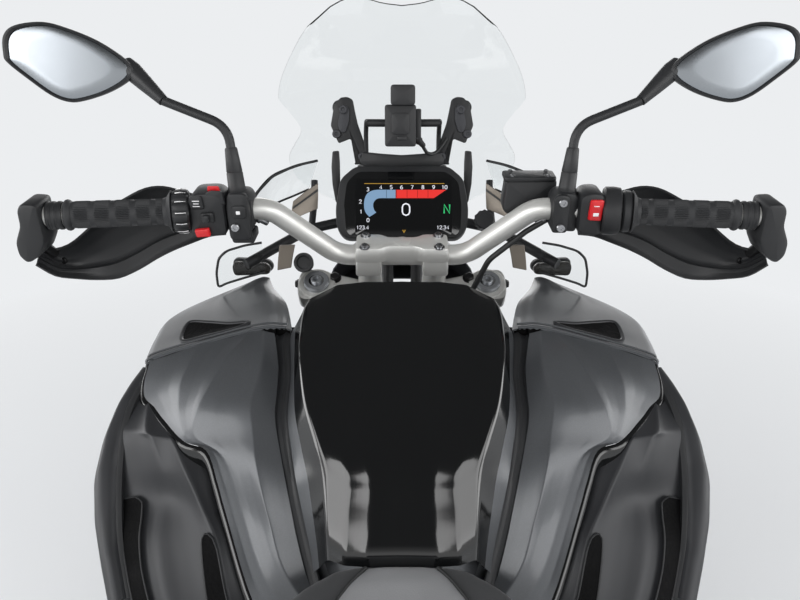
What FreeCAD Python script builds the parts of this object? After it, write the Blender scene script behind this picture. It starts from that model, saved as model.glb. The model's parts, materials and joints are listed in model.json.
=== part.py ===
"""Adventure motorcycle with a flat-twin engine, shaft drive and a fork carried by a control arm.

Row frame: +Y forward, +X to the rider's right, +Z up, origin on the floor in the middle of the machine's box.
The machine stands on its centre stand and its front wheel, so the rear tyre clears the floor.
Millimetres throughout. The driving dimensions are in the spreadsheet; everything else is worked out from them.
"""
import FreeCAD
import Part
import Sketcher
import math
import os

from FreeCAD import Vector

doc = FreeCAD.newDocument("adventure_motorcycle")
sheet = doc.addObject("Spreadsheet::Sheet", "Sizes")

# alias, value, what it is
DRIVING_SIZES = [
    ("wheelbase", 1504, "front axle to rear axle"),
    ("front_axle_y", 810, "front axle ahead of the origin"),
    ("rear_lift", 25, "rear tyre above the floor on the centre stand"),
    ("rake_angle", 24.9, "steering axis back from vertical, degrees"),
    ("trail_length", 95.4, "steering axis ahead of the front contact patch at the floor"),
    ("front_tyre_radius", 325, "outside radius, 120/70 R19"),
    ("front_tyre_width", 120, "section width"),
    ("front_rim_radius", 241, "bead seat radius"),
    ("front_rim_half", 47, "half the rim's width"),
    ("rear_tyre_radius", 318, "outside radius, 170/60 R17"),
    ("rear_tyre_width", 170, "section width"),
    ("rear_rim_radius", 216, "bead seat radius"),
    ("rear_rim_half", 64, "half the rim's width"),
    ("axle_radius", 12.5, "front and rear axle"),
    ("running_gap", 0.1, "radial clearance of a turning piece on its axle or pin"),
    ("seat_gap", 0.3, "clearance between pieces that seat on each other"),
    ("front_hub_radius", 34, "seat of the disc carriers on the hub"),
    ("front_hub_half", 84, "half the front hub's length"),
    ("rear_hub_radius", 60, "seat of the disc carrier on the hub"),
    ("rear_hub_half", 72, "half the rear hub's length"),
    ("spoke_radius", 2.6, "wire spokes"),
    ("front_disc_radius", 152.5, "front brake discs"),
    ("rear_disc_radius", 138, "rear brake disc"),
    ("disc_thickness", 5, "brake discs"),
    ("disc_offset", 78, "front discs from the middle of the wheel"),
    ("rear_disc_offset", 66, "rear disc from the middle of the wheel"),
    ("fork_spacing", 260, "between the fork legs' centre lines"),
    ("stanchion_radius", 18.5, "upper fork tube"),
    ("slider_radius", 27, "lower fork leg"),
    ("yoke_height", 1119, "top face of the yoke, along the steering axis from the floor"),
    ("yoke_thickness", 28, "top yoke plate"),
    ("bridge_drop", 334, "fork bridge below the top of the yoke"),
    ("bridge_thickness", 34, "fork bridge"),
    ("bar_radius", 14.3, "handlebar tube"),
    ("bar_lead", 20, "handlebar's middle ahead of the steering axis"),
    ("bar_rise", 90, "handlebar's middle above the top of the yoke"),
    ("clamp_lean", 6, "handlebar clamp back from level, degrees"),
    ("clamp_half", 66, "half the handlebar clamp's width"),
    ("grip_radius", 17.5, "rubber grip"),
    ("crank_y", 235, "engine's crank axis"),
    ("crank_z", 500, "engine's crank axis"),
    ("case_half", 112, "half the crankcase's width"),
    ("cylinder_reach", 432, "outside of the head covers from the middle"),
    ("cylinder_stagger", 17, "left cylinder ahead of the crank axis, right one behind it"),
    ("bore_radius", 72, "cylinder barrel outside its fins"),
    ("fin_count", 7, "cooling fins on a barrel"),
    ("panel_thickness", 4, "moulded body panels"),
    ("screen_thickness", 4, "windscreen and deflectors"),
    ("frame_half", 118, "main frame tubes from the middle"),
    ("frame_tube_radius", 16, "main frame tubes"),
    ("crash_bar_radius", 14, "engine protection bars"),
    ("rack_tube_radius", 9, "luggage rack tubes"),
    ("stand_tube_radius", 13, "centre stand legs"),
    ("stand_pivot_y", -165, "centre stand's pivot"),
    ("stand_pivot_z", 300, "centre stand's pivot"),
    ("stand_pin_radius", 9, "centre stand's pivot pin"),
    ("side_stand_radius", 11, "side stand's leg"),
    ("side_stand_length", 290, "side stand's pivot to its foot"),
    ("side_stand_pin", 6, "side stand's pivot bolt"),
    ("display_width", 196, "instrument housing"),
    ("display_height", 110, "instrument housing"),
    ("display_depth", 26, "instrument housing"),
    ("display_lean", 36, "instrument face back from upright, degrees"),
]
for row, (alias, value, note) in enumerate(DRIVING_SIZES, start=1):
    sheet.set(f"A{row}", note)
    sheet.set(f"B{row}", str(value))
    sheet.setAlias(f"B{row}", alias)
doc.recompute()


class SheetSizes:
    """Reads a driving dimension from the spreadsheet by its alias."""

    def __getattr__(self, alias):
        return float(sheet.get(alias))


d = SheetSizes()

X_AXIS, Y_AXIS, Z_AXIS = Vector(1, 0, 0), Vector(0, 1, 0), Vector(0, 0, 1)
ORIGIN = Vector(0, 0, 0)
RAKE = math.radians(d.rake_angle)
AXIS_FOOT = Vector(0, d.front_axle_y + d.trail_length, 0)
AXIS_UP = Vector(0, -math.sin(RAKE), math.cos(RAKE))
AXIS_AHEAD = Vector(0, math.cos(RAKE), math.sin(RAKE))
FRONT_AXLE = Vector(0, d.front_axle_y, d.front_tyre_radius)
REAR_AXLE = Vector(0, d.front_axle_y - d.wheelbase, d.rear_tyre_radius + d.rear_lift)


def steer(x, ahead, up):
    """A point in the fork's own frame: across, ahead of the steering axis, and up along it."""
    return AXIS_FOOT + X_AXIS * x + AXIS_AHEAD * ahead + AXIS_UP * up


def in_steer(point):
    """How far ahead of the steering axis and up along it a point lies."""
    offset = point - AXIS_FOOT
    return offset.dot(AXIS_AHEAD), offset.dot(AXIS_UP)


FORK_AHEAD, AXLE_UP = in_steer(FRONT_AXLE + Vector(0, -10, 0))
FORK_X = d.fork_spacing / 2
BRIDGE_UP = d.yoke_height - d.bridge_drop
BAR_CENTRE = steer(0, d.bar_lead, d.yoke_height + d.bar_rise)

# the side stand's bolt leans, so that the leg folds back along the machine and stands out to the left
SIDE_STAND_PIVOT = Vector(-182, -72, 278)
SIDE_STAND_AXIS = Vector(0.89, 0, -0.455).normalize()
SIDE_STAND_TRAVEL = 98
SIDE_STAND_HALF = d.side_stand_radius + 1

pieces = {}


def keep(label, item):
    """Names the finished object of one sub-part."""
    item.Label = label
    pieces[label] = item
    return item


def shape_object(label, *shapes):
    """Puts shapes made by Part's functions into the document; separate solids of like pieces share a node."""
    feature = doc.addObject("Part::Feature", label)
    feature.Shape = shapes[0] if len(shapes) == 1 else Part.makeCompound(list(shapes))
    return feature


def add(label, *shapes):
    return keep(label, shape_object(label, *shapes))


def number(expression):
    """The value of an expression in the sheet's sizes."""
    return float(sheet.evalExpression(str(expression)))


def cylinder(name, radius, length, start, direction):
    """A cylinder whose radius and length are expressions, from a point along a direction."""
    item = doc.addObject("Part::Cylinder", name)
    item.setExpression("Radius", str(radius))
    item.setExpression("Height", str(length))
    item.Placement = FreeCAD.Placement(start, FreeCAD.Rotation(Z_AXIS, direction))
    return item


def box(name, size_x, size_y, size_z, centre, turn=0):
    """A box whose sizes are expressions, about its centre, turned about X by an angle in degrees."""
    item = doc.addObject("Part::Box", name)
    sizes = [str(size_x), str(size_y), str(size_z)]
    for side, size in zip(("Length", "Width", "Height"), sizes):
        item.setExpression(side, size)
    half = Vector(*[number(size) / 2 for size in sizes])
    rotation = FreeCAD.Rotation(X_AXIS, turn)
    item.Placement = FreeCAD.Placement(centre - rotation.multVec(half), rotation)
    return item


def fused(name, *items):
    whole = doc.addObject("Part::MultiFuse", name)
    whole.Shapes = list(items)
    return whole


def cut(name, base, tool):
    rest = doc.addObject("Part::Cut", name)
    rest.Base = base
    rest.Tool = tool
    return rest


def grouped(name, *items):
    """Like pieces that do not touch, in one node."""
    group = doc.addObject("Part::Compound", name)
    group.Links = list(items)
    return group


def mirror_of(name, item):
    """The same piece on the other side of the machine."""
    other = doc.addObject("Part::Mirroring", name)
    other.Source = item
    other.Base = ORIGIN
    other.Normal = X_AXIS
    return other


def both_sides(name, item):
    return grouped(name, mirror_of(f"{name}_left", item), item)


def new_body(name, place=ORIGIN, turn=FreeCAD.Rotation()):
    body = doc.addObject("PartDesign::Body", name)
    body.Placement = FreeCAD.Placement(place, turn)
    return body


def outline(body, plane_role, corners, rounds=None):
    """A closed sketch on one of a body's origin planes: each corner is a pair of expressions.

    A round maps a corner's index to the middle point of the arc that runs to the next corner.
    """
    rounds = rounds or {}
    plane = next(face for face in body.Origin.OriginFeatures if face.Role == plane_role)
    sketch = body.newObject("Sketcher::SketchObject", f"{body.Name}_outline")
    sketch.AttachmentSupport = (plane, [""])
    sketch.MapMode = "FlatFace"
    spots = [Vector(number(u), number(v), 0) for u, v in corners]
    for i, start in enumerate(spots):
        end = spots[(i + 1) % len(spots)]
        if i in rounds:
            middle = Vector(*[number(value) for value in rounds[i]], 0)
            sketch.addGeometry(Part.Arc(start, middle, end), False)
        else:
            sketch.addGeometry(Part.LineSegment(start, end), False)
    if not rounds:
        for i in range(len(spots)):
            sketch.addConstraint(Sketcher.Constraint("Coincident", i, 2, (i + 1) % len(spots), 1))
        for i, (corner, spot) in enumerate(zip(corners, spots)):
            for kind, expression, value in zip(("DistanceX", "DistanceY"), corner, (spot.x, spot.y)):
                index = sketch.addConstraint(Sketcher.Constraint(kind, -1, 1, i, 1, value))
                if "Sizes" in str(expression):
                    sketch.setExpression(f"Constraints[{index}]", str(expression))
    return sketch


def turned(name, corners, place, rounds=None):
    """A body turned about a wheel's axis: its outline is across (u) and out from the axle (v)."""
    body = new_body(name, place)
    sketch = outline(body, "XZ_Plane", corners, rounds)
    turn = body.newObject("PartDesign::Revolution", f"{name}_turn")
    turn.Profile = sketch
    turn.ReferenceAxis = (sketch, ["H_Axis"])
    turn.Angle = 360
    return body


def slab(name, corners, thickness, place=ORIGIN, turn=FreeCAD.Rotation(), plane="YZ_Plane", rounds=None):
    """A body padded both ways from the middle of its outline."""
    body = new_body(name, place, turn)
    sketch = outline(body, plane, corners, rounds)
    pad = body.newObject("PartDesign::Pad", f"{name}_pad")
    pad.Profile = sketch
    pad.setExpression("Length", str(thickness))
    pad.Midplane = True
    return body


def bar_between(start, end, radius):
    """A round bar from one point to another."""
    return Part.makeCylinder(radius, (end - start).Length, start, end - start)


def box_shape(centre, size_x, size_y, size_z, turn=0):
    block = Part.makeBox(size_x, size_y, size_z, Vector(-size_x / 2, -size_y / 2, -size_z / 2))
    block.rotate(ORIGIN, X_AXIS, turn)
    block.translate(centre)
    return block


def mirrored(shape):
    return shape.mirror(ORIGIN, X_AXIS)


def main_solid(shape):
    """What is left of a piece once a cut has parted small ends from it."""
    return max(shape.Solids, key=lambda solid: solid.Volume)


def bent_path(points, bend_radius):
    """Straight runs joined by tangent arcs of one radius, or less where a run is short."""
    edges = []
    start = points[0]
    for i in range(1, len(points) - 1):
        before, corner, after = points[i - 1], points[i], points[i + 1]
        to_before = (before - corner).normalize()
        to_after = (after - corner).normalize()
        half = to_before.getAngle(to_after) / 2
        shortest = min((before - corner).Length, (after - corner).Length)
        setback = min(bend_radius / math.tan(half), 0.45 * shortest)
        radius = setback * math.tan(half)
        middle = (to_before + to_after).normalize()
        centre = corner + middle * (radius / math.sin(half))
        arc_start = corner + to_before * setback
        arc_end = corner + to_after * setback
        edges.append(Part.LineSegment(start, arc_start).toShape())
        edges.append(Part.Arc(arc_start, centre - middle * radius, arc_end).toShape())
        start = arc_end
    edges.append(Part.LineSegment(start, points[-1]).toShape())
    return Part.Wire(edges)


def tube(points, radius, bend_radius=60):
    """A bent round tube, as one solid."""
    path = bent_path(points, bend_radius)
    ring = Part.Wire(Part.Circle(points[0], points[1] - points[0], radius).toShape())
    return path.makePipeShell([ring], True, False)


def polygon(points):
    """A closed outline of straight edges."""
    return Part.makePolygon([*points, points[0]])


def lofted(sections):
    """A solid ruled through closed outlines that have the same number of points."""
    return Part.makeLoft([polygon(section) for section in sections], True, True)


def plate(grid, inward):
    """A folded plate: a grid of points is its outside, and its inside lies off it by one vector."""
    rows, columns = len(grid), len(grid[0])
    inner = [[point + inward for point in line] for line in grid]
    faces = []

    def quad(a, b, c, e):
        for corners in ((a, b, c), (a, c, e)):
            if (corners[1] - corners[0]).cross(corners[2] - corners[0]).Length > 1e-6:
                faces.append(Part.Face(polygon(list(corners))))

    for i in range(rows - 1):
        for j in range(columns - 1):
            quad(grid[i][j], grid[i][j + 1], grid[i + 1][j + 1], grid[i + 1][j])
            quad(inner[i][j], inner[i + 1][j], inner[i + 1][j + 1], inner[i][j + 1])
        quad(grid[i][0], grid[i + 1][0], inner[i + 1][0], inner[i][0])
        quad(grid[i + 1][-1], grid[i][-1], inner[i][-1], inner[i + 1][-1])
    for j in range(columns - 1):
        quad(grid[0][j + 1], grid[0][j], inner[0][j], inner[0][j + 1])
        quad(grid[-1][j], grid[-1][j + 1], inner[-1][j + 1], inner[-1][j])
    solid = Part.Solid(Part.Shell(faces))
    if solid.Volume < 0:
        return plate([line[::-1] for line in grid], inward)
    merged = solid.removeSplitter()
    return merged if merged.Volume > 0 else solid


def points_of(rows):
    return [[Vector(*point) for point in row] for row in rows]


def tyre(name, prefix, centre):
    """A tyre as a filled ring: bulging side walls and a round crown."""
    half = f"Sizes.{prefix}_tyre_width / 2"
    rim, outside = f"Sizes.{prefix}_rim_radius", f"Sizes.{prefix}_tyre_radius"
    bead, corner = f"0.72 * {half}", f"0.74 * {half}"
    shoulder = f"{outside} - 0.15 * {half}"
    bulge = f"{rim} + 0.42 * ({outside} - {rim})"
    side = [(bead, rim), (half, bulge), (corner, shoulder)]
    corners = side + [("0", outside)] + [(f"-{across}", out) for across, out in reversed(side)]
    return keep(name, turned(name, corners, centre))


def spoked_wheel(name, prefix, centre, spoke_count):
    """Rim, hub and crossed wire spokes from the hub's flanges to the rim's edges."""
    rim, half = f"Sizes.{prefix}_rim_radius - Sizes.seat_gap", f"Sizes.{prefix}_rim_half"
    hub, hub_half = f"Sizes.{prefix}_hub_radius", f"Sizes.{prefix}_hub_half"
    bore = "Sizes.axle_radius + Sizes.running_gap"
    well = [(f"-{half}", rim), (half, rim), (half, f"{rim} - 9"), (f"0.45 * {half}", f"{rim} - 20"),
            (f"-0.45 * {half}", f"{rim} - 20"), (f"-{half}", f"{rim} - 9")]
    ring = turned(f"{name}_ring", well, centre)
    flange = f"0.62 * {hub_half}"
    spool = [(f"-{hub_half}", bore), (hub_half, bore), (hub_half, hub), (flange, hub), (flange, f"{hub} + 12"),
             (f"{flange} - 7", f"{hub} + 12"), (f"{flange} - 10", f"{hub} - 8"), (f"10 - {flange}", f"{hub} - 8"),
             (f"7 - {flange}", f"{hub} + 12"), (f"-{flange}", f"{hub} + 12"), (f"-{flange}", hub), (f"-{hub_half}", hub)]
    core = turned(f"{name}_hub", spool, centre)
    outer_radius, outer_x = number(rim) - 11, 0.8 * number(half)
    inner_radius, inner_x = number(hub) + 7, number(flange) - 4
    spokes = []
    for i in range(spoke_count):
        side = 1 if i % 2 else -1
        lean = 1 if (i // 2) % 2 else -1
        at_rim = 2 * math.pi * i / spoke_count
        at_hub = at_rim + lean * math.radians(28)
        outer = centre + Vector(side * outer_x, outer_radius * math.sin(at_rim), outer_radius * math.cos(at_rim))
        inner = centre + Vector(side * inner_x, inner_radius * math.sin(at_hub), inner_radius * math.cos(at_hub))
        spokes.append(bar_between(inner, outer, d.spoke_radius))
    doc.recompute()
    return add(name, ring.Shape.fuse([core.Shape, *spokes]))


def brake_disc(name, centre, offset, radius, band, hub):
    """A friction band on five arms from a carrier ring that sits on the hub."""
    seat = f"{hub} + Sizes.seat_gap"
    inside = f"{radius} - {band}"
    thick = "Sizes.disc_thickness"
    at = centre + X_AXIS * offset
    start = at - X_AXIS * (d.disc_thickness / 2)
    rim = cut(f"{name}_band", cylinder(f"{name}_outer", radius, thick, start, X_AXIS),
              cylinder(f"{name}_inner", inside, thick, start, X_AXIS))
    ring = cut(f"{name}_carrier", cylinder(f"{name}_carrier_outer", f"{seat} + 16", thick, start, X_AXIS),
               cylinder(f"{name}_carrier_bore", seat, thick, start, X_AXIS))
    arms = []
    for i in range(5):
        reach = number(inside) - number(seat) - 8
        arm = Part.makeBox(d.disc_thickness, 20, reach, start + Vector(0, -10, number(seat) + 12))
        arm.rotate(centre, X_AXIS, 72 * i)
        arms.append(shape_object(f"{name}_arm", arm))
    return fused(name, rim, ring, *arms)


def wheels():
    tyre("front_tyre", "front", FRONT_AXLE)
    spoked_wheel("front_rim", "front", FRONT_AXLE, 40)
    discs = [brake_disc(f"front_disc_{word}", FRONT_AXLE, side * d.disc_offset, "Sizes.front_disc_radius", 38,
                        "Sizes.front_hub_radius") for word, side in (("left", -1), ("right", 1))]
    keep("front_discs", grouped("front_discs", *discs))
    tyre("rear_tyre", "rear", REAR_AXLE)
    spoked_wheel("rear_rim", "rear", REAR_AXLE, 40)
    keep("rear_disc", brake_disc("rear_disc", REAR_AXLE, -d.rear_disc_offset, "Sizes.rear_disc_radius", 36,
                                 "Sizes.rear_hub_radius"))


def fork():
    top, split = d.yoke_height + 6, BRIDGE_UP + 60
    stanchions, legs = [], []
    for word, side in (("left", -1), ("right", 1)):
        x = side * FORK_X
        stanchions.append(cylinder(f"stanchion_{word}", "Sizes.stanchion_radius", top - split,
                                   steer(x, FORK_AHEAD, split), AXIS_UP))
        leg = cylinder(f"leg_{word}", "Sizes.slider_radius", split - AXLE_UP + 34, steer(x, FORK_AHEAD, AXLE_UP - 34), AXIS_UP)
        boss = cylinder(f"boss_{word}", "Sizes.slider_radius - 3", 46, FRONT_AXLE + Vector(x - 23, 0, 0), X_AXIS)
        legs += [leg, boss]
    keep("fork_tubes", grouped("fork_tubes", *stanchions))
    plan = [("-Sizes.fork_spacing / 2", FORK_AHEAD + 22), ("-Sizes.fork_spacing / 2", FORK_AHEAD - 22), (-38, -30),
            (38, -30), ("Sizes.fork_spacing / 2", FORK_AHEAD - 22), ("Sizes.fork_spacing / 2", FORK_AHEAD + 22)]
    lean = FreeCAD.Rotation(X_AXIS, d.rake_angle)
    bridge = slab("bridge", plan, "Sizes.bridge_thickness", steer(0, 0, BRIDGE_UP), lean, "XY_Plane")
    axle = cylinder("front_axle", "Sizes.axle_radius", "Sizes.fork_spacing + 70",
                    FRONT_AXLE - X_AXIS * (FORK_X + 35), X_AXIS)
    keep("fork_legs", fused("fork_legs", *legs, bridge, axle))

    plane = d.yoke_height - d.yoke_thickness / 2
    edge = FORK_AHEAD - 30
    corners = [("-Sizes.fork_spacing / 2", FORK_AHEAD + 16), (-60, 44), (60, 44), ("Sizes.fork_spacing / 2", FORK_AHEAD + 16),
               ("Sizes.fork_spacing / 2", FORK_AHEAD - 20), (44, -24), (-44, -24), ("-Sizes.fork_spacing / 2", FORK_AHEAD - 20)]
    web = slab("yoke_web", corners, "Sizes.yoke_thickness - 6", steer(0, 0, plane), lean, "XY_Plane")
    rings, risers, holes = [], [], []
    clamp_turn = FreeCAD.Rotation(X_AXIS, d.clamp_lean)
    clamp_up = clamp_turn.multVec(Z_AXIS)
    for word, side in (("left", -1), ("right", 1)):
        foot = steer(side * FORK_X, FORK_AHEAD, d.yoke_height - d.yoke_thickness)
        rings.append(cylinder(f"ring_{word}", "Sizes.stanchion_radius + 10", "Sizes.yoke_thickness", foot, AXIS_UP))
        rise = d.bar_rise - 6
        risers.append(cylinder(f"riser_{word}", 18, rise, steer(side * 46.5, d.bar_lead, d.yoke_height - 5), AXIS_UP))
        seat_block = BAR_CENTRE + X_AXIS * (side * 46.5) - clamp_up * 12
        risers.append(box(f"riser_head_{word}", 37, 38, 24, seat_block, d.clamp_lean))
        hole = steer(side * FORK_X, FORK_AHEAD, d.yoke_height - d.yoke_thickness - 2)
        holes.append(cylinder(f"ring_bore_{word}", "Sizes.stanchion_radius + 0.02", 60, hole, AXIS_UP))
    seat = BAR_CENTRE - X_AXIS * (d.clamp_half + 2)
    holes.append(cylinder("bar_seat", "Sizes.bar_radius + 0.02", "2 * Sizes.clamp_half + 4", seat, X_AXIS))
    keep("top_yoke", cut("top_yoke", fused("yoke_blank", web, *rings, *risers), fused("yoke_holes", *holes)))
    # two blocks with ears for their screws, and a lower bridge between them
    ears = [(-24, 0.3), (24, 0.3), (24, 14), (17, 22), (-17, 22), (-24, 14)]
    blocks = [slab(f"clamp_block_{word}", ears, 37, BAR_CENTRE + X_AXIS * (side * 46.5), clamp_turn)
              for word, side in (("left", -1), ("right", 1))]
    low_ears = [(-17, 0.3), (17, 0.3), (17, 15), (12, 19.5), (-12, 19.5), (-17, 15)]
    waist = slab("clamp_bridge", low_ears, 60, BAR_CENTRE, clamp_turn)
    tunnel = cylinder("clamp_seat", "Sizes.bar_radius + 0.02", "2 * Sizes.clamp_half + 4", seat, X_AXIS)
    keep("bar_clamp", cut("bar_clamp", fused("clamp_blank", waist, *blocks), tunnel))


# right half of the handlebar; its outer straight carries the grip and the controls
BAR_POINTS = [BAR_CENTRE, BAR_CENTRE + Vector(89, 0, 0), BAR_CENTRE + Vector(176, -21, 77), BAR_CENTRE + Vector(447, -75, 87)]
BAR_OUT = (BAR_POINTS[3] - BAR_POINTS[2]).normalize()


def along_bar(x):
    """The point of the bar's outer straight at that distance from the middle of the machine."""
    return BAR_POINTS[2] + BAR_OUT * ((x - BAR_POINTS[2].x) / BAR_OUT.x)


def block_on_bar(x, length, deep, tall, ahead=0, up=0):
    """A block in line with the bar's outer straight."""
    block = Part.makeBox(length, deep, tall, Vector(-length / 2, -deep / 2, -tall / 2))
    block.Placement = FreeCAD.Placement(along_bar(x) + Vector(0, ahead, up), FreeCAD.Rotation(X_AXIS, BAR_OUT))
    return block


def handlebar():
    left = [Vector(-p.x, p.y, p.z) for p in reversed(BAR_POINTS[1:])]
    add("handlebar", tube([*left, *BAR_POINTS[1:]], d.bar_radius, 48))
    on_bar = d.bar_radius + 0.02
    bore = bar_between(along_bar(190), along_bar(447.2), on_bar)
    sleeve = bar_between(along_bar(302), along_bar(426), d.grip_radius)
    flange = bar_between(along_bar(298), along_bar(304), 24)
    grip = sleeve.fuse(flange).cut(bore)
    add("grips", mirrored(grip), grip)
    # switch block, its turning ring, and the clamp that carries the lever and the mirror
    cube = block_on_bar(249, 48, 44, 52)
    ring = bar_between(along_bar(270), along_bar(296), 22)
    clamp = block_on_bar(211, 34, 38, 56)
    lever = tube([along_bar(216) + Vector(0, 16, -8), along_bar(238) + Vector(0, 50, -14),
                  along_bar(330) + Vector(0, 56, -18), along_bar(425) + Vector(0, 48, -20)], 6.5, 40)
    control = cube.fuse([ring, clamp, lever]).cut(bore)
    # the brake fluid tank stands ahead of the bar, on an arm from the clamp
    tank = Part.makeBox(69, 36, 48, Vector(139, 417, 1168)).fuse(Part.makeBox(12, 18, 20, Vector(195, 404.6, 1170)))
    add("controls", mirrored(control), control.fuse(tank))

    # across, ahead of the bar, top edge, bottom edge
    guard_rows = [(246, 62, -14, -56), (272, 78, -4, -64), (322, 88, 2, -84), (345, 88, 12, -92), (372, 87, 4, -110),
                  (400, 84, -10, -124), (450, 68, -16, -118), (480, 30, -20, -72)]
    grid = []
    for x, ahead, top, bottom in guard_rows:
        base = along_bar(x)
        grid.append([base + Vector(0, ahead - 16, top), base + Vector(0, ahead, (top + bottom) / 2),
                     base + Vector(0, ahead - 10, bottom)])
    shell = plate(grid, Vector(0, -d.panel_thickness, 0))
    collar = bar_between(along_bar(429), along_bar(448), d.grip_radius)
    weight = bar_between(along_bar(447.3), along_bar(470), 22)
    inner_lug = bar_between(along_bar(252) + Vector(0, 16, -22), along_bar(252) + Vector(0, 64, -44), 6)
    outer_lug = bar_between(along_bar(460), along_bar(472) + Vector(0, 30, -34), 9)
    guard = shell.fuse([collar, weight, outer_lug, inner_lug]).cut([control, bore])
    add("hand_guards", mirrored(main_solid(guard)), main_solid(guard))
    brake_hose()


def brake_hose():
    """The front brake's hose from its lever to the right caliper, and the one that crosses to the left."""
    start = along_bar(193) + Vector(0, 6, -18)
    low = [steer(118, 2, 620), steer(104, 16, 548), steer(98, 25, 518)]
    down = [start, Vector(168, 400, 1146), Vector(120.5, 401.6, 1103), steer(99, -4, 1150), steer(99, -4, 1050),
            steer(112, -2, 850), *low]
    across = [steer(116, 3, 692), steer(80, 42, 744), steer(-80, 42, 744), steer(-116, 3, 680)]
    across += [Vector(-p.x, p.y, p.z) for p in low]
    add("brake_hoses", tube(down, 4, 30).fuse(tube(across, 4, 30)))


def mirrors():
    foot = along_bar(214) + Vector(0, 4, 22)
    bend = Vector(221, 405, 1288)
    arm_end = Vector(300, 412, 1321)
    stem = tube([foot, bend, arm_end], 6, 24).fuse(bar_between(foot, foot + (bend - foot) * 0.5, 10))
    # across and up in the mirror's own plane
    edge = [(-88, 12), (-60, -16), (0, -44), (28, -47), (60, -34), (84, -8), (86, 18), (70, 38), (40, 44), (0, 34), (-50, 26)]
    middle = Vector(412, 418, 1363)
    facing = Vector(-0.1, -0.97, 0.22).normalize()
    up = Vector(0, 0.22, 0.97).normalize()
    across = up.cross(facing).normalize()

    def ring(scale, back):
        return polygon([middle + across * (u * scale) + up * (v * scale) - facing * back for u, v in edge])

    shell = Part.makeLoft([ring(0.97, -2), ring(1, 4), ring(0.86, 20), ring(0.5, 34)], True, True)
    neck = bar_between(arm_end, middle - across * 62 + up * 4 - facing * 14, 11)
    head = main_solid(shell.fuse([neck, stem]).cut(block_on_bar(211, 34, 38, 56.6)))
    add("mirrors", mirrored(head), head)


def front_end():
    inner = d.front_tyre_radius + 24
    arch = [(-66, inner - 34), (-62, inner), (62, inner), (66, inner - 34), (70, inner - 34), (66, inner + 4),
            (-66, inner + 4), (-70, inner - 34)]
    profile = Part.Face(polygon([FRONT_AXLE + Vector(x, 0, r) for x, r in arch]))
    profile.rotate(FRONT_AXLE, X_AXIS, -62)
    guard = profile.revolve(FRONT_AXLE, X_AXIS, 128)
    lugs = []
    for side in (-1, 1):
        near, far = steer(side * 60, FORK_AHEAD, AXLE_UP + inner - 20), steer(side * FORK_X, FORK_AHEAD, AXLE_UP + inner - 20)
        lugs.append(bar_between(near, far, 13))
    legs = [bar_between(steer(side * FORK_X, FORK_AHEAD, AXLE_UP), steer(side * FORK_X, FORK_AHEAD, BRIDGE_UP),
                        d.slider_radius + 0.02) for side in (-1, 1)]
    add("front_mudguard", guard.fuse(lugs).cut(Part.makeCompound(legs)))
    calipers = []
    # behind the axle and above it, from front to rear round the block
    block = [(-84, 28), (-60, 62), (-66, 118), (-96, 148), (-134, 128), (-140, 92), (-112, 40)]
    for word, side in (("left", -1), ("right", 1)):
        body = slab(f"caliper_{word}", block, 46, FRONT_AXLE + X_AXIS * (side * (d.disc_offset + 8)))
        start = FRONT_AXLE + X_AXIS * (side * d.disc_offset - d.disc_thickness / 2 - 5)
        slot = cylinder(f"caliper_slot_{word}", "Sizes.front_disc_radius + 5", "Sizes.disc_thickness + 10", start, X_AXIS)
        doc.recompute()
        calipers.append(body.Shape.cut(slot.Shape).cut(Part.makeCompound(legs)))
    add("front_calipers", *calipers)


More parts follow.
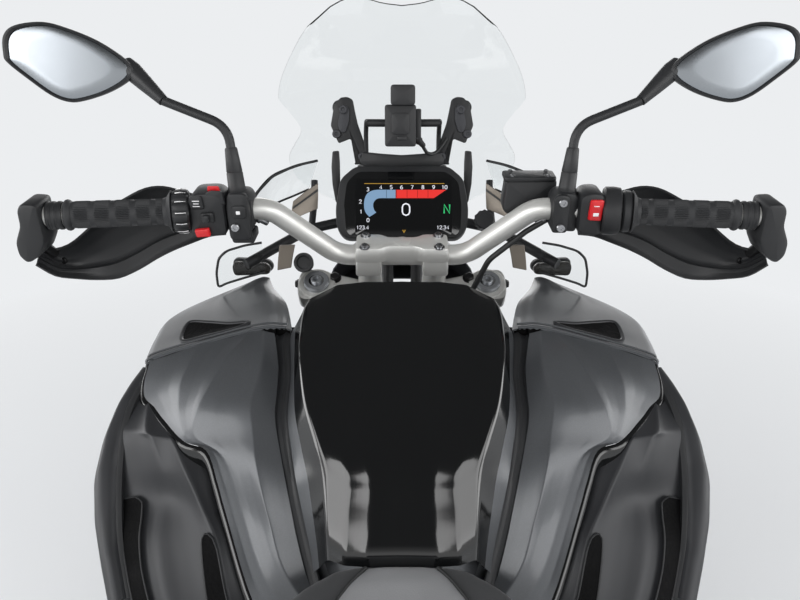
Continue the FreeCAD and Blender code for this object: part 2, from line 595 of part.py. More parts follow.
def engine():
    centre = Vector(0, d.crank_y, d.crank_z)
    # ahead of the crank and above it
    side_view = [(152, -62), (160, 62), (118, 132), (-60, 150), (-190, 138), (-236, 60), (-222, -110), (-120, -168), (30, -186), (112, -160)]
    case = slab("crankcase", side_view, "2 * Sizes.case_half", centre)
    front_cover = cylinder("front_cover", 96, 26, centre + Vector(0, 150, 0), Y_AXIS)
    gearbox = cylinder("gearbox", 92, 168, centre + Vector(-84, -166, -78), X_AXIS)
    clutch = cylinder("clutch_cover", 60, 236, centre + Vector(-118, -150, -20), X_AXIS)
    starter = cylinder("alternator", 60, 200, centre + Vector(-100, 10, 118), X_AXIS)
    keep("engine", fused("engine", case, front_cover, gearbox, clutch, starter))
    barrels, covers = [], []
    for word, side in (("left", -1), ("right", 1)):
        foot = centre + Vector(side * (d.case_half + d.seat_gap), -side * d.cylinder_stagger, 14)
        out = X_AXIS * side
        parts = [cylinder(f"barrel_{word}", "Sizes.bore_radius", 140, foot, out)]
        for i in range(int(d.fin_count)):
            parts.append(box(f"fin_{word}", 6, 178, 166, foot + out * (16 + 14 * i)))
        head = [(-92, -66), (-92, 66), (-66, 92), (66, 92), (92, 66), (92, -66), (66, -92), (-66, -92)]
        parts.append(slab(f"head_{word}", head, 110, foot + out * 170))
        parts.append(cylinder(f"inlet_{word}", 27, 96, foot + out * 150 + Vector(0, -60, 60), Vector(-0.62 * side, -0.4, 0.67)))
        barrels.append(fused(f"cylinder_{word}", *parts))
        inner, outer = foot + out * (225 + d.seat_gap), centre + Vector(side * d.cylinder_reach, -side * d.cylinder_stagger, 14)
        steps = [(inner, 0.97, 0.97), (inner + out * 30, 0.95, 0.93), (outer - out * 8, 0.84, 0.72), (outer, 0.72, 0.6)]
        covers.append(lofted([[at + Vector(0, a * wide, b * tall) for a, b in head] for at, wide, tall in steps]))
    keep("cylinders", grouped("cylinders", *barrels))
    add("head_covers", *covers)
    # along, height, half width of the skid plate's floor
    pan = [(d.crank_y + 226, d.crank_z - 70, 84), (d.crank_y + 196, d.crank_z - 160, 112), (d.crank_y + 120, d.crank_z - 214, 124),
           (d.crank_y - 100, d.crank_z - 224, 118)]
    sections = []
    for y, z, w in pan:
        half = [(w, z - 4), (w + 32, z + 38), (w + 28, z + 40), (w - 2, z)]
        sections.append([Vector(x, y, up) for x, up in half] + [Vector(-x, y, up) for x, up in reversed(half)])
    add("skid_plate", lofted(sections))


def exhaust():
    y, z = d.crank_y, d.crank_z
    runs = []
    for side in (-1, 1):
        port = Vector(side * (d.case_half + 170), y - side * d.cylinder_stagger + 20, z - 78.4)
        runs.append(tube([port, port - Z_AXIS * 60, Vector(side * 200, y - 60, z - 172), Vector(side * 150, y - 190, z - 196),
                          Vector(side * 70, y - 300, z - 196)], 20, 60))
    chamber = [(-92, -22), (-92, 24), (-70, 38), (70, 38), (92, 24), (92, -22), (70, -34), (-70, -34)]
    box_body = slab("collector", chamber, 128, Vector(0, y - 310, z - 200), FreeCAD.Rotation(), "XZ_Plane")
    doc.recompute()
    link = tube([Vector(50, y - 285, z - 200), Vector(160, y - 300, z - 200), Vector(192, y - 430, z - 180), Vector(192, y - 540, z - 120),
                 Vector(192, y - 640, z - 66)], 23, 80)
    start, end = Vector(192, y - 640, z - 66), Vector(212, y - 1010, z + 96)
    line = (end - start).normalize()
    # along the silencer, and its radius
    stations = [(0, 30), (40, 60), (330, 66), (390, 58), (402, 44)]
    rings = [Part.Wire(Part.Circle(start + line * at, line, radius).toShape()) for at, radius in stations]
    silencer = Part.makeLoft(rings, True, True)
    add("exhaust", box_body.Shape.fuse([*runs, link]))
    add("silencer", silencer.cut(link))


def frame():
    r, half = d.frame_tube_radius, d.frame_half
    neck = steer(0, 0, d.yoke_height - d.yoke_thickness - 5)
    low = neck - AXIS_UP * 84
    tubes = [bar_between(neck, neck - AXIS_UP * 100, 30)]
    lug = Vector(0, d.stand_pivot_y, d.stand_pivot_z)
    for side in (-1, 1):
        x = side * half
        tubes += [
            tube([neck - AXIS_UP * 42, Vector(side * 92, 330, 946), Vector(x, 90, 800), Vector(x, -60, 620), Vector(x, -104, 470),
                  Vector(x, -110, 330)], r, 80),
            tube([low, Vector(side * 100, 380, 830), Vector(x, 330, 690)], r - 3, 60),
            bar_between(Vector(x, 330, 690), Vector(x, 40, 752), r - 4),
            tube([Vector(x, 70, 786), Vector(side * 112, -240, 838), Vector(side * 108, -640, 908)], r - 5, 80),
            bar_between(Vector(x, -78, 590), Vector(side * 110, -430, 866), r - 5),
            Part.makeBox(8, 80, 60, Vector(x - 4 + side * 6, d.stand_pivot_y - 20, d.stand_pivot_z - 18)),
        ]
    for y, z, at in ((-104, 470, half), (40, 752, half), (-600, 900, 108)):
        tubes.append(Part.makeCylinder(r - 4, 2 * at, Vector(-at, y, z), X_AXIS))
    pin = Part.makeCylinder(d.stand_pin_radius, 2 * half + 24, lug - X_AXIS * (half + 12), X_AXIS)
    bracket = box_shape(Vector(0, 430, 876), 60, 46, 40)
    knuckle, line = SIDE_STAND_PIVOT, SIDE_STAND_AXIS
    side = SIDE_STAND_HALF + d.seat_gap
    ear = bar_between(knuckle + line * side, knuckle + line * (side + 15), 16)
    bolt = bar_between(knuckle - line * (side + 1), knuckle + line * (side + 8), d.side_stand_pin)
    strap = bar_between(knuckle + line * (side + 8), Vector(-half, -108, 338), 7)
    frame_shape = tubes[0].fuse([*tubes[1:], pin, bracket, ear, bolt, strap])
    doc.recompute()
    add("frame", frame_shape.cut(pieces["engine"].Shape))


def suspension():
    ball = steer(0, 0, BRIDGE_UP - d.bridge_thickness / 2 - d.seat_gap)
    boss = bar_between(ball, ball - AXIS_UP * 48, 20)
    arms = []
    for side in (-1, 1):
        start = ball - AXIS_UP * 33 - AXIS_AHEAD * 6 + X_AXIS * (side * 5)
        arms.append(tube([start, Vector(side * 90, 478, 622), Vector(side * 108, 392, 604)], 13, 50))
    pad = Part.makeCylinder(13, 150, Vector(-75, 500, 634), X_AXIS)
    doc.recompute()
    add("control_arm", boss.fuse([*arms, pad]).cut(pieces["engine"].Shape))
    struts = []
    for low, high, body in ((Vector(0, 496, 636), Vector(0, 436, 856), 27), (Vector(0, -250, 420), Vector(0, -176, 740), 33)):
        line = (high - low).normalize()
        span = (high - low).Length
        parts = [bar_between(low, high, 11)]
        for i in range(7):
            parts.append(bar_between(low + line * (40 + i * (span - 90) / 7), low + line * (48 + i * (span - 90) / 7), body))
        parts.append(bar_between(high - line * 60, high - line * 8, body - 4))
        struts.append(parts[0].fuse(parts[1:]).cut(Part.makeCompound([pieces["frame"].Shape, pieces["control_arm"].Shape])))
    add("suspension_struts", *struts)


def swingarm():
    near = REAR_AXLE + Vector(-150, 0, 0)
    arm = tube([Vector(-96, -60, 440), Vector(-128, -260, 420), Vector(-140, -560, 370), REAR_AXLE + Vector(-138, 60, 6)], 38, 160)
    drive = cylinder("final_drive", 88, 62, REAR_AXLE + Vector(-158, 0, 0), X_AXIS)
    axle = cylinder("rear_axle", "Sizes.axle_radius", 190, REAR_AXLE + Vector(-100, 0, 0), X_AXIS)
    stay = bar_between(Vector(-104, -120, 520), REAR_AXLE + Vector(-128, 40, 70), 12)
    yoke_block = box_shape(Vector(0, -252, 416), 190, 36, 40)
    caliper = slab("rear_caliper", [(60, 70), (96, 40), (132, 80), (120, 134), (70, 128)], 40, REAR_AXLE + X_AXIS * (-d.rear_disc_offset - 6))
    lug = bar_between(Vector(-86, -598, 420), Vector(-125, -598, 380), 10)
    doc.recompute()
    slot = Part.makeCylinder(d.rear_disc_radius + 5, d.disc_thickness + 10,
                             REAR_AXLE - X_AXIS * (d.rear_disc_offset + d.disc_thickness / 2 + 5), X_AXIS)
    shape = arm.fuse([drive.Shape, axle.Shape, stay, yoke_block, lug, caliper.Shape.cut(slot)])
    rest = [pieces[name].Shape for name in ("engine", "frame")]
    eye = bar_between(Vector(0, -245.4, 440), Vector(0, -256, 394), 11 + d.seat_gap)
    add("swingarm", shape.cut(Part.makeCompound([*rest, eye])))


def bodywork():
    t = d.panel_thickness
    # station, low half width, high half width, bottom, shoulder, top
    tank = [(58, 74, 58, 800, 868, 914), (98, 96, 74, 800, 914, 962), (165, 138, 96, 806, 966, 1012), (230, 160, 112, 820, 1004, 1046),
            (300, 168, 118, 846, 1030, 1066)]
    sections = []
    for y, low, high, bottom, shoulder, top in tank:
        half = [(low, bottom), (low, shoulder - 30), (high, shoulder), (high * 0.5, top)]
        sections.append([Vector(x, y, z) for x, z in half] + [Vector(-x, y, z) for x, z in reversed(half)])
    add("fuel_tank", lofted(sections).cut(pieces["frame"].Shape))
    # station, half width at the edge, half width of the flat, edge height, top
    cover = [(52, 78, 60, 900, 926), (98, 72, 46, 948, 977), (165, 96, 66, 1000, 1030), (230, 120, 92, 1036, 1066),
             (296, 127, 106, 1058, 1091), (322, 116, 98, 1076, 1099), (336, 84, 76, 1092, 1102)]
    grid = [[Vector(-edge, y, side_z), Vector(-flat, y, top), Vector(flat, y, top), Vector(edge, y, side_z)]
            for y, edge, flat, side_z, top in cover]
    add("tank_cover", plate(grid, Vector(0, 0, -t)).cut(pieces["fuel_tank"].Shape))

    # inner edge, crease, shoulder, outer edge, lower edge; front to rear
    panel_rows = [
        [(140, 352, 1046), (215, 483, 1040), (337, 420, 1010), (346, 410, 980), (330, 420, 900)],
        [(140, 300, 1046), (180, 292, 1042), (325, 281, 1017), (340, 270, 985), (322, 290, 880)],
        [(142, 238, 1010), (172, 268, 1018), (317, 248, 985), (330, 240, 950), (300, 250, 850)],
        [(134, 157, 968), (200, 190, 960), (232, 188, 944), (262, 200, 920), (262, 200, 830)],
        [(107, 98, 935), (150, 130, 900), (205, 154, 880), (225, 150, 850), (220, 140, 790)],
        [(80, 56, 890), (110, 60, 850), (160, 84, 800), (175, 80, 780), (170, 80, 750)],
    ]
    panel = plate(points_of(panel_rows), Vector(-t * 1.2, 0, -t))
    panel = main_solid(panel.cut(Part.makeCompound([pieces[name].Shape for name in ("fuel_tank", "tank_cover", "frame")])))
    # inner edge, ridge, outer edge, skirt; front to rear
    cowl_rows = [
        [(330, 470, 980), (352, 440, 975), (366, 400, 960), (345, 420, 850)],
        [(336, 300, 960), (356, 330, 962), (372, 330, 955), (352, 330, 800)],
        [(300, 240, 915), (345, 230, 930), (376, 206, 928), (352, 240, 760)],
        [(250, 180, 860), (300, 170, 880), (366, 150, 890), (340, 170, 730)],
        [(200, 100, 780), (250, 95, 800), (322, 75, 815), (300, 90, 720)],
    ]
    cowl = main_solid(plate(points_of(cowl_rows), Vector(-t, 0, -t * 1.5)).cut(panel))
    stays = [bar_between(Vector(d.frame_half + 6, 330, 700), Vector(250, 380, 790), 8)]
    radiator = box_shape(Vector(240, 392, 830), 150, 42, 200, -8)
    radiator = radiator.fuse(stays).cut(Part.makeCompound([cowl, panel, pieces["frame"].Shape]))
    add("tank_panels", mirrored(panel), panel)
    add("cowls", mirrored(cowl), cowl)
    add("radiators", mirrored(radiator), radiator)


def cockpit():
    t = d.screen_thickness
    # centre's station, height, half width
    screen = [(580, 1417, 88), (596, 1381, 136), (632, 1290, 184), (638, 1276, 181), (650, 1230, 158), (662, 1188, 180),
              (672, 1143, 168), (688, 1096, 120)]
    grid = []
    for y, z, half in screen:
        grid.append([Vector(half * f, y - 50 * (half * f / 180) ** 2, z) for f in (-1, -0.66, -0.33, 0, 0.33, 0.66, 1)])
    windscreen = plate(grid, Vector(0, -t, 0))
    upper = plate(points_of([[(134, 604, 1185), (154, 624, 1129)], [(202, 570, 1172), (221, 594, 1109)], [(235, 542, 1139), (247, 554, 1087)]]),
                  Vector(-t, 0, 0))
    lower = plate(points_of([[(212, 492, 1092), (208, 484, 1045)], [(262, 474, 1084), (270, 468, 1036)]]), Vector(0, -t, 0))
    lean = math.radians(d.display_lean)
    facing = Vector(0, -math.cos(lean), math.sin(lean))
    centre = Vector(0, 502, 1152)
    half, tall = "Sizes.display_width / 2", "Sizes.display_height / 2"
    right = [(f"{half} - 14", f"-{tall}"), (f"{half} - 2", f"14 - {tall}"), (half, "-12"), (f"{half} - 6", "36"),
             (f"{half} - 28", tall)]
    corners = right + [(f"-({u})", v) for u, v in reversed(right)]
    housing = slab("display", corners, "Sizes.display_depth", centre - facing * (d.display_depth / 2),
                   FreeCAD.Rotation(X_AXIS, -d.display_lean), "XZ_Plane")
    keep("display", housing)
    doc.recompute()
    rods = []
    for side in (-1, 1):
        rods.append(tube([Vector(side * 93, 604, 1268), Vector(side * 72, 590, 1180), Vector(side * 62, 572, 1100)], 9, 40))
        rods.append(tube([Vector(side * 24, 572, 1100), Vector(side * 24, 548, 1000), Vector(side * 24, 480, 920)], 10, 40))
        rods.append(tube([Vector(side * 62, 572, 1100), Vector(side * 150, 566, 1082), Vector(side * 238, 476, 1062)], 8, 30))
        rods.append(bar_between(Vector(side * 62, 572, 1102), Vector(side * 62, 500, 1136), 7))
        rods.append(bar_between(Vector(side * 150, 568, 1080), Vector(side * 142, 612, 1148), 6))
        rods.append(bar_between(Vector(side * 90, 602, 1262), Vector(side * 96, 628, 1262), 7))
    rods += [Part.makeCylinder(7, 140, Vector(-70, 584, 1160), X_AXIS),
             bar_between(Vector(0, 572, 1100), Vector(0, 700, 1062), 8), Part.makeCylinder(11, 140, Vector(-70, 572, 1100), X_AXIS)]
    clear = Part.makeCompound([windscreen, housing.Shape, pieces["frame"].Shape])
    add("cockpit_frame", main_solid(rods[0].fuse(rods[1:]).cut(clear)))
    add("windscreen", windscreen)
    cradle = [Part.makeCylinder(6, 120, Vector(-60, 540, 1262), X_AXIS), box_shape(Vector(0, 520, 1270), 52, 24, 90, 12)]
    for side in (-1, 1):
        cradle.append(tube([Vector(side * 52, 541, 1262), Vector(side * 52, 580, 1262), Vector(side * 52, 584, 1160)], 4, 12))
    cradle.append(tube([Vector(20, 524, 1240), Vector(42, 536, 1216), Vector(66, 576, 1222)], 3, 20))
    add("nav_cradle", cradle[0].fuse(cradle[1:]).cut(pieces["cockpit_frame"].Shape))
    deflector = [shape.cut(pieces["cockpit_frame"].Shape) for shape in (upper, lower)]
    add("deflectors", *[mirrored(shape) for shape in deflector], *deflector)
    lamp = box_shape(Vector(225, 512, 1064), 58, 24, 18).cut(pieces["cockpit_frame"].Shape)
    add("front_indicators", mirrored(lamp), lamp)
    # station, half width, underside, top
    nose = [(628, 130, 950, 1030), (700, 100, 936, 1024), (800, 72, 905, 968), (900, 46, 866, 902), (960, 18, 842, 858)]
    sections = [[Vector(-w, y, low), Vector(-w * 0.6, y, top), Vector(w * 0.6, y, top), Vector(w, y, low)] for y, w, low, top in nose]
    add("nose", lofted(sections))
    lens = [(-94, 0), (-60, 30), (60, 30), (94, 0), (70, -30), (-70, -30)]
    lamp_body = slab("headlamp_body", lens, 70, Vector(0, 690, 1062), FreeCAD.Rotation(), "XZ_Plane")
    doc.recompute()
    rest = Part.makeCompound([pieces["nose"].Shape, pieces["cockpit_frame"].Shape])
    add("headlamp", lamp_body.Shape.cut(rest))


def cushion(label, rows):
    """A seat cushion through stations of (along, half width, underside, top)."""
    sections = []
    for y, w, low, top in rows:
        half = [(w * 0.9, low), (w, (low + top) / 2), (w * 0.88, top - 10), (w * 0.5, top)]
        sections.append([Vector(x, y, z) for x, z in half] + [Vector(-x, y, z) for x, z in reversed(half)])
    return add(label, lofted(sections).cut(pieces["frame"].Shape))


def seats_and_tail():
    cushion("rider_seat", [(48, 86, 872, 918), (30, 112, 868, 914), (14, 132, 862, 910), (-12, 148, 856, 906),
                           (-120, 156, 852, 898), (-260, 162, 862, 900), (-330, 158, 880, 928)])
    cushion("passenger_seat", [(-334, 150, 892, 962), (-440, 148, 906, 966), (-600, 128, 930, 970), (-640, 108, 940, 962)])
    r = d.rack_tube_radius
    hoop = tube([Vector(-112, -420, 880), Vector(-166, -460, 930), Vector(-166, -580, 982), Vector(-120, -880, 1000),
                 Vector(120, -880, 1000), Vector(166, -580, 982), Vector(166, -460, 930), Vector(112, -420, 880)], r, 60)
    bars = [Part.makeCylinder(r - 2, 2 * at, Vector(-at, y, 994), X_AXIS) for y, at in ((-690, 148), (-780, 134))]
    legs = [tube([Vector(s * 108, -630, 906), Vector(s * 100, -700, 930), Vector(s * 90, -780, 992)], r - 1, 30) for s in (-1, 1)]
    near = Part.makeCompound([pieces[name].Shape for name in ("frame", "passenger_seat")])
    add("luggage_rack", hoop.fuse([*bars, *legs]).cut(near))
    spine = tube([Vector(0, -600, 888), Vector(0, -760, 900), Vector(0, -900, 860), Vector(0, -1086, 640)], 14, 60)
    number_plate = box_shape(Vector(0, -1092, 604), 180, 6, 210, -22)
    fender = plate([[Vector(-w, y, z), Vector(w, y, z)] for y, z, w in ((-560, 880, 90), (-700, 890, 90), (-880, 850, 80), (-1040, 700, 60))],
                   Vector(0, 0, -4))
    behind = box_shape(Vector(0, -1092, 604) - FreeCAD.Rotation(X_AXIS, -22).multVec(Y_AXIS) * 33, 90, 60, 260, -22)
    holder = main_solid(spine.cut(behind).fuse([fender, number_plate]).cut(pieces["frame"].Shape))
    add("plate_holder", holder)
    lamps = [box_shape(Vector(0, -838, 900), 116, 50, 40)]
    for side in (-1, 1):
        lamps.append(bar_between(Vector(side * 3, -896, 852), Vector(side * 130, -896, 852), 7).fuse(
            box_shape(Vector(side * 150, -896, 852), 50, 40, 30)))
    add("rear_lamps", *[lamp.cut(pieces["plate_holder"].Shape) for lamp in lamps])
    pegs = []
    for side in (-1, 1):
        peg = Part.makeBox(84, 44, 16, Vector(-42, -22, -8)).translated(Vector(side * 214, -64, 344))
        hanger = tube([Vector(side * (d.frame_half + 16), -110, 380), Vector(side * 150, -90, 350), Vector(side * 176, -66, 344)], 11, 20)
        rear_peg = Part.makeBox(76, 38, 14, Vector(-38, -19, -7)).translated(Vector(side * 214, -400, 500))
        rear_hanger = tube([Vector(side * 112, -330, 782), Vector(side * 160, -390, 700), Vector(side * 178, -400, 505)], 10, 60)
        pedal = tube([Vector(side * 150, -96, 330), Vector(side * 165, 20, 330), Vector(side * 175, 96, 350), Vector(side * 228, 100, 352)], 8, 14)
        pegs.append(peg.fuse([hanger, pedal]))
        pegs.append(rear_peg.fuse(rear_hanger))
    rest = Part.makeCompound([pieces[name].Shape for name in ("frame", "engine", "swingarm", "exhaust", "silencer")])
    add("footrests", *[piece.cut(rest) for piece in pegs])


def protection():
    r, half = d.crash_bar_radius, d.frame_half
    y, z = d.crank_y, d.crank_z
    bars = []
    rest = Part.makeCompound([pieces[name].Shape for name in ("engine", "skid_plate", "frame", "radiators", "cowls", "tank_panels", "cylinders")])
    for side in (-1, 1):
        loop = tube([Vector(side * 108, y + 120, z - 150), Vector(side * 200, y + 180, z - 140), Vector(side * 396, y + 150, z - 20),
                     Vector(side * 410, y + 130, z + 150), Vector(side * 392, y + 160, z + 300), Vector(side * 330, y + 200, z + 360),
                     Vector(side * 130, y + 150, z + 330), Vector(side * (half + 6), y + 110, z + 320)], r, 60)
        bars.append(main_solid(loop.cut(rest)))
    add("crash_bars", *bars)


def stands():
    r, pin = d.stand_tube_radius, d.stand_pin_radius + d.running_gap
    pivot = Vector(0, d.stand_pivot_y, d.stand_pivot_z)
    half = d.frame_half - 6
    barrel = Part.makeCylinder(pin + 7, 2 * half, pivot - X_AXIS * half, X_AXIS)
    parts = [barrel]
    for side in (-1, 1):
        parts.append(tube([pivot + Vector(side * (half - 16), 0, 0), Vector(side * 124, -138, 160), Vector(side * 150, -125, r)], r, 80))
        parts.append(Part.makeCylinder(r, 70, Vector(side * 150 - 35, -125, r), X_AXIS))
    parts.append(Part.makeCylinder(r - 2, 236, Vector(-118, -142, 180), X_AXIS))
    bore = Part.makeCylinder(pin, 2 * half + 4, pivot - X_AXIS * (half + 2), X_AXIS)
    add("centre_stand", parts[0].fuse(parts[1:]).cut(bore))

    knuckle, line = SIDE_STAND_PIVOT, SIDE_STAND_AXIS
    head = bar_between(knuckle - line * SIDE_STAND_HALF, knuckle + line * SIDE_STAND_HALF, 17)
    foot = knuckle - Y_AXIS * d.side_stand_length
    leg = bar_between(knuckle - Y_AXIS * 4, foot, d.side_stand_radius)
    floor_normal = FreeCAD.Rotation(line, -SIDE_STAND_TRAVEL).multVec(Z_AXIS)
    pad = bar_between(foot - floor_normal * 4, foot + floor_normal * 4, 24)
    reach = SIDE_STAND_HALF + 1
    hole = bar_between(knuckle - line * reach, knuckle + line * reach, d.side_stand_pin + d.running_gap)
    add("side_stand", head.fuse([leg, pad]).cut(hole))


for build in (wheels, fork, handlebar, mirrors, front_end, engine, exhaust, frame, suspension, swingarm, bodywork, cockpit,
              seats_and_tail, protection, stands):
    build()
doc.recompute()
for item in doc.Objects:
    if "Invalid" in item.State or "Error" in item.State:
        raise RuntimeError(f"{item.Label} failed: {item.State}")
os.makedirs("parts", exist_ok=True)
for label, item in pieces.items():
    shape = item.Shape
    if shape.isNull() or not shape.isValid():
        raise RuntimeError(f"{label} has no valid shape")
    if not shape.Solids or any(solid.Volume <= 0 for solid in shape.Solids):
        raise RuntimeError(f"{label} has an empty solid")
    shape.exportStep(os.path.join("parts", f"{label}.step"))
print(len(pieces), "sub-parts written")
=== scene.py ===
import json, math
import bpy, bmesh
import numpy as np
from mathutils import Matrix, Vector


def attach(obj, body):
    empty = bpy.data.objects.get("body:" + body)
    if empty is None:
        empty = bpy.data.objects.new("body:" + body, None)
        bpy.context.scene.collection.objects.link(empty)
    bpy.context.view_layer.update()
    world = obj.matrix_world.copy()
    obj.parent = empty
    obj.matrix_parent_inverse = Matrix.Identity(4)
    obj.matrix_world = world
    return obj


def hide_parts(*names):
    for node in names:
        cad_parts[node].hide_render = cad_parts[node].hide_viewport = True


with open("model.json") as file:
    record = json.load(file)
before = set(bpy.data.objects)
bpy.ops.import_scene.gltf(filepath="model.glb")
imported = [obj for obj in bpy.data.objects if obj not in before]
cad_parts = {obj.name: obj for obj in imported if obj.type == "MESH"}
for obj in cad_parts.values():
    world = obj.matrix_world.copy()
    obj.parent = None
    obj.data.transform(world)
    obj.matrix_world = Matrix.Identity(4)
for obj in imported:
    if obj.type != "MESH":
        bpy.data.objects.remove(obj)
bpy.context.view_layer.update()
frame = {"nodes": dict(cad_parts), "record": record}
scene = bpy.context.scene
mm = 0.001

# shared places of the machine, in mm: x to the rider's right, y forward, z up
rake = math.radians(24.9)
axisFoot = np.array([0, 905.4, 0.0])
axisUp = np.array([0, -math.sin(rake), math.cos(rake)])
axisAhead = np.array([0, math.cos(rake), math.sin(rake)])
barCentre = np.array([0, 414.5, 1105.0])
barBend = barCentre + (176, -21, 77)
barEnd = barCentre + (447, -75, 87)
barOut = (barEnd - barBend) / np.linalg.norm(barEnd - barBend)
frontAxle = np.array([0, 810, 325.0])
rearAxle = np.array([0, -694, 343.0])
acrossX = np.array([1.0, 0, 0])
upZ = np.array([0, 0, 1.0])
forkX, forkAhead = 130, 41.2  # a fork leg from the middle and ahead of the steering axis


def steered(x, ahead, up):  # across, ahead of the steering axis, up along it
    return axisFoot + acrossX * x + axisAhead * ahead + axisUp * up


def alongBar(x):  # the point of the bar's outer straight that far from the middle
    return barBend + barOut * ((x - barBend[0]) / barOut[0])


def unit(vector):  # each vector divided by its length
    vector = np.asarray(vector, float)
    return vector / np.linalg.norm(vector, axis=-1, keepdims=True)


# a smooth curve through control points (first axis): cubic Hermite pieces whose tangents are half the difference of
# the neighbours; each piece is sampled at equal steps
def catmull(points, steps):
    p = np.asarray(points, float)
    tangent = np.gradient(p, axis=0)
    t = np.linspace(0, 1, steps, endpoint=False).reshape((1, -1) + (1,) * (p.ndim - 1))
    a, b, ta, tb = (q[:, None] for q in (p[:-1], p[1:], tangent[:-1], tangent[1:]))
    curve = a * (2 * t**3 - 3 * t**2 + 1) + ta * (t**3 - 2 * t**2 + t) + b * (3 * t**2 - 2 * t**3) + tb * (t**3 - t**2)
    return np.concatenate([curve.reshape((-1,) + p.shape[1:]), p[-1:]])


# a polyline (last axis but one) with its corners eased: each corner is replaced by a quadratic curve from a point
# that far before it to a point that far after it, at most 0.45 of the side
def rounded(points, radius, steps=4, closed=False):
    p = np.asarray(points, float)
    if closed:
        corner, before, after = p, np.roll(p, 1, axis=-2), np.roll(p, -1, axis=-2)
    else:
        corner, before, after = p[..., 1:-1, :], p[..., :-2, :], p[..., 2:, :]
    radius = np.broadcast_to(np.asarray(radius, float), corner.shape[:-1])[..., None]
    back, on = before - corner, after - corner
    backLength = np.linalg.norm(back, axis=-1, keepdims=True) + 1e-9
    onLength = np.linalg.norm(on, axis=-1, keepdims=True) + 1e-9
    start = corner + back / backLength * np.minimum(radius, 0.45 * backLength)
    end = corner + on / onLength * np.minimum(radius, 0.45 * onLength)
    t = np.linspace(0, 1, steps + 1)[:, None]
    eased = (1 - t) ** 2 * start[..., None, :] + 2 * t * (1 - t) * corner[..., None, :] + t**2 * end[..., None, :]
    eased = eased.reshape(p.shape[:-2] + (-1, p.shape[-1]))
    return eased if closed else np.concatenate([p[..., :1, :], eased, p[..., -1:, :]], axis=-2)


# each straight span across a grid gets points between its ends, lifted by a parabola along the span's normal
def crowned(rows, crown, steps=5):
    p = np.asarray(rows, float)
    a, b = p[:, :-1, None], p[:, 1:, None]
    s = np.linspace(0, 1, steps, endpoint=False)[:, None]
    along = np.gradient(p, axis=0)[:, :-1, None]
    normal = np.cross(b - a, along)
    normal = normal / (np.linalg.norm(normal, axis=-1, keepdims=True) + 1e-9)
    width = np.linalg.norm(b - a, axis=-1, keepdims=True)
    inner = a + (b - a) * s + normal * (4 * s * (1 - s)) * crown * np.minimum(width / 60, 1)
    return np.concatenate([inner.reshape(len(p), -1, 3), p[:, -1:]], axis=1)


def circle(turn, across, up):  # unit circle: cosine of the angle along across, sine along up
    return np.cos(turn)[:, None] * across + np.sin(turn)[:, None] * up


def wheelRing(x, radius, turn):  # points round an axle: forward is radius times sine, up is radius times cosine
    return np.stack(np.broadcast_arrays(x, radius * np.sin(turn), radius * np.cos(turn)), -1)


# a grid of points as quads. Closing joins the last row or column to the first; caps fan each end to its middle; hole
# leaves out a block of quads (first row, last row, first column, last column)
def gridPatch(points, closeAlong=False, closeAcross=False, caps=False, hole=None):
    points = np.asarray(points, float)
    rows, columns = points.shape[:2]
    index = np.arange(rows * columns).reshape(rows, columns)
    index = np.vstack([index, index[:1]]) if closeAlong else index
    index = np.hstack([index, index[:, :1]]) if closeAcross else index
    quads = np.stack([index[:-1, :-1], index[:-1, 1:], index[1:, 1:], index[1:, :-1]], -1)
    kept = np.ones(quads.shape[:2], bool)
    if hole:
        kept[hole[0]:hole[1], hole[2]:hole[3]] = False
    vertices, faces = points.reshape(-1, 3), quads[kept].tolist()
    if caps:
        for row in (index[0], index[-1][::-1]):
            middle = len(vertices)
            vertices = np.vstack([vertices, vertices[row].mean(0)])
            faces += np.stack([row[1:], row[:-1], np.full(len(row) - 1, middle)], -1).tolist()
    return vertices, faces


def flipped(patch):  # the other side of the machine: x changes sign and the faces turn round
    return patch[0] * (-1, 1, 1), [face[::-1] for face in patch[1]]


def bothSides(*patches):  # each patch and its mirror image
    return [*patches, *[flipped(patch) for patch in patches]]


def smoothFaces(mesh, sharp=180):  # smooth shading, with edges over that many degrees kept sharp
    mesh.polygons.foreach_set("use_smooth", np.ones(len(mesh.polygons), bool))
    if sharp < 180:
        mesh.set_sharp_from_angle(angle=math.radians(sharp))


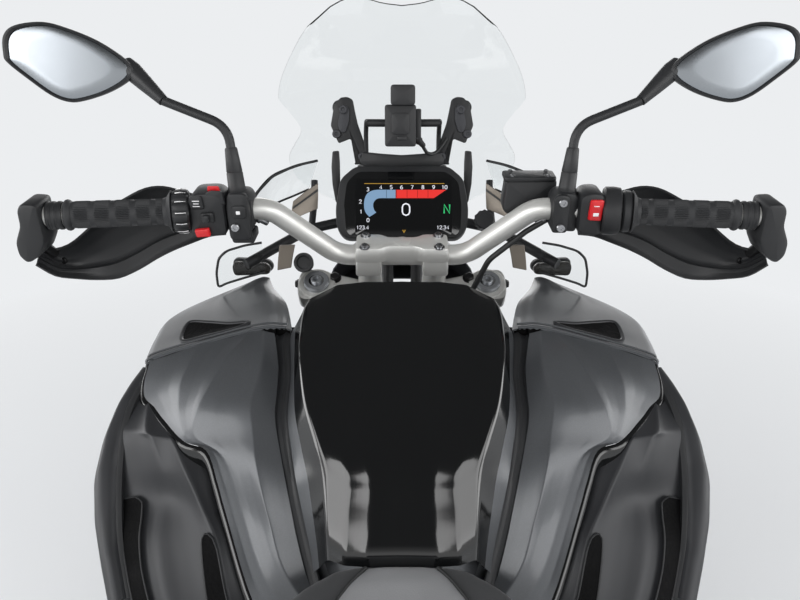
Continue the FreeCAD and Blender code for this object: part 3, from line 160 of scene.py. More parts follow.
# patches of points and faces as one object; doubles are merged, a closed shell's normals point outwards and an open
# sheet's along outward, then a wall and a bevel finish it
def makePiece(name, patches, finish, body, replaces=(), outward=None, thickness=0, bevel=0, sharp=35):
    mesh = bpy.data.meshes.new(name)
    start, vertices, faces = 0, [], []
    for points, polygons in patches:
        vertices.append(points)
        faces += [[i + start for i in polygon] for polygon in polygons]
        start += len(points)
    mesh.from_pydata((np.vstack(vertices) * mm).tolist(), [], faces)
    shape = bmesh.new()
    shape.from_mesh(mesh)
    bmesh.ops.remove_doubles(shape, verts=shape.verts, dist=0.02 * mm)
    bmesh.ops.dissolve_degenerate(shape, edges=shape.edges, dist=0.005 * mm)
    if outward is None:
        bmesh.ops.recalc_face_normals(shape, faces=shape.faces)
    shape.to_mesh(mesh)
    shape.free()
    if outward is not None:
        total = np.zeros(3)
        for polygon in mesh.polygons:
            side = np.sign(polygon.center[0]) if outward[0] else 1
            total += np.array(polygon.normal) * (side if outward[0] else 1, 1, 1) * polygon.area
        if total @ np.array(outward, float) < 0:
            mesh.flip_normals()
    smoothFaces(mesh, sharp)
    piece = bpy.data.objects.new(name, mesh)
    scene.collection.objects.link(piece)
    if thickness:
        wall = piece.modifiers.new("wall", "SOLIDIFY")
        wall.thickness, wall.offset, wall.use_even_offset = thickness * mm, -1, True
        wall.thickness_clamp = 1
        bpy.context.view_layer.update()
        thick = bpy.data.meshes.new_from_object(piece.evaluated_get(bpy.context.evaluated_depsgraph_get()))
        piece.modifiers.clear()
        piece.data = mesh = thick
        mesh.name = name
        smoothFaces(mesh, sharp)
    mesh.materials.clear()
    mesh.materials.append(finishes[finish])
    if bevel:
        edge = piece.modifiers.new("edge", "BEVEL")
        edge.width, edge.segments, edge.limit_method, edge.angle_limit = bevel * mm, 2, "ANGLE", math.radians(40)
        edge.use_clamp_overlap, edge.harden_normals = True, False
    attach(piece, body)
    if replaces:
        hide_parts(*replaces)


def lifted(loop, height):  # a plane loop with that height as its third coordinate
    return np.hstack([loop, np.full((len(loop), 1), height)])


# local (across, up, out) coordinates as points of the machine
def placed(local, origin, across, up, out):
    local = np.asarray(local, float)
    return (np.asarray(origin, float) + local[..., 0:1] * unit(across) + local[..., 1:2] * unit(up)
            + local[..., 2:3] * unit(out))


# a closed plane loop moved inwards along its own normals
def inset(loop, distance):
    side = np.roll(loop, -1, axis=0) - np.roll(loop, 1, axis=0)
    normal = unit(np.stack([-side[:, 1], side[:, 0]], -1))
    area = np.sum(loop[:, 0] * np.roll(loop[:, 1], -1) - loop[:, 1] * np.roll(loop[:, 0], -1))
    return loop + normal * distance * np.sign(area)


# a closed loop as rings along out: each station gives a ring's height and how far it is drawn in
def ringStack(loop, stations, origin, across, up, out):
    rings = [lifted(inset(loop, drawn), at) for at, drawn in stations]
    return gridPatch(placed(np.array(rings), origin, across, up, out), closeAcross=True, caps=True)


# a block with a plane outline: its corners are rounded, and it is carried along out through five stations whose
# insets round both rims; taper draws the front face in
def moulding(outline, depth, origin, across, up, out, corner=4, edge=1.5, taper=0, back=None, steps=4):
    loop = rounded(outline, corner, steps, closed=True)
    back = edge if back is None else back
    stations = [(0, back), (0.3 * back, 0.3 * back), (back, 0), (depth - edge, taper),
                (depth - 0.3 * edge, taper + 0.3 * edge), (depth, taper + edge)]
    return ringStack(loop, stations, origin, across, up, out)


def rectangle(width, height, x=0, y=0):  # its four corners about a middle
    return [(x + width / 2 * i, y + height / 2 * j) for i, j in ((-1, -1), (1, -1), (1, 1), (-1, 1))]


def mirrored(outline):  # a plane outline with x changed in sign and its order turned round
    return [(-x, y) for x, y in outline[::-1]]


# a circle (or an ellipse, by flat) carried along a path; its plane is square to the path and turned by the cross
# product with one reference direction. The radius may change along the path
def tubePatch(path, radius, sides=20, reference=(0, 0, 1), caps=True, flat=1.0):
    path = np.asarray(path, float)
    tangent = unit(np.gradient(path, axis=0))
    across = unit(np.cross(tangent, np.asarray(reference, float)))
    up = np.cross(across, tangent)
    turn = np.linspace(0, 2 * np.pi, sides, endpoint=False)
    radius = np.broadcast_to(np.asarray(radius, float), len(path))[:, None, None]
    rings = path[:, None] + radius * (np.cos(turn)[None, :, None] * across[:, None] + flat * np.sin(turn)[None, :,
        None] * up[:, None])
    return gridPatch(rings, closeAcross=True, caps=caps)


# a profile of (distance along the axis, radius) turned about the axis; ends on the axis close themselves
def lathe(profile, origin, axis, sides=32, closed=False):
    profile = np.asarray(profile, float)
    axis = unit(axis)
    helper = np.array([0, 0, 1.0]) if abs(axis[2]) < 0.9 else np.array([1.0, 0, 0])
    across = unit(np.cross(axis, helper))
    up = np.cross(axis, across)
    turn = np.linspace(0, 2 * np.pi, sides, endpoint=False)
    ring = circle(turn, across, up)
    points = np.asarray(origin, float) + profile[:, None, 0:1] * axis + profile[:, None, 1:2] * ring[None]
    return gridPatch(points, closeAcross=True, closeAlong=closed, caps=not closed)


# a socket cap screw of radius r and height h: a chamfered rim, and a recess half a radius deep
def capScrew(origin, axis, r, h):
    profile = [(-0.5, 0), (-0.5, r), (0, r), (h - 0.15 * r, r), (h, 0.86 * r), (h, 0.5 * r), (h - 0.5 * r, 0.46 * r),
               (h - 0.5 * r, 0)]
    return lathe(profile, origin, axis, 20)


# a hexagon head on a washer; six corners eased by a chamfer at the top
def hexBolt(origin, axis, radius, height):
    head = [(1.2, radius * 0.94), (height - 0.8, radius * 0.94), (height, radius * 0.8), (height, 0)]
    washer = [(0, 0), (0, radius * 1.25), (1.2, radius * 1.25), (1.2, radius * 0.94)]
    return [lathe([(0, 0), *head[:1], *head], origin, axis, 6), lathe([*washer, (1.2, 0)], origin, axis, 24)]


# sRGB hex to linear: each channel c below 0.04045 is c/12.92, above it ((c+0.055)/1.055)^2.4
def toLinear(code):
    channel = np.array([int(code[i:i + 2], 16) for i in (1, 3, 5)]) / 255
    return (*np.where(channel <= 0.04045, channel / 12.92, ((channel + 0.055) / 1.055) ** 2.4).tolist(), 1.0)


# one node with its settings (sockets by name or number, else properties) and the sockets that feed it
def addNode(tree, kind, settings=None, links=None):
    node = tree.nodes.new(kind)
    for key, value in (settings or {}).items():
        if isinstance(key, int) or key in node.inputs:
            node.inputs[key].default_value = value
        else:
            setattr(node, key, value)
    for key, source in (links or {}).items():
        tree.links.new(source, node.inputs[key])
    return node


def emptyTree(owner):  # the node tree of a material or a world with nothing in it
    owner.use_nodes = True
    owner.node_tree.nodes.clear()
    return owner.node_tree


lookSockets = {"metallic": "Metallic", "coat": "Coat Weight", "clear": "Transmission Weight", "shine": "Specular IOR Level",
               "ior": "IOR", "sheen": "Sheen Weight", "glowPower": "Emission Strength"}


# object coordinates feed a patch noise for the roughness (and for the colour, where a look has a second one) and a grain
# noise or cells for the bump; flakes are mixed over the colour by a cell pattern. Strengths that hold everywhere are
# set on the shader
def makeFinish(name, look):
    material = bpy.data.materials.new(name)
    tree = emptyTree(material)
    coords = addNode(tree, "ShaderNodeTexCoord").outputs["Object"]
    grainAt = coords
    if "stretch" in look:
        grainAt = addNode(tree, "ShaderNodeMapping", {"Scale": look["stretch"]}, {"Vector": coords}).outputs[0]
    patch = addNode(tree, "ShaderNodeTexNoise", {"Scale": 1000 / look.get("patchMm", 40), "Detail": 4.0},
                    {"Vector": coords})
    colour = None
    if "second" in look:
        colour = addNode(tree, "ShaderNodeMix", {"data_type": "RGBA", 6: toLinear(look["colour"]),
                                                 7: toLinear(look["second"])},
                         {0: patch.outputs["Fac"]}).outputs[2]
    grainScale = 1000 / look.get("grainMm", 1.0)
    if look.get("grain") == "cells":
        grain = addNode(tree, "ShaderNodeTexVoronoi", {"Scale": grainScale}, {"Vector": grainAt}).outputs["Distance"]
    else:
        grain = addNode(tree, "ShaderNodeTexNoise", {"Scale": grainScale, "Detail": 3.0, "Roughness": 0.6},
                        {"Vector": grainAt}).outputs["Fac"]
    if "flake" in look:
        cell = addNode(tree, "ShaderNodeTexVoronoi", {"Scale": 1000 / look["flakeMm"]}, {"Vector": coords})
        spark = addNode(tree, "ShaderNodeMapRange", {1: 0.55, 2: 1.0, 3: 0.0, 4: 0.55}, {0: cell.outputs["Color"]})
        colour = addNode(tree, "ShaderNodeMix", {"data_type": "RGBA", 7: toLinear(look["flake"])},
                         {0: spark.outputs[0], 6: colour}).outputs[2]
    low, high = look.get("rough", (0.4, 0.5))
    rough = addNode(tree, "ShaderNodeMapRange", {1: 0.3, 2: 0.7, 3: low, 4: high}, {0: patch.outputs["Fac"]})
    bump = addNode(tree, "ShaderNodeBump", {"Strength": look.get("strength", 0.5),
                                            "Distance": look.get("grainDepth", 0.05) * mm}, {"Height": grain})
    constant = {"Base Color": toLinear(look["colour"]), "Coat Roughness": look.get("coatRough", 0.03)}
    constant.update({socket: look[key] for key, socket in lookSockets.items() if key in look})
    if "glow" in look:
        constant["Emission Color"] = toLinear(look["glow"])
    shader = addNode(tree, "ShaderNodeBsdfPrincipled", constant, {"Roughness": rough.outputs[0], "Normal": bump.outputs[0]})
    if colour:
        tree.links.new(colour, shader.inputs["Base Color"])
    addNode(tree, "ShaderNodeOutputMaterial", None, {"Surface": shader.outputs[0]})
    return material


looks = {
    # vulcanised rubber: matt, greyed by dust
    "tyreRubber": {"colour": "#1a1a1b", "second": "#29292a", "rough": (0.72, 0.9), "grainMm": 1.5, "grainDepth": 0.25},
    # powder-coated aluminium rim: near-black with a soft gloss
    "coatedRim": {"colour": "#151517", "second": "#1d1d20", "rough": (0.25, 0.38), "coat": 0.4, "grainMm": 2.5,
                  "grainDepth": 0.02},
    # ground stainless disc: bright with fine rings
    "groundDisc": {"colour": "#b9b9ba", "second": "#a3a3a6", "metallic": 1.0, "rough": (0.22, 0.36), "grainMm": 0.8,
                   "grainDepth": 0.02},
    # hard-chromed stanchion
    "hardChrome": {"colour": "#cfd0d2", "second": "#c3c5c8", "metallic": 1.0, "rough": (0.05, 0.1), "grainMm": 3,
                   "grainDepth": 0.004},
    # sprayed aluminium fork leg
    "sprayedSilver": {"colour": "#8d9094", "second": "#9b9ea2", "metallic": 0.75, "rough": (0.3, 0.42), "grainMm": 0.9,
                      "grainDepth": 0.02},
    # bead-blasted, clear-anodised aluminium: pale, soft highlights
    "anodisedSilver": {"colour": "#d6d6d3", "second": "#c9c9c6", "metallic": 0.6, "rough": (0.32, 0.44), "grainMm": 0.7,
                       "grainDepth": 0.03, "patchMm": 25},
    # moulded rubber grip
    "gripRubber": {"colour": "#222325", "second": "#2c2d2f", "rough": (0.5, 0.68), "grainMm": 0.9, "grainDepth": 0.1},
    # glass-filled nylon moulding, spark-eroded texture
    "mouldedBlack": {"colour": "#1b1c1e", "second": "#232426", "rough": (0.42, 0.58), "grainMm": 1.1, "grainDepth": 0.08,
                     "patchMm": 60},
    # hard-anodised black caliper
    "anodisedBlack": {"colour": "#1a1a1b", "second": "#242425", "metallic": 0.5, "rough": (0.3, 0.45), "grainMm": 0.9,
                      "grainDepth": 0.03},
    # die-cast aluminium, painted dark
    "castGrey": {"colour": "#3a3b3d", "second": "#46474a", "metallic": 0.6, "rough": (0.42, 0.6), "grainMm": 1.6,
                 "grainDepth": 0.16},
    # die-cast covers in silver paint
    "castSilver": {"colour": "#97999b", "second": "#a8a9ab", "metallic": 0.7, "rough": (0.32, 0.45), "grainMm": 1.4,
                   "grainDepth": 0.08},
    # brushed aluminium sheet: long fine lines
    "brushedSheet": {"colour": "#b7b8b9", "second": "#a4a5a7", "metallic": 1.0, "rough": (0.3, 0.45), "grainMm": 0.9,
                     "grainDepth": 0.04, "stretch": (1, 0.04, 1)},
    # satin stainless exhaust, warmed by heat
    "satinSteel": {"colour": "#a9a59d", "second": "#8f877a", "metallic": 1.0, "rough": (0.25, 0.42), "grainMm": 0.8,
                   "grainDepth": 0.02, "patchMm": 90},
    # powder-coated steel tube
    "powderBlack": {"colour": "#1e1f21", "second": "#27282a", "metallic": 0.1, "rough": (0.35, 0.5), "grainMm": 1.8,
                    "grainDepth": 0.05},
    # spring steel in grey paint
    "springSteel": {"colour": "#5a5c60", "second": "#6a6c70", "metallic": 0.5, "rough": (0.3, 0.42), "grainMm": 1.5,
                    "grainDepth": 0.04},
    # grey two-coat metallic paint with flake under clear lacquer; on the tank cover's flank it is a painted reflection
    # of the bright wall in black gloss
    "metallicPaint": {"colour": "#4a4c4f", "second": "#505255", "metallic": 0.5, "rough": (0.36, 0.42), "coat": 0.5,
                      "coatRough": 0.16, "flake": "#63666b",
                      "flakeMm": 0.35, "grainMm": 9, "grainDepth": 0.008, "patchMm": 120},
    # black piano lacquer: mirror gloss over a faint orange peel
    "blackLacquer": {"colour": "#08090a", "second": "#0b0c0d", "rough": (0.11, 0.15), "coat": 0.6, "coatRough": 0.09,
                     "grainMm": 7, "grainDepth": 0.003, "patchMm": 150},
    # textured dark-grey moulding, satin
    "satinGrey": {"colour": "#2b2c2e", "second": "#313235", "metallic": 0.25, "rough": (0.36, 0.46), "grainMm": 0.8,
                  "grainDepth": 0.03, "patchMm": 90},
    # black plastic mesh, small round holes in rows; near black with its reflections cut down, it is also painted shade
    # where it stands for the dark of openings, recesses and gaps
    "blackMeshAndShade": {"colour": "#060607", "second": "#0b0b0c", "rough": (0.6, 0.8), "shine": 0.12, "grainMm": 4.5,
                     "grainDepth": 0.6, "grain": "cells", "strength": 0.8},
    # black core and fins
    "coolerBlack": {"colour": "#141415", "second": "#1c1c1d", "metallic": 0.3, "rough": (0.5, 0.7), "grainMm": 2.0,
                    "grainDepth": 0.3, "stretch": (0.1, 1, 1)},
    # clear acrylic sheet
    "clearAcrylic": {"colour": "#fbfdfd", "rough": (0.0, 0.02), "clear": 1.0, "ior": 1.38, "grainMm": 60,
                     "grainDepth": 0.002},
    # black display glass
    "displayGlass": {"colour": "#050607", "rough": (0.06, 0.1), "coat": 0.6, "grainMm": 30, "grainDepth": 0.001},
    # smoked polycarbonate lens
    "smokedLens": {"colour": "#6d6a66", "second": "#5d5a57", "rough": (0.04, 0.1), "clear": 0.75, "ior": 1.4, "grainMm": 4,
                   "grainDepth": 0.12, "grain": "cells"},
    # clear headlamp lens
    "lampLens": {"colour": "#e8ecef", "rough": (0.02, 0.05), "clear": 0.9, "ior": 1.4, "grainMm": 9, "grainDepth": 0.15,
                 "grain": "cells"},
    # embossed seat cover vinyl, for a seat that is still the plain solid
    "seatVinyl": {"colour": "#77787a", "second": "#828385", "rough": (0.5, 0.64), "grainMm": 1.6, "grainDepth": 0.14,
                  "grain": "cells",
                  "patchMm": 70, "sheen": 0.15},
    # bent steel tube, silver powder coat
    "tubeSilver": {"colour": "#9fa0a2", "second": "#aeafb1", "metallic": 0.75, "rough": (0.26, 0.4), "grainMm": 1.6,
                   "grainDepth": 0.03},
    # red lamp lens
    "redLens": {"colour": "#8e0f12", "second": "#a31418", "rough": (0.05, 0.1), "coat": 0.6, "grainMm": 5,
                "grainDepth": 0.2, "grain": "cells"},
    # cast alloy footrest
    "castRest": {"colour": "#3c3d40", "second": "#4b4c50", "metallic": 0.5, "rough": (0.5, 0.65), "grainMm": 1.3,
                 "grainDepth": 0.1},
    # oil-proof hose rubber
    "hoseRubber": {"colour": "#191a1b", "second": "#222324", "rough": (0.45, 0.6), "grainMm": 1.1, "grainDepth": 0.05},
    # silvered mirror behind glass
    "mirrorGlass": {"colour": "#989da2", "metallic": 1.0, "rough": (0.2, 0.24), "grainMm": 80, "grainDepth": 0.001},
    # pressed steel bracket in metallic dark-grey paint; its warm bronze tint is a painted reflection of warm
    # surroundings
    "greyPaintWarmReflection": {"colour": "#6e675f", "second": "#7c756c", "metallic": 0.6, "rough": (0.35, 0.48), "grainMm": 1.2,
                    "grainDepth": 0.03},
    # red switch moulding
    "switchRed": {"colour": "#c3161c", "second": "#cf2026", "rough": (0.28, 0.4), "coat": 0.2, "grainMm": 1.2,
                  "grainDepth": 0.02},
    # zinc-plated screw
    "zincScrew": {"colour": "#b5b6b8", "second": "#9b9c9f", "metallic": 1.0, "rough": (0.22, 0.36), "grainMm": 0.8,
                  "grainDepth": 0.03},
    # white printed symbol
    "printWhite": {"colour": "#e9e9ea", "rough": (0.5, 0.6), "grainMm": 2, "grainDepth": 0.01},
    # backlit display segments
    "segmentWhite": {"colour": "#101010", "glow": "#f4f6ff", "glowPower": 1.0, "rough": (0.3, 0.35)},
    "segmentGreen": {"colour": "#101010", "glow": "#35d07a", "glowPower": 0.9, "rough": (0.3, 0.35)},
    "segmentRed": {"colour": "#101010", "glow": "#f0322c", "glowPower": 0.95, "rough": (0.3, 0.35)},
    "segmentBlue": {"colour": "#101010", "glow": "#8fb4d8", "glowPower": 0.75, "rough": (0.3, 0.35)},
    "segmentAmber": {"colour": "#101010", "glow": "#d8a73c", "glowPower": 0.8, "rough": (0.3, 0.35)},
}
finishes = {name: makeFinish(name, look) for name, look in looks.items()}

slotFinish = {
    "tyre_rubber": "tyreRubber", "rim_black": "coatedRim", "disc_steel": "groundDisc", "fork_chrome": "hardChrome",
    "fork_silver": "sprayedSilver", "anodised_silver": "anodisedSilver", "grip_rubber": "gripRubber",
    "moulded_black": "mouldedBlack", "caliper_black": "anodisedBlack", "engine_grey": "castGrey",
    "cover_silver": "castSilver",
    "brushed_plate": "brushedSheet", "exhaust_steel": "satinSteel", "frame_black": "powderBlack",
    "strut_steel": "springSteel",
    "drive_grey": "castGrey", "paint_grey": "metallicPaint", "gloss_black": "blackLacquer",
    "paint_dark_grey": "metallicPaint",
    "satin_grey": "satinGrey", "radiator_black": "coolerBlack", "clear_screen": "clearAcrylic",
    "display_black": "displayGlass",
    "smoked_lens": "smokedLens", "lamp_lens": "lampLens", "seat_vinyl": "seatVinyl", "rack_steel": "tubeSilver",
    "red_lens": "redLens", "footrest_grey": "castRest", "hose_rubber": "hoseRubber",
}
nodeSlots = {row["node"]: row["material_slot"] for row in frame["record"]["subparts"]}
for node, shown in frame["nodes"].items():
    for place in shown.material_slots:
        place.material = finishes[slotFinish[nodeSlots[node]]]
print("finishes ready:", len(finishes))

# camera at the rider's eye, looking 28 degrees down; lens from a 700 px focal length at 800 px
view = {"eyeMm": (0, -482.5, 1510), "downDegrees": 28.0, "lens": 31.5, "shiftX": -0.0025}
camera = bpy.data.objects.new("camera", bpy.data.cameras.new("camera"))
scene.collection.objects.link(camera)
camera.location = np.array(view["eyeMm"]) * mm
camera.rotation_euler = (math.radians(90 - view["downDegrees"]), 0, 0)
camera.data.lens, camera.data.sensor_width, camera.data.shift_x = view["lens"], 36, view["shiftX"]
camera.data.clip_start = 0.02
scene.camera = camera

studio = {"wall": "#eceef0", "ceiling": 0.10, "horizon": 0.92, "darkFrom": 0.22, "darkTo": 0.50}
world = bpy.data.worlds.new("studio")
scene.world = world
tree = emptyTree(world)
heading = addNode(tree, "ShaderNodeTexCoord").outputs["Generated"]
height = addNode(tree, "ShaderNodeSeparateXYZ", None, {"Vector": heading}).outputs["Z"]
fall = addNode(tree, "ShaderNodeMapRange", {1: studio["darkFrom"], 2: studio["darkTo"], 3: studio["horizon"],
                                            4: studio["ceiling"]}, {0: height})
light = addNode(tree, "ShaderNodeBackground", {"Color": (1, 1, 1, 1)}, {"Strength": fall.outputs[0]})
seen = addNode(tree, "ShaderNodeBackground", {"Color": toLinear(studio["wall"]), "Strength": 1.0})
path = addNode(tree, "ShaderNodeLightPath")
mixed = addNode(tree, "ShaderNodeMixShader", None, {0: path.outputs["Is Camera Ray"], 1: light.outputs[0],
                                                    2: seen.outputs[0]})
addNode(tree, "ShaderNodeOutputWorld", None, {"Surface": mixed.outputs[0]})

lamps = [  # name, place in m, aim in m, size across and along in m, watts
    ("behindLeft", (-2.4, -2.3, 2.7), (0, 0.2, 0.9), 3.0, 1.8, 62),
    ("behindRight", (2.4, -2.3, 2.7), (0, 0.2, 0.9), 3.0, 1.8, 50),
    ("front", (0.0, 4.0, 1.5), (0, 0.2, 0.8), 3.2, 1.0, 30),
    ("windowLeft", (-3.6, 0.4, 1.6), (0, 0.2, 0.7), 2.6, 1.5, 48),
    ("sideRight", (3.6, 0.2, 1.6), (0, 0.2, 0.7), 2.6, 1.3, 36),
    ("overhead", (0.0, 0.1, 3.4), (0, 0.1, 0), 2.6, 2.6, 46),
]
for name, place, aim, across, along, watts in lamps:
    lamp = bpy.data.objects.new(name, bpy.data.lights.new(name, "AREA"))
    lamp.data.shape, lamp.data.size, lamp.data.size_y, lamp.data.energy = "RECTANGLE", across, along, watts
    lamp.location = place
    lamp.rotation_euler = (Vector(aim) - Vector(place)).to_track_quat("-Z", "Y").to_euler()
    lamp.visible_glossy = name != "overhead"  # the ceiling stays dark in the lacquer
    lamp.visible_camera = lamp.visible_transmission = False
    scene.collection.objects.link(lamp)

floorRadius = 30.0  # metres
ring = np.linspace(0, 2 * np.pi, 97)[:-1]
floorRings = np.array([[(np.cos(t) * r, np.sin(t) * r, 0) for t in ring] for r in (0.001, 3, floorRadius)])
floorMesh = bpy.data.meshes.new("floor")
verts, polys = gridPatch(floorRings, closeAcross=True)
floorMesh.from_pydata(verts.tolist(), [], polys)
floor = bpy.data.objects.new("floor", floorMesh)
scene.collection.objects.link(floor)
floorLook = bpy.data.materials.new("studioFloor")
tree = emptyTree(floorLook)
spot = addNode(tree, "ShaderNodeTexCoord").outputs["Object"]
reach = addNode(tree, "ShaderNodeVectorMath", {"operation": "LENGTH"}, {0: spot}).outputs["Value"]
away = addNode(tree, "ShaderNodeMapRange", {1: 1.1, 2: 3.0}, {0: reach}).outputs[0]
speck = addNode(tree, "ShaderNodeTexNoise", {"Scale": 1.1, "Detail": 3.0}, {"Vector": spot})
tone = addNode(tree, "ShaderNodeMix", {"data_type": "RGBA", 6: toLinear("#dfe1e4"), 7: toLinear("#e4e6e8")},
               {0: speck.outputs["Fac"]})
paint = addNode(tree, "ShaderNodeBsdfPrincipled", {"Roughness": 0.65, "Specular IOR Level": 0.2},
                {"Base Color": tone.outputs[2]})
wall = addNode(tree, "ShaderNodeEmission", {"Color": toLinear(studio["wall"]), "Strength": 1.0})
path = addNode(tree, "ShaderNodeLightPath")
sight = addNode(tree, "ShaderNodeMath", {"operation": "MAXIMUM"},
                {0: path.outputs["Is Camera Ray"], 1: path.outputs["Is Glossy Ray"]}).outputs[0]
sight = addNode(tree, "ShaderNodeMath", {"operation": "MAXIMUM"},
                {0: sight, 1: path.outputs["Is Transmission Ray"]}).outputs[0]
share = addNode(tree, "ShaderNodeMath", {"operation": "MULTIPLY"}, {0: sight, 1: away}).outputs[0]
blend = addNode(tree, "ShaderNodeMixShader", None, {0: share, 1: paint.outputs[0], 2: wall.outputs[0]})
addNode(tree, "ShaderNodeOutputMaterial", None, {"Surface": blend.outputs[0]})
floorMesh.materials.append(floorLook)
scene.view_settings.view_transform = "Standard"
print("camera, lamps and floor set")

# tank cover: gloss black, from its front edge over the break down to the seat; its outer flank is grey metallic paint,
# a painted reflection of the bright wall in the black gloss. Each station is a row from the middle outwards; the rows'
# corners are eased and a smooth curve joins the stations
coverShape = {"crown": 0.7, "ease": 7, "steps": 6}
skin = 2.5  # wall of the moulded panels
coverRows = np.array([
    [(0, 336.5, 1102), (50, 336.5, 1101.4), (84, 335, 1098), (121, 319, 1085), (139, 308, 1049)],
    [(0, 326, 1099), (50, 326, 1098), (88, 322, 1094), (125, 306, 1080), (143, 300, 1046)],
    [(0, 290, 1087), (52, 290, 1086), (92, 288, 1081), (126, 278, 1071), (143, 284, 1040)],
    [(0, 230, 1064), (48, 230, 1063), (90, 230, 1057), (124.5, 235, 1058), (138, 241, 1020)],
    [(0, 165, 1028), (44, 165, 1027), (80, 170, 1023), (112, 178, 1028), (136, 188, 996)],
    [(0, 118, 994), (38, 118, 993), (66, 122, 992), (97, 140, 1001), (129, 156, 970)],
    [(0, 98, 974), (34, 98, 973), (59, 101, 972), (86, 117, 981), (122, 130, 950)],
    [(0, 84, 958), (34, 84, 957), (60, 87, 956), (84, 102, 964), (116, 114, 930)],
    [(0, 52, 923), (36, 52, 922), (62, 56, 921), (82, 70, 928), (104, 84, 890)],
    [(0, 46, 905), (36, 46, 904), (62, 49, 903), (81, 58, 902), (100, 70, 868)],
], float)
coverGrid = catmull(rounded(crowned(coverRows, coverShape["crown"], 4), coverShape["ease"], 2), coverShape["steps"])
flankReflectionFrom = coverGrid.shape[1] - 5
makePiece("tankCoverShell", bothSides(gridPatch(coverGrid[:, :flankReflectionFrom + 1])), "blackLacquer", "chassis",
          ["tank_cover"], outward=(0, 0, 1), thickness=skin, sharp=40)
# the flank in grey metallic paint instead of black lacquer: painted reflection of the bright wall
makePiece("tankCoverFlankReflection", bothSides(gridPatch(coverGrid[:, flankReflectionFrom:])), "metallicPaint", "chassis",
          outward=(0, 0, 1), thickness=skin, sharp=40)

# black strip between the cover and the painted panels: a shallow gutter with a raised rib along its middle
stripInner = np.array([(139, 308, 1047), (143, 290, 1039), (138, 241, 1018), (136, 188, 994), (122, 130, 948),
                       (102, 82, 889), (88, 50, 850)], float)
stripOuter = np.array([(164, 304, 1042), (165, 290, 1037), (155, 249, 1013), (154, 194, 989), (136, 137, 943),
                       (120, 94, 891), (106, 60, 850)], float)
stripAcross = np.array([0, 0.12, 0.3, 0.5, 0.7, 0.88, 1])
stripSink = np.array([-1, -4, -4, -1.5, -4, -4, -1])
stripRows = stripInner[:, None] + (stripOuter - stripInner)[:, None] * stripAcross[:, None]
stripRows[:, :, 2] += stripSink
makePiece("tankSideStrip", bothSides(gridPatch(catmull(stripRows, 7))), "mouldedBlack", "chassis",
          outward=(0, 0, 1), thickness=2)

# painted tank panels: from the strip over a crease to the outer edge, which turns down in a flange
panelRows = np.array([
    [(165, 298, 1046), (180, 299, 1050), (196, 298, 1049), (262, 290, 1035), (326, 280, 1015)],
    [(158, 268, 1031), (176, 268, 1043), (212, 266, 1042), (270, 266, 1023), (330, 262, 998)],
    [(155, 250, 1018), (174, 246, 1035), (224, 240, 1031), (276, 242, 1010), (328, 247, 983)],
    [(154, 222, 1004), (176, 222, 1023), (236, 218, 1016), (276, 224, 996), (312, 232, 978)],
    [(153, 195, 991), (180, 196, 1009), (246, 198, 996), (272, 205, 983), (296, 214, 973)],
    [(145, 166, 968), (174, 168, 986), (248, 181, 973), (257, 182, 968), (264, 183, 964)],
    [(136, 138, 944), (168, 142, 965), (214, 160, 963), (226, 168, 959), (235, 175, 955)],
    [(128, 116, 919), (160, 120, 941), (196, 136, 939), (208, 142, 934), (219, 149, 928)],
    [(120, 95, 893), (150, 100, 915), (184, 114, 914), (196, 120, 909), (207, 126, 903)],
    [(108, 70, 863), (134, 70, 878), (156, 66, 866), (163, 62, 852), (170, 60, 835)],
    [(92, 50, 834), (106, 48, 840), (120, 42, 826), (126, 36, 813), (132, 30, 799)],
], float)
panelGrid = catmull(rounded(crowned(panelRows, 1.0, 3), 2, 2), 5)
makePiece("tankPanelSkin", bothSides(gridPatch(panelGrid)), "metallicPaint", "chassis",
          ["tank_panels"], outward=(1, 0, 0.6), thickness=skin, sharp=38)
# black flange that carries the strip's and the panel's front edge on below the wing; its near-black finish is painted
# shade in the gap under the wing
frontEdge = np.array([(139, 308, 1044), (148, 306, 1037), (164, 304, 1037), (165, 298, 1044), (180, 299, 1048.5),
                      (196, 298, 1048.5), (262, 290, 1033.5), (326, 280, 1013)], float)
flangeRise = np.array([0.5, 8, 11, 5, 0, -3.5, -3, -1])
flangeRows = np.stack([frontEdge + (0, -1, 0), frontEdge + (0, 5, -2),
                       frontEdge + np.stack([np.zeros(8), np.full(8, 9.0), flangeRise], -1)], 1)
makePiece("underWingShadeFlange", bothSides(gridPatch(flangeRows)), "blackMeshAndShade", "chassis",
          outward=(0, 0, 1), thickness=1.5)
# gloss black edge strip below the paint: it rolls out from the panel's outer edge and turns down
edgeRows = panelRows[:, 4, None] + np.array([(-1, 0.5, -1.5), (3.5, -3, -4), (6, -5, -12), (3, -6, -24),
                                             (-3, -5, -30)])[None]
makePiece("panelEdgeStrip", bothSides(gridPatch(catmull(rounded(edgeRows, 3, 2), 5))), "blackLacquer", "chassis",
          outward=(1, 0, 0.3), thickness=2, sharp=60)

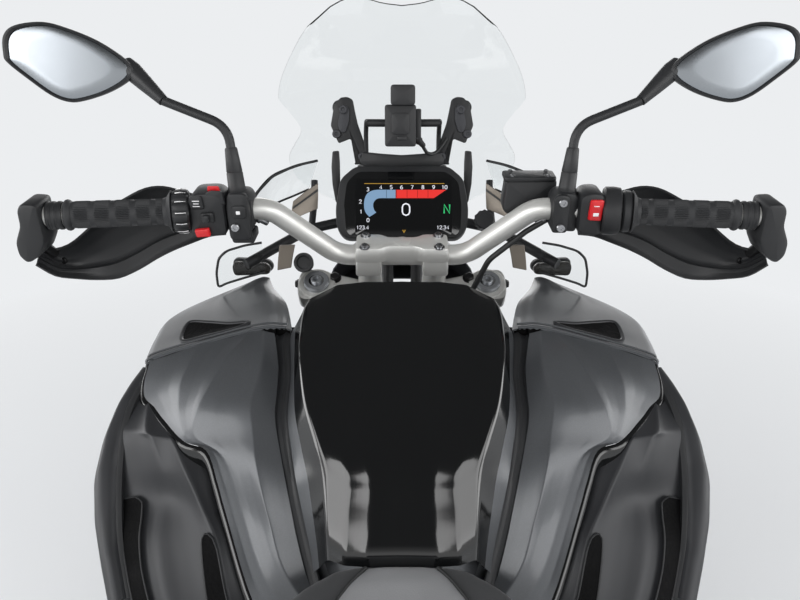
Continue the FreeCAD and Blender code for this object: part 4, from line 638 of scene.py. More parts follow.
# shoulder wing: the same panel carried forward of its crest, over the air intake, and down round its front edge
wingRows = np.array([
    [(143, 304, 1048), (158, 302, 1052), (183, 300, 1052), (245, 292, 1039), (322, 281, 1019), (332, 277, 1010),
     (334, 275, 985), (330, 276, 930)],
    [(147, 322, 1046), (165, 322, 1050), (200, 321, 1046), (255, 318, 1033), (330, 312, 1016), (340, 308, 1006),
     (342, 306, 980), (334, 306, 915)],
    [(152, 345, 1044), (172, 346, 1048), (215, 348, 1042), (265, 350, 1030), (334, 352, 1014), (344, 350, 1004),
     (346, 348, 978), (336, 348, 905)],
    [(164, 388, 1043), (184, 388, 1047), (228, 392, 1038), (275, 396, 1026), (336, 400, 1010), (345, 399, 1000),
     (346, 398, 972), (334, 400, 900)],
    [(188, 436, 1040), (206, 436, 1043), (238, 439, 1034), (272, 442, 1023), (308, 444, 1011), (319, 444, 1002),
     (322, 444, 974), (312, 446, 905)],
    [(203, 480, 1037), (212, 479, 1039), (222, 478, 1036), (231, 477, 1032), (240, 475, 1028), (246, 475, 1020),
     (250, 475, 994), (246, 476, 930)],
], float)
wingGrid = catmull(rounded(crowned(wingRows, 1.6, 3), 4, 2), 5)
makePiece("shoulderWing", bothSides(gridPatch(wingGrid)), "metallicPaint", "chassis",
          outward=(1, 0, 1), thickness=skin, sharp=38)

# raised lip where the wing meets the panel, and the black wall that hangs from the wing's inner edge
lipPath = catmull(np.array([(150, 303, 1052), (183, 301.5, 1053), (245, 293.5, 1040), (322, 282.5, 1020), (331, 279, 1011)],
                           float), 6)
makePiece("wingLip", bothSides(tubePatch(lipPath, 1.9, 10, upZ), tubePatch(lipPath + (0, 7, 1.2), 1.5, 10, upZ)),
          "metallicPaint", "chassis")
wallDrop = np.array([(0, 0, -1), (3, 0, -30), (2, 0, -64), (-10, 2, -100), (-22, 6, -140)], float)
wallRows = wingRows[:, 0, None] + wallDrop[None]
makePiece("wingInnerWall", bothSides(gridPatch(catmull(wallRows, 4))), "mouldedBlack", "chassis",
          outward=(-1, -0.2, 0.2), thickness=2)

# air intake on the wing: a raised rim round a dark mesh that is set lower; the mesh's near-black finish is partly its
# own black and partly painted shade of the opening behind it
intake = np.array([(292, 356, 1030), (262, 346, 1036), (232, 332, 1042), (203, 322, 1049), (220, 311, 1045),
                   (258, 308, 1036), (288, 309, 1028), (296, 330, 1027)], float)
loop = catmull(np.vstack([intake[-1:], intake, intake[:2]]), 6)[6:-7]
rim = tubePatch(np.vstack([loop, loop[:1]]) + (0, 0, -0.5), 3.2, 10, caps=False, flat=0.8)
middleOf = intake.mean(0)
meshRings = np.array([middleOf + (loop - middleOf) * k + (0, 0, -3.0 * (1 - k)) for k in (0.02, 0.35, 0.65, 0.9, 0.99)])
makePiece("intakeRim", bothSides(rim), "satinGrey", "chassis")
makePiece("intakeMeshAndShade", bothSides(gridPatch(meshRings + (0, 0, 0.6), closeAcross=True)), "blackMeshAndShade", "chassis",
          outward=(0, 0, 1), thickness=1)

# satin knee panel: from under the paint's flange over a ridge to the groove of the outer flare
kneeRows = np.array([
    [(318, 262, 984), (321, 260, 983), (326, 262, 984), (334, 266, 984)],
    [(272, 200, 952), (286, 200, 966), (314, 203, 968), (346, 222, 964)],
    [(258, 184, 947), (276, 184, 963), (306, 190, 960), (350, 206, 951)],
    [(230, 170, 925), (259, 160, 940), (291, 166, 934), (352, 186, 921)],
    [(214, 144, 896), (238, 133, 910), (287, 152, 902), (348, 156, 886)],
    [(196, 112, 870), (217, 106, 882), (288, 110, 870), (334, 116, 862)],
    [(172, 66, 824), (198, 62, 835), (268, 60, 828), (312, 66, 824)],
    [(150, 34, 788), (178, 30, 796), (240, 26, 792), (292, 34, 786)],
], float)
kneeGrid = catmull(rounded(crowned(kneeRows, 3.0, 4), 6, 3), 5)
makePiece("kneePanel", bothSides(gridPatch(kneeGrid)), "satinGrey", "chassis",
          outward=(0.4, -0.5, 1), thickness=skin, sharp=42)

# outer flare: its rim, the rounded top and the skirt that falls down the side
flareRows = np.array([
    [(331, 278, 1000), (335, 284, 1003), (341, 288, 1001), (345, 285, 992), (347, 290, 955), (344, 300, 885),
     (338, 312, 800)],
    [(338, 262, 990), (343, 268, 995), (351, 268, 991), (356, 260, 978), (358, 262, 930), (356, 276, 850), (348, 290, 770)],
    [(345, 240, 979), (350, 244, 984), (359, 240, 980), (364, 232, 966), (366, 228, 915), (362, 240, 840), (350, 252, 752)],
    [(350, 214, 959), (355, 216, 964), (366, 210, 960), (372, 202, 946), (373, 196, 900), (367, 204, 830), (353, 218, 742)],
    [(350, 182, 927), (356, 182, 932), (369, 176, 929), (376, 168, 916), (376, 162, 876), (367, 172, 812), (350, 188, 736)],
    [(345, 148, 897), (350, 146, 901), (362, 140, 897), (368, 132, 884), (368, 128, 850), (359, 140, 792), (340, 156, 730)],
    [(336, 112, 864), (340, 108, 868), (349, 102, 864), (353, 95, 852), (351, 94, 824), (341, 108, 776), (322, 124, 724)],
    [(317, 68, 828), (321, 64, 832), (332, 60, 828), (335, 56, 816), (332, 58, 796), (322, 74, 760), (304, 92, 720)],
], float)
flareGrid = np.swapaxes(rounded(np.swapaxes(rounded(flareRows, 5, 3), 0, 1), 9, 4), 0, 1)
makePiece("outerFlare", bothSides(gridPatch(flareGrid)), "satinGrey", "chassis",
          ["cowls"], outward=(1, 0, 0.3), thickness=skin, sharp=42)
# the flare goes on forward of the groove, below the wing
cheekRows = np.array([
    [(331, 278, 998), (349, 286, 990), (350, 292, 955), (346, 300, 885), (338, 312, 800)],
    [(338, 330, 985), (352, 334, 978), (354, 338, 945), (352, 344, 880), (346, 350, 805)],
    [(338, 392, 978), (352, 396, 970), (354, 400, 940), (350, 404, 884), (342, 410, 825)],
    [(326, 440, 972), (338, 446, 964), (342, 450, 936), (338, 454, 892), (330, 456, 850)],
    [(300, 466, 966), (308, 472, 958), (312, 476, 936), (308, 478, 905), (302, 478, 874)],
], float)
makePiece("flareCheek", bothSides(gridPatch(catmull(rounded(cheekRows, 6, 3), 6))), "satinGrey", "chassis",
          outward=(1, 0, 0.3), thickness=skin, sharp=42)
# black groove between the knee panel and the flare
grooveOuter = catmull(flareRows[:, 0], 6)
grooveRows = np.stack([grooveOuter + drop for drop in ((1.5, 1.5, 0.5), (0, 0, 1.2), (-3, 0, 1.4), (-6.5, 0, -0.5),
                                                       (-7.5, 0, -8))], 1)
makePiece("flareGroove", bothSides(gridPatch(grooveRows)), "mouldedBlack", "chassis",
          outward=(0, 0, 1), thickness=1.5)


# a patch that follows the knee panel between two of its lines: rows run down the panel, and across it the share of the
# way goes evenly from the left border's value to the right border's; the patch is lifted most half way across
def kneeInlay(column, rowFrom, left, right, lift, parts=7):
    rows = catmull(kneeRows[:, column:column + 2], 10)[rowFrom:]
    down = np.linspace(0, 1, len(rows))
    leftEdge, rightEdge = np.interp(down, *left), np.interp(down, *right)
    share = np.linspace(0, 1, parts)[None] * (rightEdge - leftEdge)[:, None] + leftEdge[:, None]
    grid = rows[:, 0, None] + (rows[:, 1] - rows[:, 0])[:, None] * share[..., None]
    return grid + np.array([0, -0.3, 1.0]) * (lift + 12 * share * (1 - share))[..., None]


# near-black sheets laid over the knee panel, each with a thin edge: a black window in its outer lower corner, and
# beside its ridge a painted shade that stands for a recess
window = kneeInlay(2, 39, ((0, 0.05, 0.2, 0.5, 1), (0.6, 0.45, 0.43, 0.5, 0.44)), ((0, 0.04, 1), (0.86, 0.95, 0.95)), 1.6)
recessShade = kneeInlay(1, 49, ((0, 0.05, 0.15, 1), (0.1, 0.04, 0.02, 0.03)), ((0, 0.06, 0.2, 1), (0.16, 0.24, 0.28, 0.42)), 1.4)
for name, grid, look in (("flareWindow", window, "blackMeshAndShade"), ("kneeRecessShade", recessShade, "blackMeshAndShade")):
    edge = np.vstack([grid[:, 0], grid[-1, 1:-1], grid[::-1, -1], grid[0, -2:0:-1], grid[:1, 0]])
    makePiece(name, bothSides(gridPatch(grid)), look, "chassis", outward=(0, -0.3, 1), thickness=1)
    makePiece(name + "Edge", bothSides(tubePatch(edge, 1.1, 8, caps=False)), "mouldedBlack", "chassis")
print("tank cover and side panels done")

# windscreen: rows from its foot to its top edge. x = halfWidth * f, y falls back from the middle by 50 * (x / 180)^2,
# and the top rows lift by the two peaks' outline, which dips in the middle
screenShape = {"thickness": 3.6, "sweep": 50, "dip": 12, "peak": 37}
screenTable = np.array([  # height, half width, middle's y, share of the peaks
    (1096, 120, 688, 0), (1118, 146, 680, 0), (1143, 168, 672, 0), (1165, 178, 667, 0), (1188, 180, 662, 0),
    (1209, 169, 656, 0), (1230, 158, 650, 0), (1254, 168, 644, 0), (1276, 181, 638, 0), (1290, 184, 632, 0),
    (1320, 175, 622, 0.12), (1352, 158, 611, 0.42), (1374, 144, 602, 0.75), (1388, 133, 597, 1)], float)
screenTable = catmull(screenTable, 4)
f = np.sin(np.linspace(-1, 1, 41) * np.pi / 2)
peak = np.interp(np.abs(f), [0, 0.2, 0.36, 0.5, 0.62, 0.76, 0.9, 1], [0.68, 0.76, 0.92, 1.0, 0.93, 0.68, 0.28, 0])
screenX = screenTable[:, 1:2] * f
screenGrid = np.stack([screenX, screenTable[:,
                                            2:3] - screenShape["sweep"] * (screenX / 180) ** 2 - 8 * peak * screenTable[:,
                                                3:4],
                       screenTable[:, 0:1] + screenShape["peak"] * peak * screenTable[:, 3:4]], -1)
makePiece("screenSheet", [gridPatch(screenGrid)], "clearAcrylic", "chassis", ["windscreen"],
          outward=(0, 1, 0.3), thickness=screenShape["thickness"], bevel=0.8)

# screws that hold the screen: rubber collar, dished washer and a hexagon socket head
screenScrews = [((98, 627, 1262), (0.3, -0.92, 0.22)), ((60, 663, 1140), (0.12, -0.97, 0.2))]
collars, heads = [], []
for spot, axis in screenScrews:
    collars.append(lathe([(-2, 0), (-2, 9), (0, 11), (3, 11), (5, 9), (5, 0)], spot, axis, 28))
    heads.append(capScrew(np.array(spot) + unit(axis) * 5, axis, 6, 3.5))
makePiece("screenCollars", bothSides(*collars), "gripRubber", "chassis")
makePiece("screenScrewHeads", bothSides(*heads), "zincScrew", "chassis")

# screen brackets: flat castings with eased outlines, a lever and a pivot on each, arc plates and a cross beam
leanUp, leanOut = (0, 0.29, 0.957), (0, -0.957, 0.29)
navUp, navOut = (0, 0.2, 0.98), (0, -0.98, 0.2)
bracketFoot = (0, 577, 1185)
arm = [(109, 58.5), (107, 69), (103, 90), (93, 100), (83, 101), (75, 97), (72, 81), (68, 62), (53, 19), (50, 0), (74, 0),
       (66, 16), (79.5, 39), (97.5, 32)]
lever = [(98, 60), (93, 84), (86, 90), (80, 84), (80, 66), (86, 48), (94, 48)]
arc = [(107, 22), (97, 23), (96, 5), (96, -28), (99, -60), (103.5, -55), (108, -28), (109, -1)]
beam = [(-66, 6), (-60, 21), (-30, 18), (0, 16), (30, 18), (60, 21), (66, 6), (58, -2), (-58, -2)]
leanFace, navFace = (acrossX, leanUp, leanOut), (acrossX, navUp, navOut)
armBlocks = [moulding(side, 9, bracketFoot, *leanFace, corner=3, edge=1.6) for side in (arm, mirrored(arm))]
arcBlocks = [moulding(side, 6, (0, 574, 1184), *leanFace, corner=2.5, edge=1.2) for side in (arc, mirrored(arc))]
crossBlock = moulding(beam, 12, (0, 575, 1184), *leanFace, corner=4, edge=2)
makePiece("screenArms", [*armBlocks, *arcBlocks, crossBlock], "mouldedBlack", "chassis")
leverBlocks = [moulding(side, 3.5, np.array(bracketFoot) + np.array(leanOut) * 8.6, *leanFace, corner=4, edge=1)
               for side in (lever, mirrored(lever))]
pivots = [lathe([(0, 0), (0, 6.5), (3, 6.5), (4, 5.4), (4, 3), (2.4, 2.6), (2.4, 0)],
                placed([x, y, 9 + rise], bracketFoot, *leanFace), leanOut, 24)
                for x, y, rise in ((89, 82, 3), (61, 12, 0), (100, 46, 0))]
makePiece("screenLevers", [*leverBlocks, *bothSides(*pivots)], "castRest", "chassis")

# tubes that carry the cockpit: bent rods from the headstock out to the indicators and up to the display
cockpitRods = [([(24, 572, 1100), (24, 548, 1000), (24, 480, 920)], 10),
               ([(62, 572, 1100), (150, 566, 1082), (236, 480, 1060)], 8),
               ([(62, 574, 1184), (62, 572, 1102), (62, 514, 1132)], 7),
               ([(146, 568, 1081), (142, 596, 1120), (142, 612, 1148)], 5.5), ([(92, 600, 1262), (97, 626, 1262)], 6)]
rods = [tubePatch(rounded(path, 24, 6), radius, 16, (1, 0.2, 0.1)) for path, radius in cockpitRods]
spans = [tubePatch([(-70, 572, 1100), (70, 572, 1100)], 11, 18),
         tubePatch([(0, 572, 1100), (0, 640, 1080), (0, 690, 1064)], 8, 16, (1, 0, 0)),
         tubePatch([(-66, 584, 1160), (66, 584, 1160)], 7, 16)]
makePiece("cockpitTubes", [*bothSides(*rods), *spans], "powderBlack", "chassis", ["cockpit_frame"])

# holder of the navigation unit: two-step block with a release catch, its bar, posts, plug and lead
navFront = np.array([0, 526, 1229.0]) + np.array(navOut) * 19.6
navBlocks = [moulding(rectangle(34.6, 28, 1.3, 14), 16, (0, 528, 1287), *navFace, corner=5, edge=2),
             moulding(rectangle(44.5, 58, -2.2, 29), 20, (0, 526, 1229), *navFace, corner=4, edge=2),
             moulding(rectangle(8, 44, 23.5, 30), 12, (0, 527, 1229), *navFace, corner=2, edge=1.2),
             moulding(rectangle(26, 30, -2.2, 32), 2.4, navFront, *navFace, corner=6, edge=1),
             moulding(rectangle(14, 6, 0, 12), 3, navFront, *navFace, corner=2, edge=1)]
navTubes = [tubePatch([(-50, 541, 1258.5), (0, 540, 1258.5), (55, 541, 1258.5)], 5.6, 16),
            tubePatch(rounded([(-50, 541, 1258), (-53, 566, 1256), (-55, 578, 1232), (-55, 576, 1186)], 10, 5), 3.6, 14,
                      (1, 0, 0)),
            tubePatch(rounded([(55, 541, 1258), (56, 566, 1256), (56, 578, 1232), (56, 576, 1186)], 10, 5), 3.6, 14,
                      (1, 0, 0))]
makePiece("navHolder", [*navBlocks, *navTubes], "mouldedBlack", "chassis", ["nav_cradle"])
plug = lathe([(0, 0), (0, 6), (10, 6), (12, 4.6), (20, 4), (22, 3)], (19, 522, 1243), (0.6, 0.35, -0.72), 20)
lead = tubePatch(catmull([(30, 529, 1228), (38, 536, 1215), (50, 552, 1211), (60, 568, 1217), (68, 577, 1226)], 6), 2.6, 12)
makePiece("navLead", [plug, lead], "hoseRubber", "chassis")

# trims beside the display and the brackets below them, warm-tinted grey as a painted reflection; the socket at the left
# and the knob at the right
trim = np.array([[(164, 520, 1146), (146, 533, 1157), (128, 545, 1166)],
                 [(166, 513, 1134), (147, 524, 1142), (128, 538, 1148)],
                 [(167, 505, 1121), (148, 517, 1126), (129, 530, 1130)]], float)
stripe = np.array([[(163, 513.5, 1139.6), (128, 538.5, 1158.6)], [(163.4, 512.3, 1136.4), (128, 537.3, 1155.4)]], float)
bracketRows = np.array([[(183, 480, 1091), (160, 482, 1091)], [(186, 474, 1072), (164, 476, 1074)],
                [(188, 470, 1054), (167, 471, 1058)]], float)
makePiece("sideTrims", bothSides(gridPatch(catmull(trim, 4))), "greyPaintWarmReflection", "chassis",
          outward=(0, -1, 0), thickness=3, bevel=0.6)
makePiece("trimStripes", bothSides(gridPatch(stripe)), "mouldedBlack", "chassis", outward=(0, -1, 0.3),
          thickness=1)
makePiece("warmTintBrackets", bothSides(gridPatch(catmull(bracketRows, 4))), "greyPaintWarmReflection", "chassis",
          outward=(0, -1, 0), thickness=4, bevel=1)
socket = lathe([(-22, 0), (-22, 12), (0, 12), (2, 14.5), (5, 15), (7, 14), (7, 10.5), (3, 9.5), (3, 0)], (-148, 478, 1063),
               (0, -0.86, 0.5), 36)
turn = np.linspace(0, 2 * np.pi, 49)[:-1]
knobProfile = np.array([(0, 0), (0, 14), (1.5, 15), (13, 14.4), (15, 12.5), (15.4, 0)])
knobAxis, knobSpot = unit((0, -0.86, 0.5)), np.array([122.5, 500, 1122.0])
knobUp = unit(np.cross(knobAxis, acrossX))
ribbing = 1 + 0.05 * np.cos(12 * turn)[None, :] * (knobProfile[:, 0:1] > 1) * (knobProfile[:, 0:1] < 14)
ring = circle(turn, acrossX, knobUp)
knob = gridPatch(knobSpot + knobProfile[:, None, 0:1] * knobAxis + (knobProfile[:, None, 1:2] * ribbing[...,
    None]) * ring[None], closeAcross=True, caps=True)
stalk = lathe([(-40, 0), (-40, 6), (0, 6), (0, 0)], knobSpot, knobAxis, 20)
makePiece("socketAndKnob", [socket, knob, stalk, lathe([(-34, 0), (-34, 9), (-21, 9), (-21, 0)], (-148, 478, 1063),
                                                       (0, -0.86, 0.5), 24)],
          "mouldedBlack", "chassis")

# display: housing, glass and what it shows
display = {"spot": (0, 497.4, 1147.2), "depth": 27, "bezelRise": 1.4}
displaySpot = np.array(display["spot"])
displayUp, displayOut = unit((0, 0.588, 0.809)), unit((0, -0.809, 0.588))
displayFace = (acrossX, displayUp, displayOut)
halfHousing = [(84, -49.2), (96, -35), (98.5, -6), (96, 17), (92, 41.5), (70, 61.3)]
housing = halfHousing + mirrored(halfHousing)
housingBlock = moulding(housing, display["depth"], displaySpot - displayOut * display["depth"], *displayFace, corner=9,
                        edge=3.2, back=6)
makePiece("displayHousing", [housingBlock], "mouldedBlack", "chassis", ["display"])
glass = [(-69, -44.9), (73.4, -44.9), (73.4, 40.7), (-69, 40.7)]
bezel = [(-76, -46.6), (79, -46.6), (86, -38), (88, 0), (84, 36), (66, 52), (-66, 52), (-82, 36), (-86, 0), (-83, -38)]
makePiece("displayBezel", [moulding(bezel, display["bezelRise"], displaySpot - displayOut * 0.6, *displayFace, corner=8,
                                    edge=0.7)],
          "blackLacquer", "chassis")
makePiece("displayGlassPane", [moulding(glass, 0.9, displaySpot + displayOut * 0.4, *displayFace, corner=5, edge=0.4)],
          "displayGlass", "chassis")
glyphs = {  # strokes in a box 0.6 wide and 1 high
    "0": [[(0.3, 1), (0.08, 0.9), (0, 0.7), (0, 0.3), (0.08, 0.1), (0.3, 0), (0.52, 0.1), (0.6, 0.3), (0.6, 0.7),
           (0.52, 0.9), (0.3, 1)]],
    "1": [[(0.1, 0.8), (0.34, 1), (0.34, 0)]], "2": [[(0.02, 0.78), (0.12, 0.96), (0.32, 1), (0.52, 0.92), (0.58, 0.72),
                                                      (0.46, 0.5), (0, 0), (0.6, 0)]],
    "3": [[(0.02, 0.9), (0.3, 1), (0.54, 0.88), (0.54, 0.64), (0.26, 0.53), (0.56, 0.42), (0.58, 0.14), (0.3, 0),
           (0, 0.1)]],
    "4": [[(0.46, 0), (0.46, 1), (0, 0.3), (0.62, 0.3)]],
    "5": [[(0.54, 1), (0.08, 1), (0.04, 0.55), (0.34, 0.6), (0.58, 0.44), (0.58, 0.14), (0.3, 0), (0, 0.1)]],
    "6": [[(0.5, 0.98), (0.16, 0.8), (0, 0.4), (0.08, 0.08), (0.3, 0), (0.54, 0.1), (0.6, 0.32), (0.5, 0.54), (0.28, 0.58),
           (0.04, 0.44)]],
    "7": [[(0, 1), (0.6, 1), (0.2, 0)]], "8": [[(0.3, 0.54), (0.06, 0.68), (0.08, 0.92), (0.3, 1), (0.52, 0.92), (0.54,
        0.68), (0.3, 0.54), (0.02, 0.38), (0.04, 0.08), (0.3, 0), (0.56, 0.08), (0.58, 0.38), (0.3, 0.54)]],
    "9": [[(0.1, 0.02), (0.44, 0.2), (0.6, 0.6), (0.52, 0.92), (0.3, 1), (0.06, 0.9), (0, 0.68), (0.1, 0.46), (0.32, 0.42),
           (0.56, 0.56)]],
    "N": [[(0, 0), (0, 1), (0.6, 0), (0.6, 1)]], ".": [[(0.1, 0), (0.1, 0.1)]],
    ":": [[(0.1, 0.2), (0.1, 0.3)], [(0.1, 0.7), (0.1, 0.8)]],
    "V": [[(0, 0.7), (0.3, 0), (0.6, 0.7)]],
}


def ribbon(line, width, lift=1.5):  # a flat band of constant width along a line on the display, with mitred corners
    line = np.asarray(line, float)
    tangent = unit(np.gradient(line, axis=0) + 1e-9)
    side = np.stack([-tangent[:, 1], tangent[:, 0]], -1) * width / 2
    band = np.stack([line - side, line + side], 1)
    flat = np.concatenate([band, np.full(band.shape[:2] + (1,), lift)], -1)
    return gridPatch(placed(flat, displaySpot, *displayFace))


def written(text, u, v, height, width):  # strokes of each character, side by side, centred on u
    step = 0.82 * height
    widths = [0.4 if c in ".:" else 1 for c in text]
    at = u - step * sum(widths) / 2 + 0.1 * height
    bands = []
    for c, wide in zip(text, widths):
        bands += [ribbon(np.array(stroke) * height + (at, v - height / 2), width) for stroke in glyphs[c]]
        at += step * wide
    return bands


def bandBetween(outer, inner, lift=1.45):  # the strip between two lines on the display
    rows = np.stack([np.asarray(outer, float), np.asarray(inner, float)], 1)
    return gridPatch(placed(np.concatenate([rows, np.full(rows.shape[:2] + (1,), lift)], -1), displaySpot, *displayFace))


whiteMarks = written("0", 6.1, -6.3, 18, 2.0)
scaleNumbers = (("4", -31.5, 27.6), ("5", -16, 27.6), ("6", -0.7, 27.6), ("7", 15.1, 27.6), ("8", 31, 27.6),
                ("9", 46.9, 27.6), ("10", 63, 27.6), ("3", -50.5, 24.3), ("2", -61.5, 5.6), ("1", -60.5, -9.5),
                ("0", -50, -22.5))
for text, u, v in scaleNumbers:
    whiteMarks += written(text, u, v, 5.6, 0.9)
whiteMarks += written("123.4", -58, -33.5, 5.2, 0.75) + written("12:34", 60, -33.5, 5.2, 0.75)
arcOuter = catmull([(-48, -17.6), (-53.6, -11), (-55.9, -3.1), (-55.6, 8), (-51.9, 17.3), (-45, 22), (-36.3, 23.7),
                    (-20, 23.7), (-9.6, 23.7)], 4)
arcInner = catmull([(-38, -11), (-41, -7), (-42.6, -1), (-42, 4), (-39.4, 8), (-36, 10.2), (-31, 10.9), (-20, 10.9),
                    (-9.6, 10.9)], 4)
redOuter, redInner = np.linspace((-9, 23.7), (65.6, 23.7), 2), np.linspace((-9, 10.9), (47.1, 10.9), 2)
ticks = [ribbon([(u, 11.5), (u + 0.01, 23.2)], 0.5, 1.6) for u in (-23, -8, 7.5, 23, 38.5)]
shown = (("marksWhite", whiteMarks, "segmentWhite"),
         ("revBandBlue", [bandBetween(arcOuter, arcInner)], "segmentBlue"),
         ("revBandRed", [bandBetween(redOuter, redInner)], "segmentRed"),
         ("gearMark", written("N", 66.4, -5.5, 13.5, 2.2), "segmentGreen"),
         ("amberMarks", [ribbon([(-56, 33.2), (63, 33.2)], 0.8), *written("V", 3, -38.5, 6, 1.3)], "segmentAmber"),
         ("revTicks", ticks, "displayGlass"))
for name, bands, look in shown:
    makePiece(name, bands, look, "chassis", outward=displayOut)

# wind deflectors beside the screen and below it, with a dark moulded edge
upper = np.array([[(134, 604, 1183), (160, 593, 1180), (178, 584, 1176), (202, 570, 1168), (222, 553, 1150),
                   (235, 542, 1132)],
                  [(143, 615, 1158), (168, 605, 1154), (188, 597, 1148), (211, 583, 1138), (230, 562, 1121),
                   (241, 548, 1110)],
                  [(154, 624, 1129), (178, 614, 1121), (199, 605, 1115), (220, 593, 1107), (236, 573, 1097),
                   (247, 555, 1088)]], float)
lower = np.array([[(212, 492, 1090), (236, 484, 1089), (262, 475, 1084), (274, 470, 1074)],
                  [(210, 489, 1066), (238, 482, 1063), (266, 473, 1058), (280, 469, 1050)],
                  [(210, 485, 1044), (240, 478, 1038), (268, 470, 1032), (280, 468, 1026)]], float)
sheets = [np.swapaxes(catmull(np.swapaxes(sheet, 0, 1), 5), 0, 1) for sheet in (upper, lower)]
makePiece("sideDeflectors", bothSides(*[gridPatch(catmull(sheet, 4)) for sheet in sheets]),
          "clearAcrylic", "chassis", ["deflectors"], outward=(0, -1, 0), thickness=3)
edges = []
for sheet in (upper, lower):
    border = np.vstack([sheet[0], sheet[1:, -1], sheet[-1][::-1][1:]])
    edges.append(tubePatch(rounded(border, 6, 3), 1.9, 8, (0, 1, 0.1)))
makePiece("deflectorEdges", bothSides(*edges), "mouldedBlack", "chassis")

# front indicators: smoked lens over a black base
lens = [(-28, -9), (26, -11), (29, 2), (26, 11), (-24, 8), (-30, 0)]
lensBlocks, baseBlocks = [], []
for side, shape in ((1, lens), (-1, mirrored(lens))):
    face = (acrossX, (0, 0.1, 0.99), (0.1 * side, -0.99, 0.1))
    lensBlocks.append(moulding(shape, 15, (232 * side, 506, 1044), *face, corner=6, edge=3))
    wider = [(x * 1.06, y * 1.1) for x, y in shape]
    baseBlocks.append(moulding(wider, 11, (232 * side, 516, 1044), *face, corner=6, edge=1.5))
makePiece("indicatorLenses", lensBlocks, "smokedLens", "chassis", ["front_indicators"])
makePiece("indicatorBases", baseBlocks, "mouldedBlack", "chassis")
print("cockpit done")


# fork yoke, clamp and handlebar
def barTurned(profile, sides):  # a profile of (x along the bar, radius) turned about the bar's outer straight
    return lathe([((x - barBend[0]) / barOut[0], r) for x, r in profile], barBend, barOut, sides)


def beside(x, ahead=0.0, up=0.0):  # a point beside the bar's outer straight
    return alongBar(x) + np.array([0, ahead, up])


clamp = {"depth": 21.5, "screwX": 51, "screwY": 16, "screwRadius": 5.2}
yoke = {"foot": 1092, "thick": 25, "postX": 46.5, "capRise": 1119, "pinchX": 103}
clampUp, clampBack = np.array([0, -0.1045, 0.9945]), np.array([0, 0.9945, 0.1045])
clampPlan = [(-65, -23), (-29, -23), (-20, -15), (20, -15), (29, -23), (65, -23), (65, 23), (29, 23), (20, 15), (-20, 15),
             (-29, 23), (-65, 23)]
clampTop = moulding(clampPlan, clamp["depth"], barCentre + clampUp * 0.3, acrossX, clampBack, clampUp, corner=7, edge=3.2,
                    back=0.8, taper=1.2, steps=6)
seatRing = lathe([(0, 0), (0, 12), (0.9, 12), (1.3, 11.4), (1.3, 0)], barCentre + clampUp * 21.2, clampUp, 40)
makePiece("clampTopHalf", [clampTop, seatRing], "anodisedSilver", "steering", ["bar_clamp"])
clampScrews = []
for x in (-clamp["screwX"], clamp["screwX"]):
    for y in (-clamp["screwY"], clamp["screwY"]):
        spot = barCentre + acrossX * x + clampBack * y + clampUp * 21
        clampScrews.append(capScrew(spot, clampUp, clamp["screwRadius"], 4.5))
        clampScrews.append(lathe([(-0.5, 0), (-0.5, 7.4), (0.9, 7.4), (0.9, 5)], spot, clampUp, 24))
makePiece("clampScrews", clampScrews, "zincScrew", "steering")
lowerPlan = [(-18, -19), (18, -19), (18, 19), (-18, 19)]
lowerHalves = [moulding(lowerPlan, 24, barCentre + acrossX * yoke["postX"] * s - clampUp * 24, acrossX, clampBack, clampUp,
                        corner=5, edge=1.5) for s in (-1, 1)]
posts = [lathe([(0, 0), (0, 22), (3, 22), (8, 18.5), (60, 16.5), (80, 17.5), (80, 0)],
               steered(yoke["postX"] * s, 20, yoke["foot"] + yoke["thick"]), axisUp, 36) for s in (-1, 1)]
yokePlan = [(-130, 12), (-159, 12), (-159, 70), (-130, 70), (-96, 60), (-60, 45), (60, 45), (96, 60), (130, 70), (159, 70),
            (159, 12), (130, 12), (96, 2), (46, -24), (-46, -24), (-96, 2)]
yokeEase = [20, 26, 26, 20, 12, 12, 12, 12, 20, 26, 26, 20, 12, 14, 14, 12]
yokeBlock = moulding(yokePlan, yoke["thick"], steered(0, 0, yoke["foot"]), acrossX, axisAhead, axisUp, corner=yokeEase,
                     edge=2.6, steps=6)
ringWalls = [lathe([(0, 21), (0, 27.5), (2, 28.5), (26.5, 28.5), (28.4, 26.6), (28.4, 21)],
                   steered(forkX * s, forkAhead, 1090.8), axisUp, 48) for s in (-1, 1)]
makePiece("yokePlate", [yokeBlock, *ringWalls, *lowerHalves, *posts], "anodisedSilver", "steering",
          ["top_yoke"])
caps = [lathe([(0, 0), (0, 19.5), (4.5, 19.5), (6.5, 17.8), (6.5, 12), (5, 11), (5, 8.6), (9, 8.2), (10, 7.2), (10, 4.4),
               (6, 4), (6, 0)],
              steered(forkX * s, forkAhead, yoke["capRise"]), axisUp, 40) for s in (-1, 1)]
stemNut = [lathe([(0, 0), (0, 21), (2, 21), (2, 16.5), (9, 16.5), (10.5, 15), (10.5, 9), (5, 8.4), (5, 0)],
                 steered(0, 0, 1116.5), axisUp, 12)]
makePiece("forkCaps", [*caps, *stemNut], "sprayedSilver", "steering")
pinchBolts = []
for s in (-1, 1):
    pinchBolts += hexBolt(steered(yoke["pinchX"] * s, 52, 1116.5), axisUp, 8, 7)
    pinchBolts += hexBolt(steered(160.5 * s, 52, 1103), acrossX * s, 6, 5)
makePiece("yokeBolts", pinchBolts, "anodisedBlack", "steering")

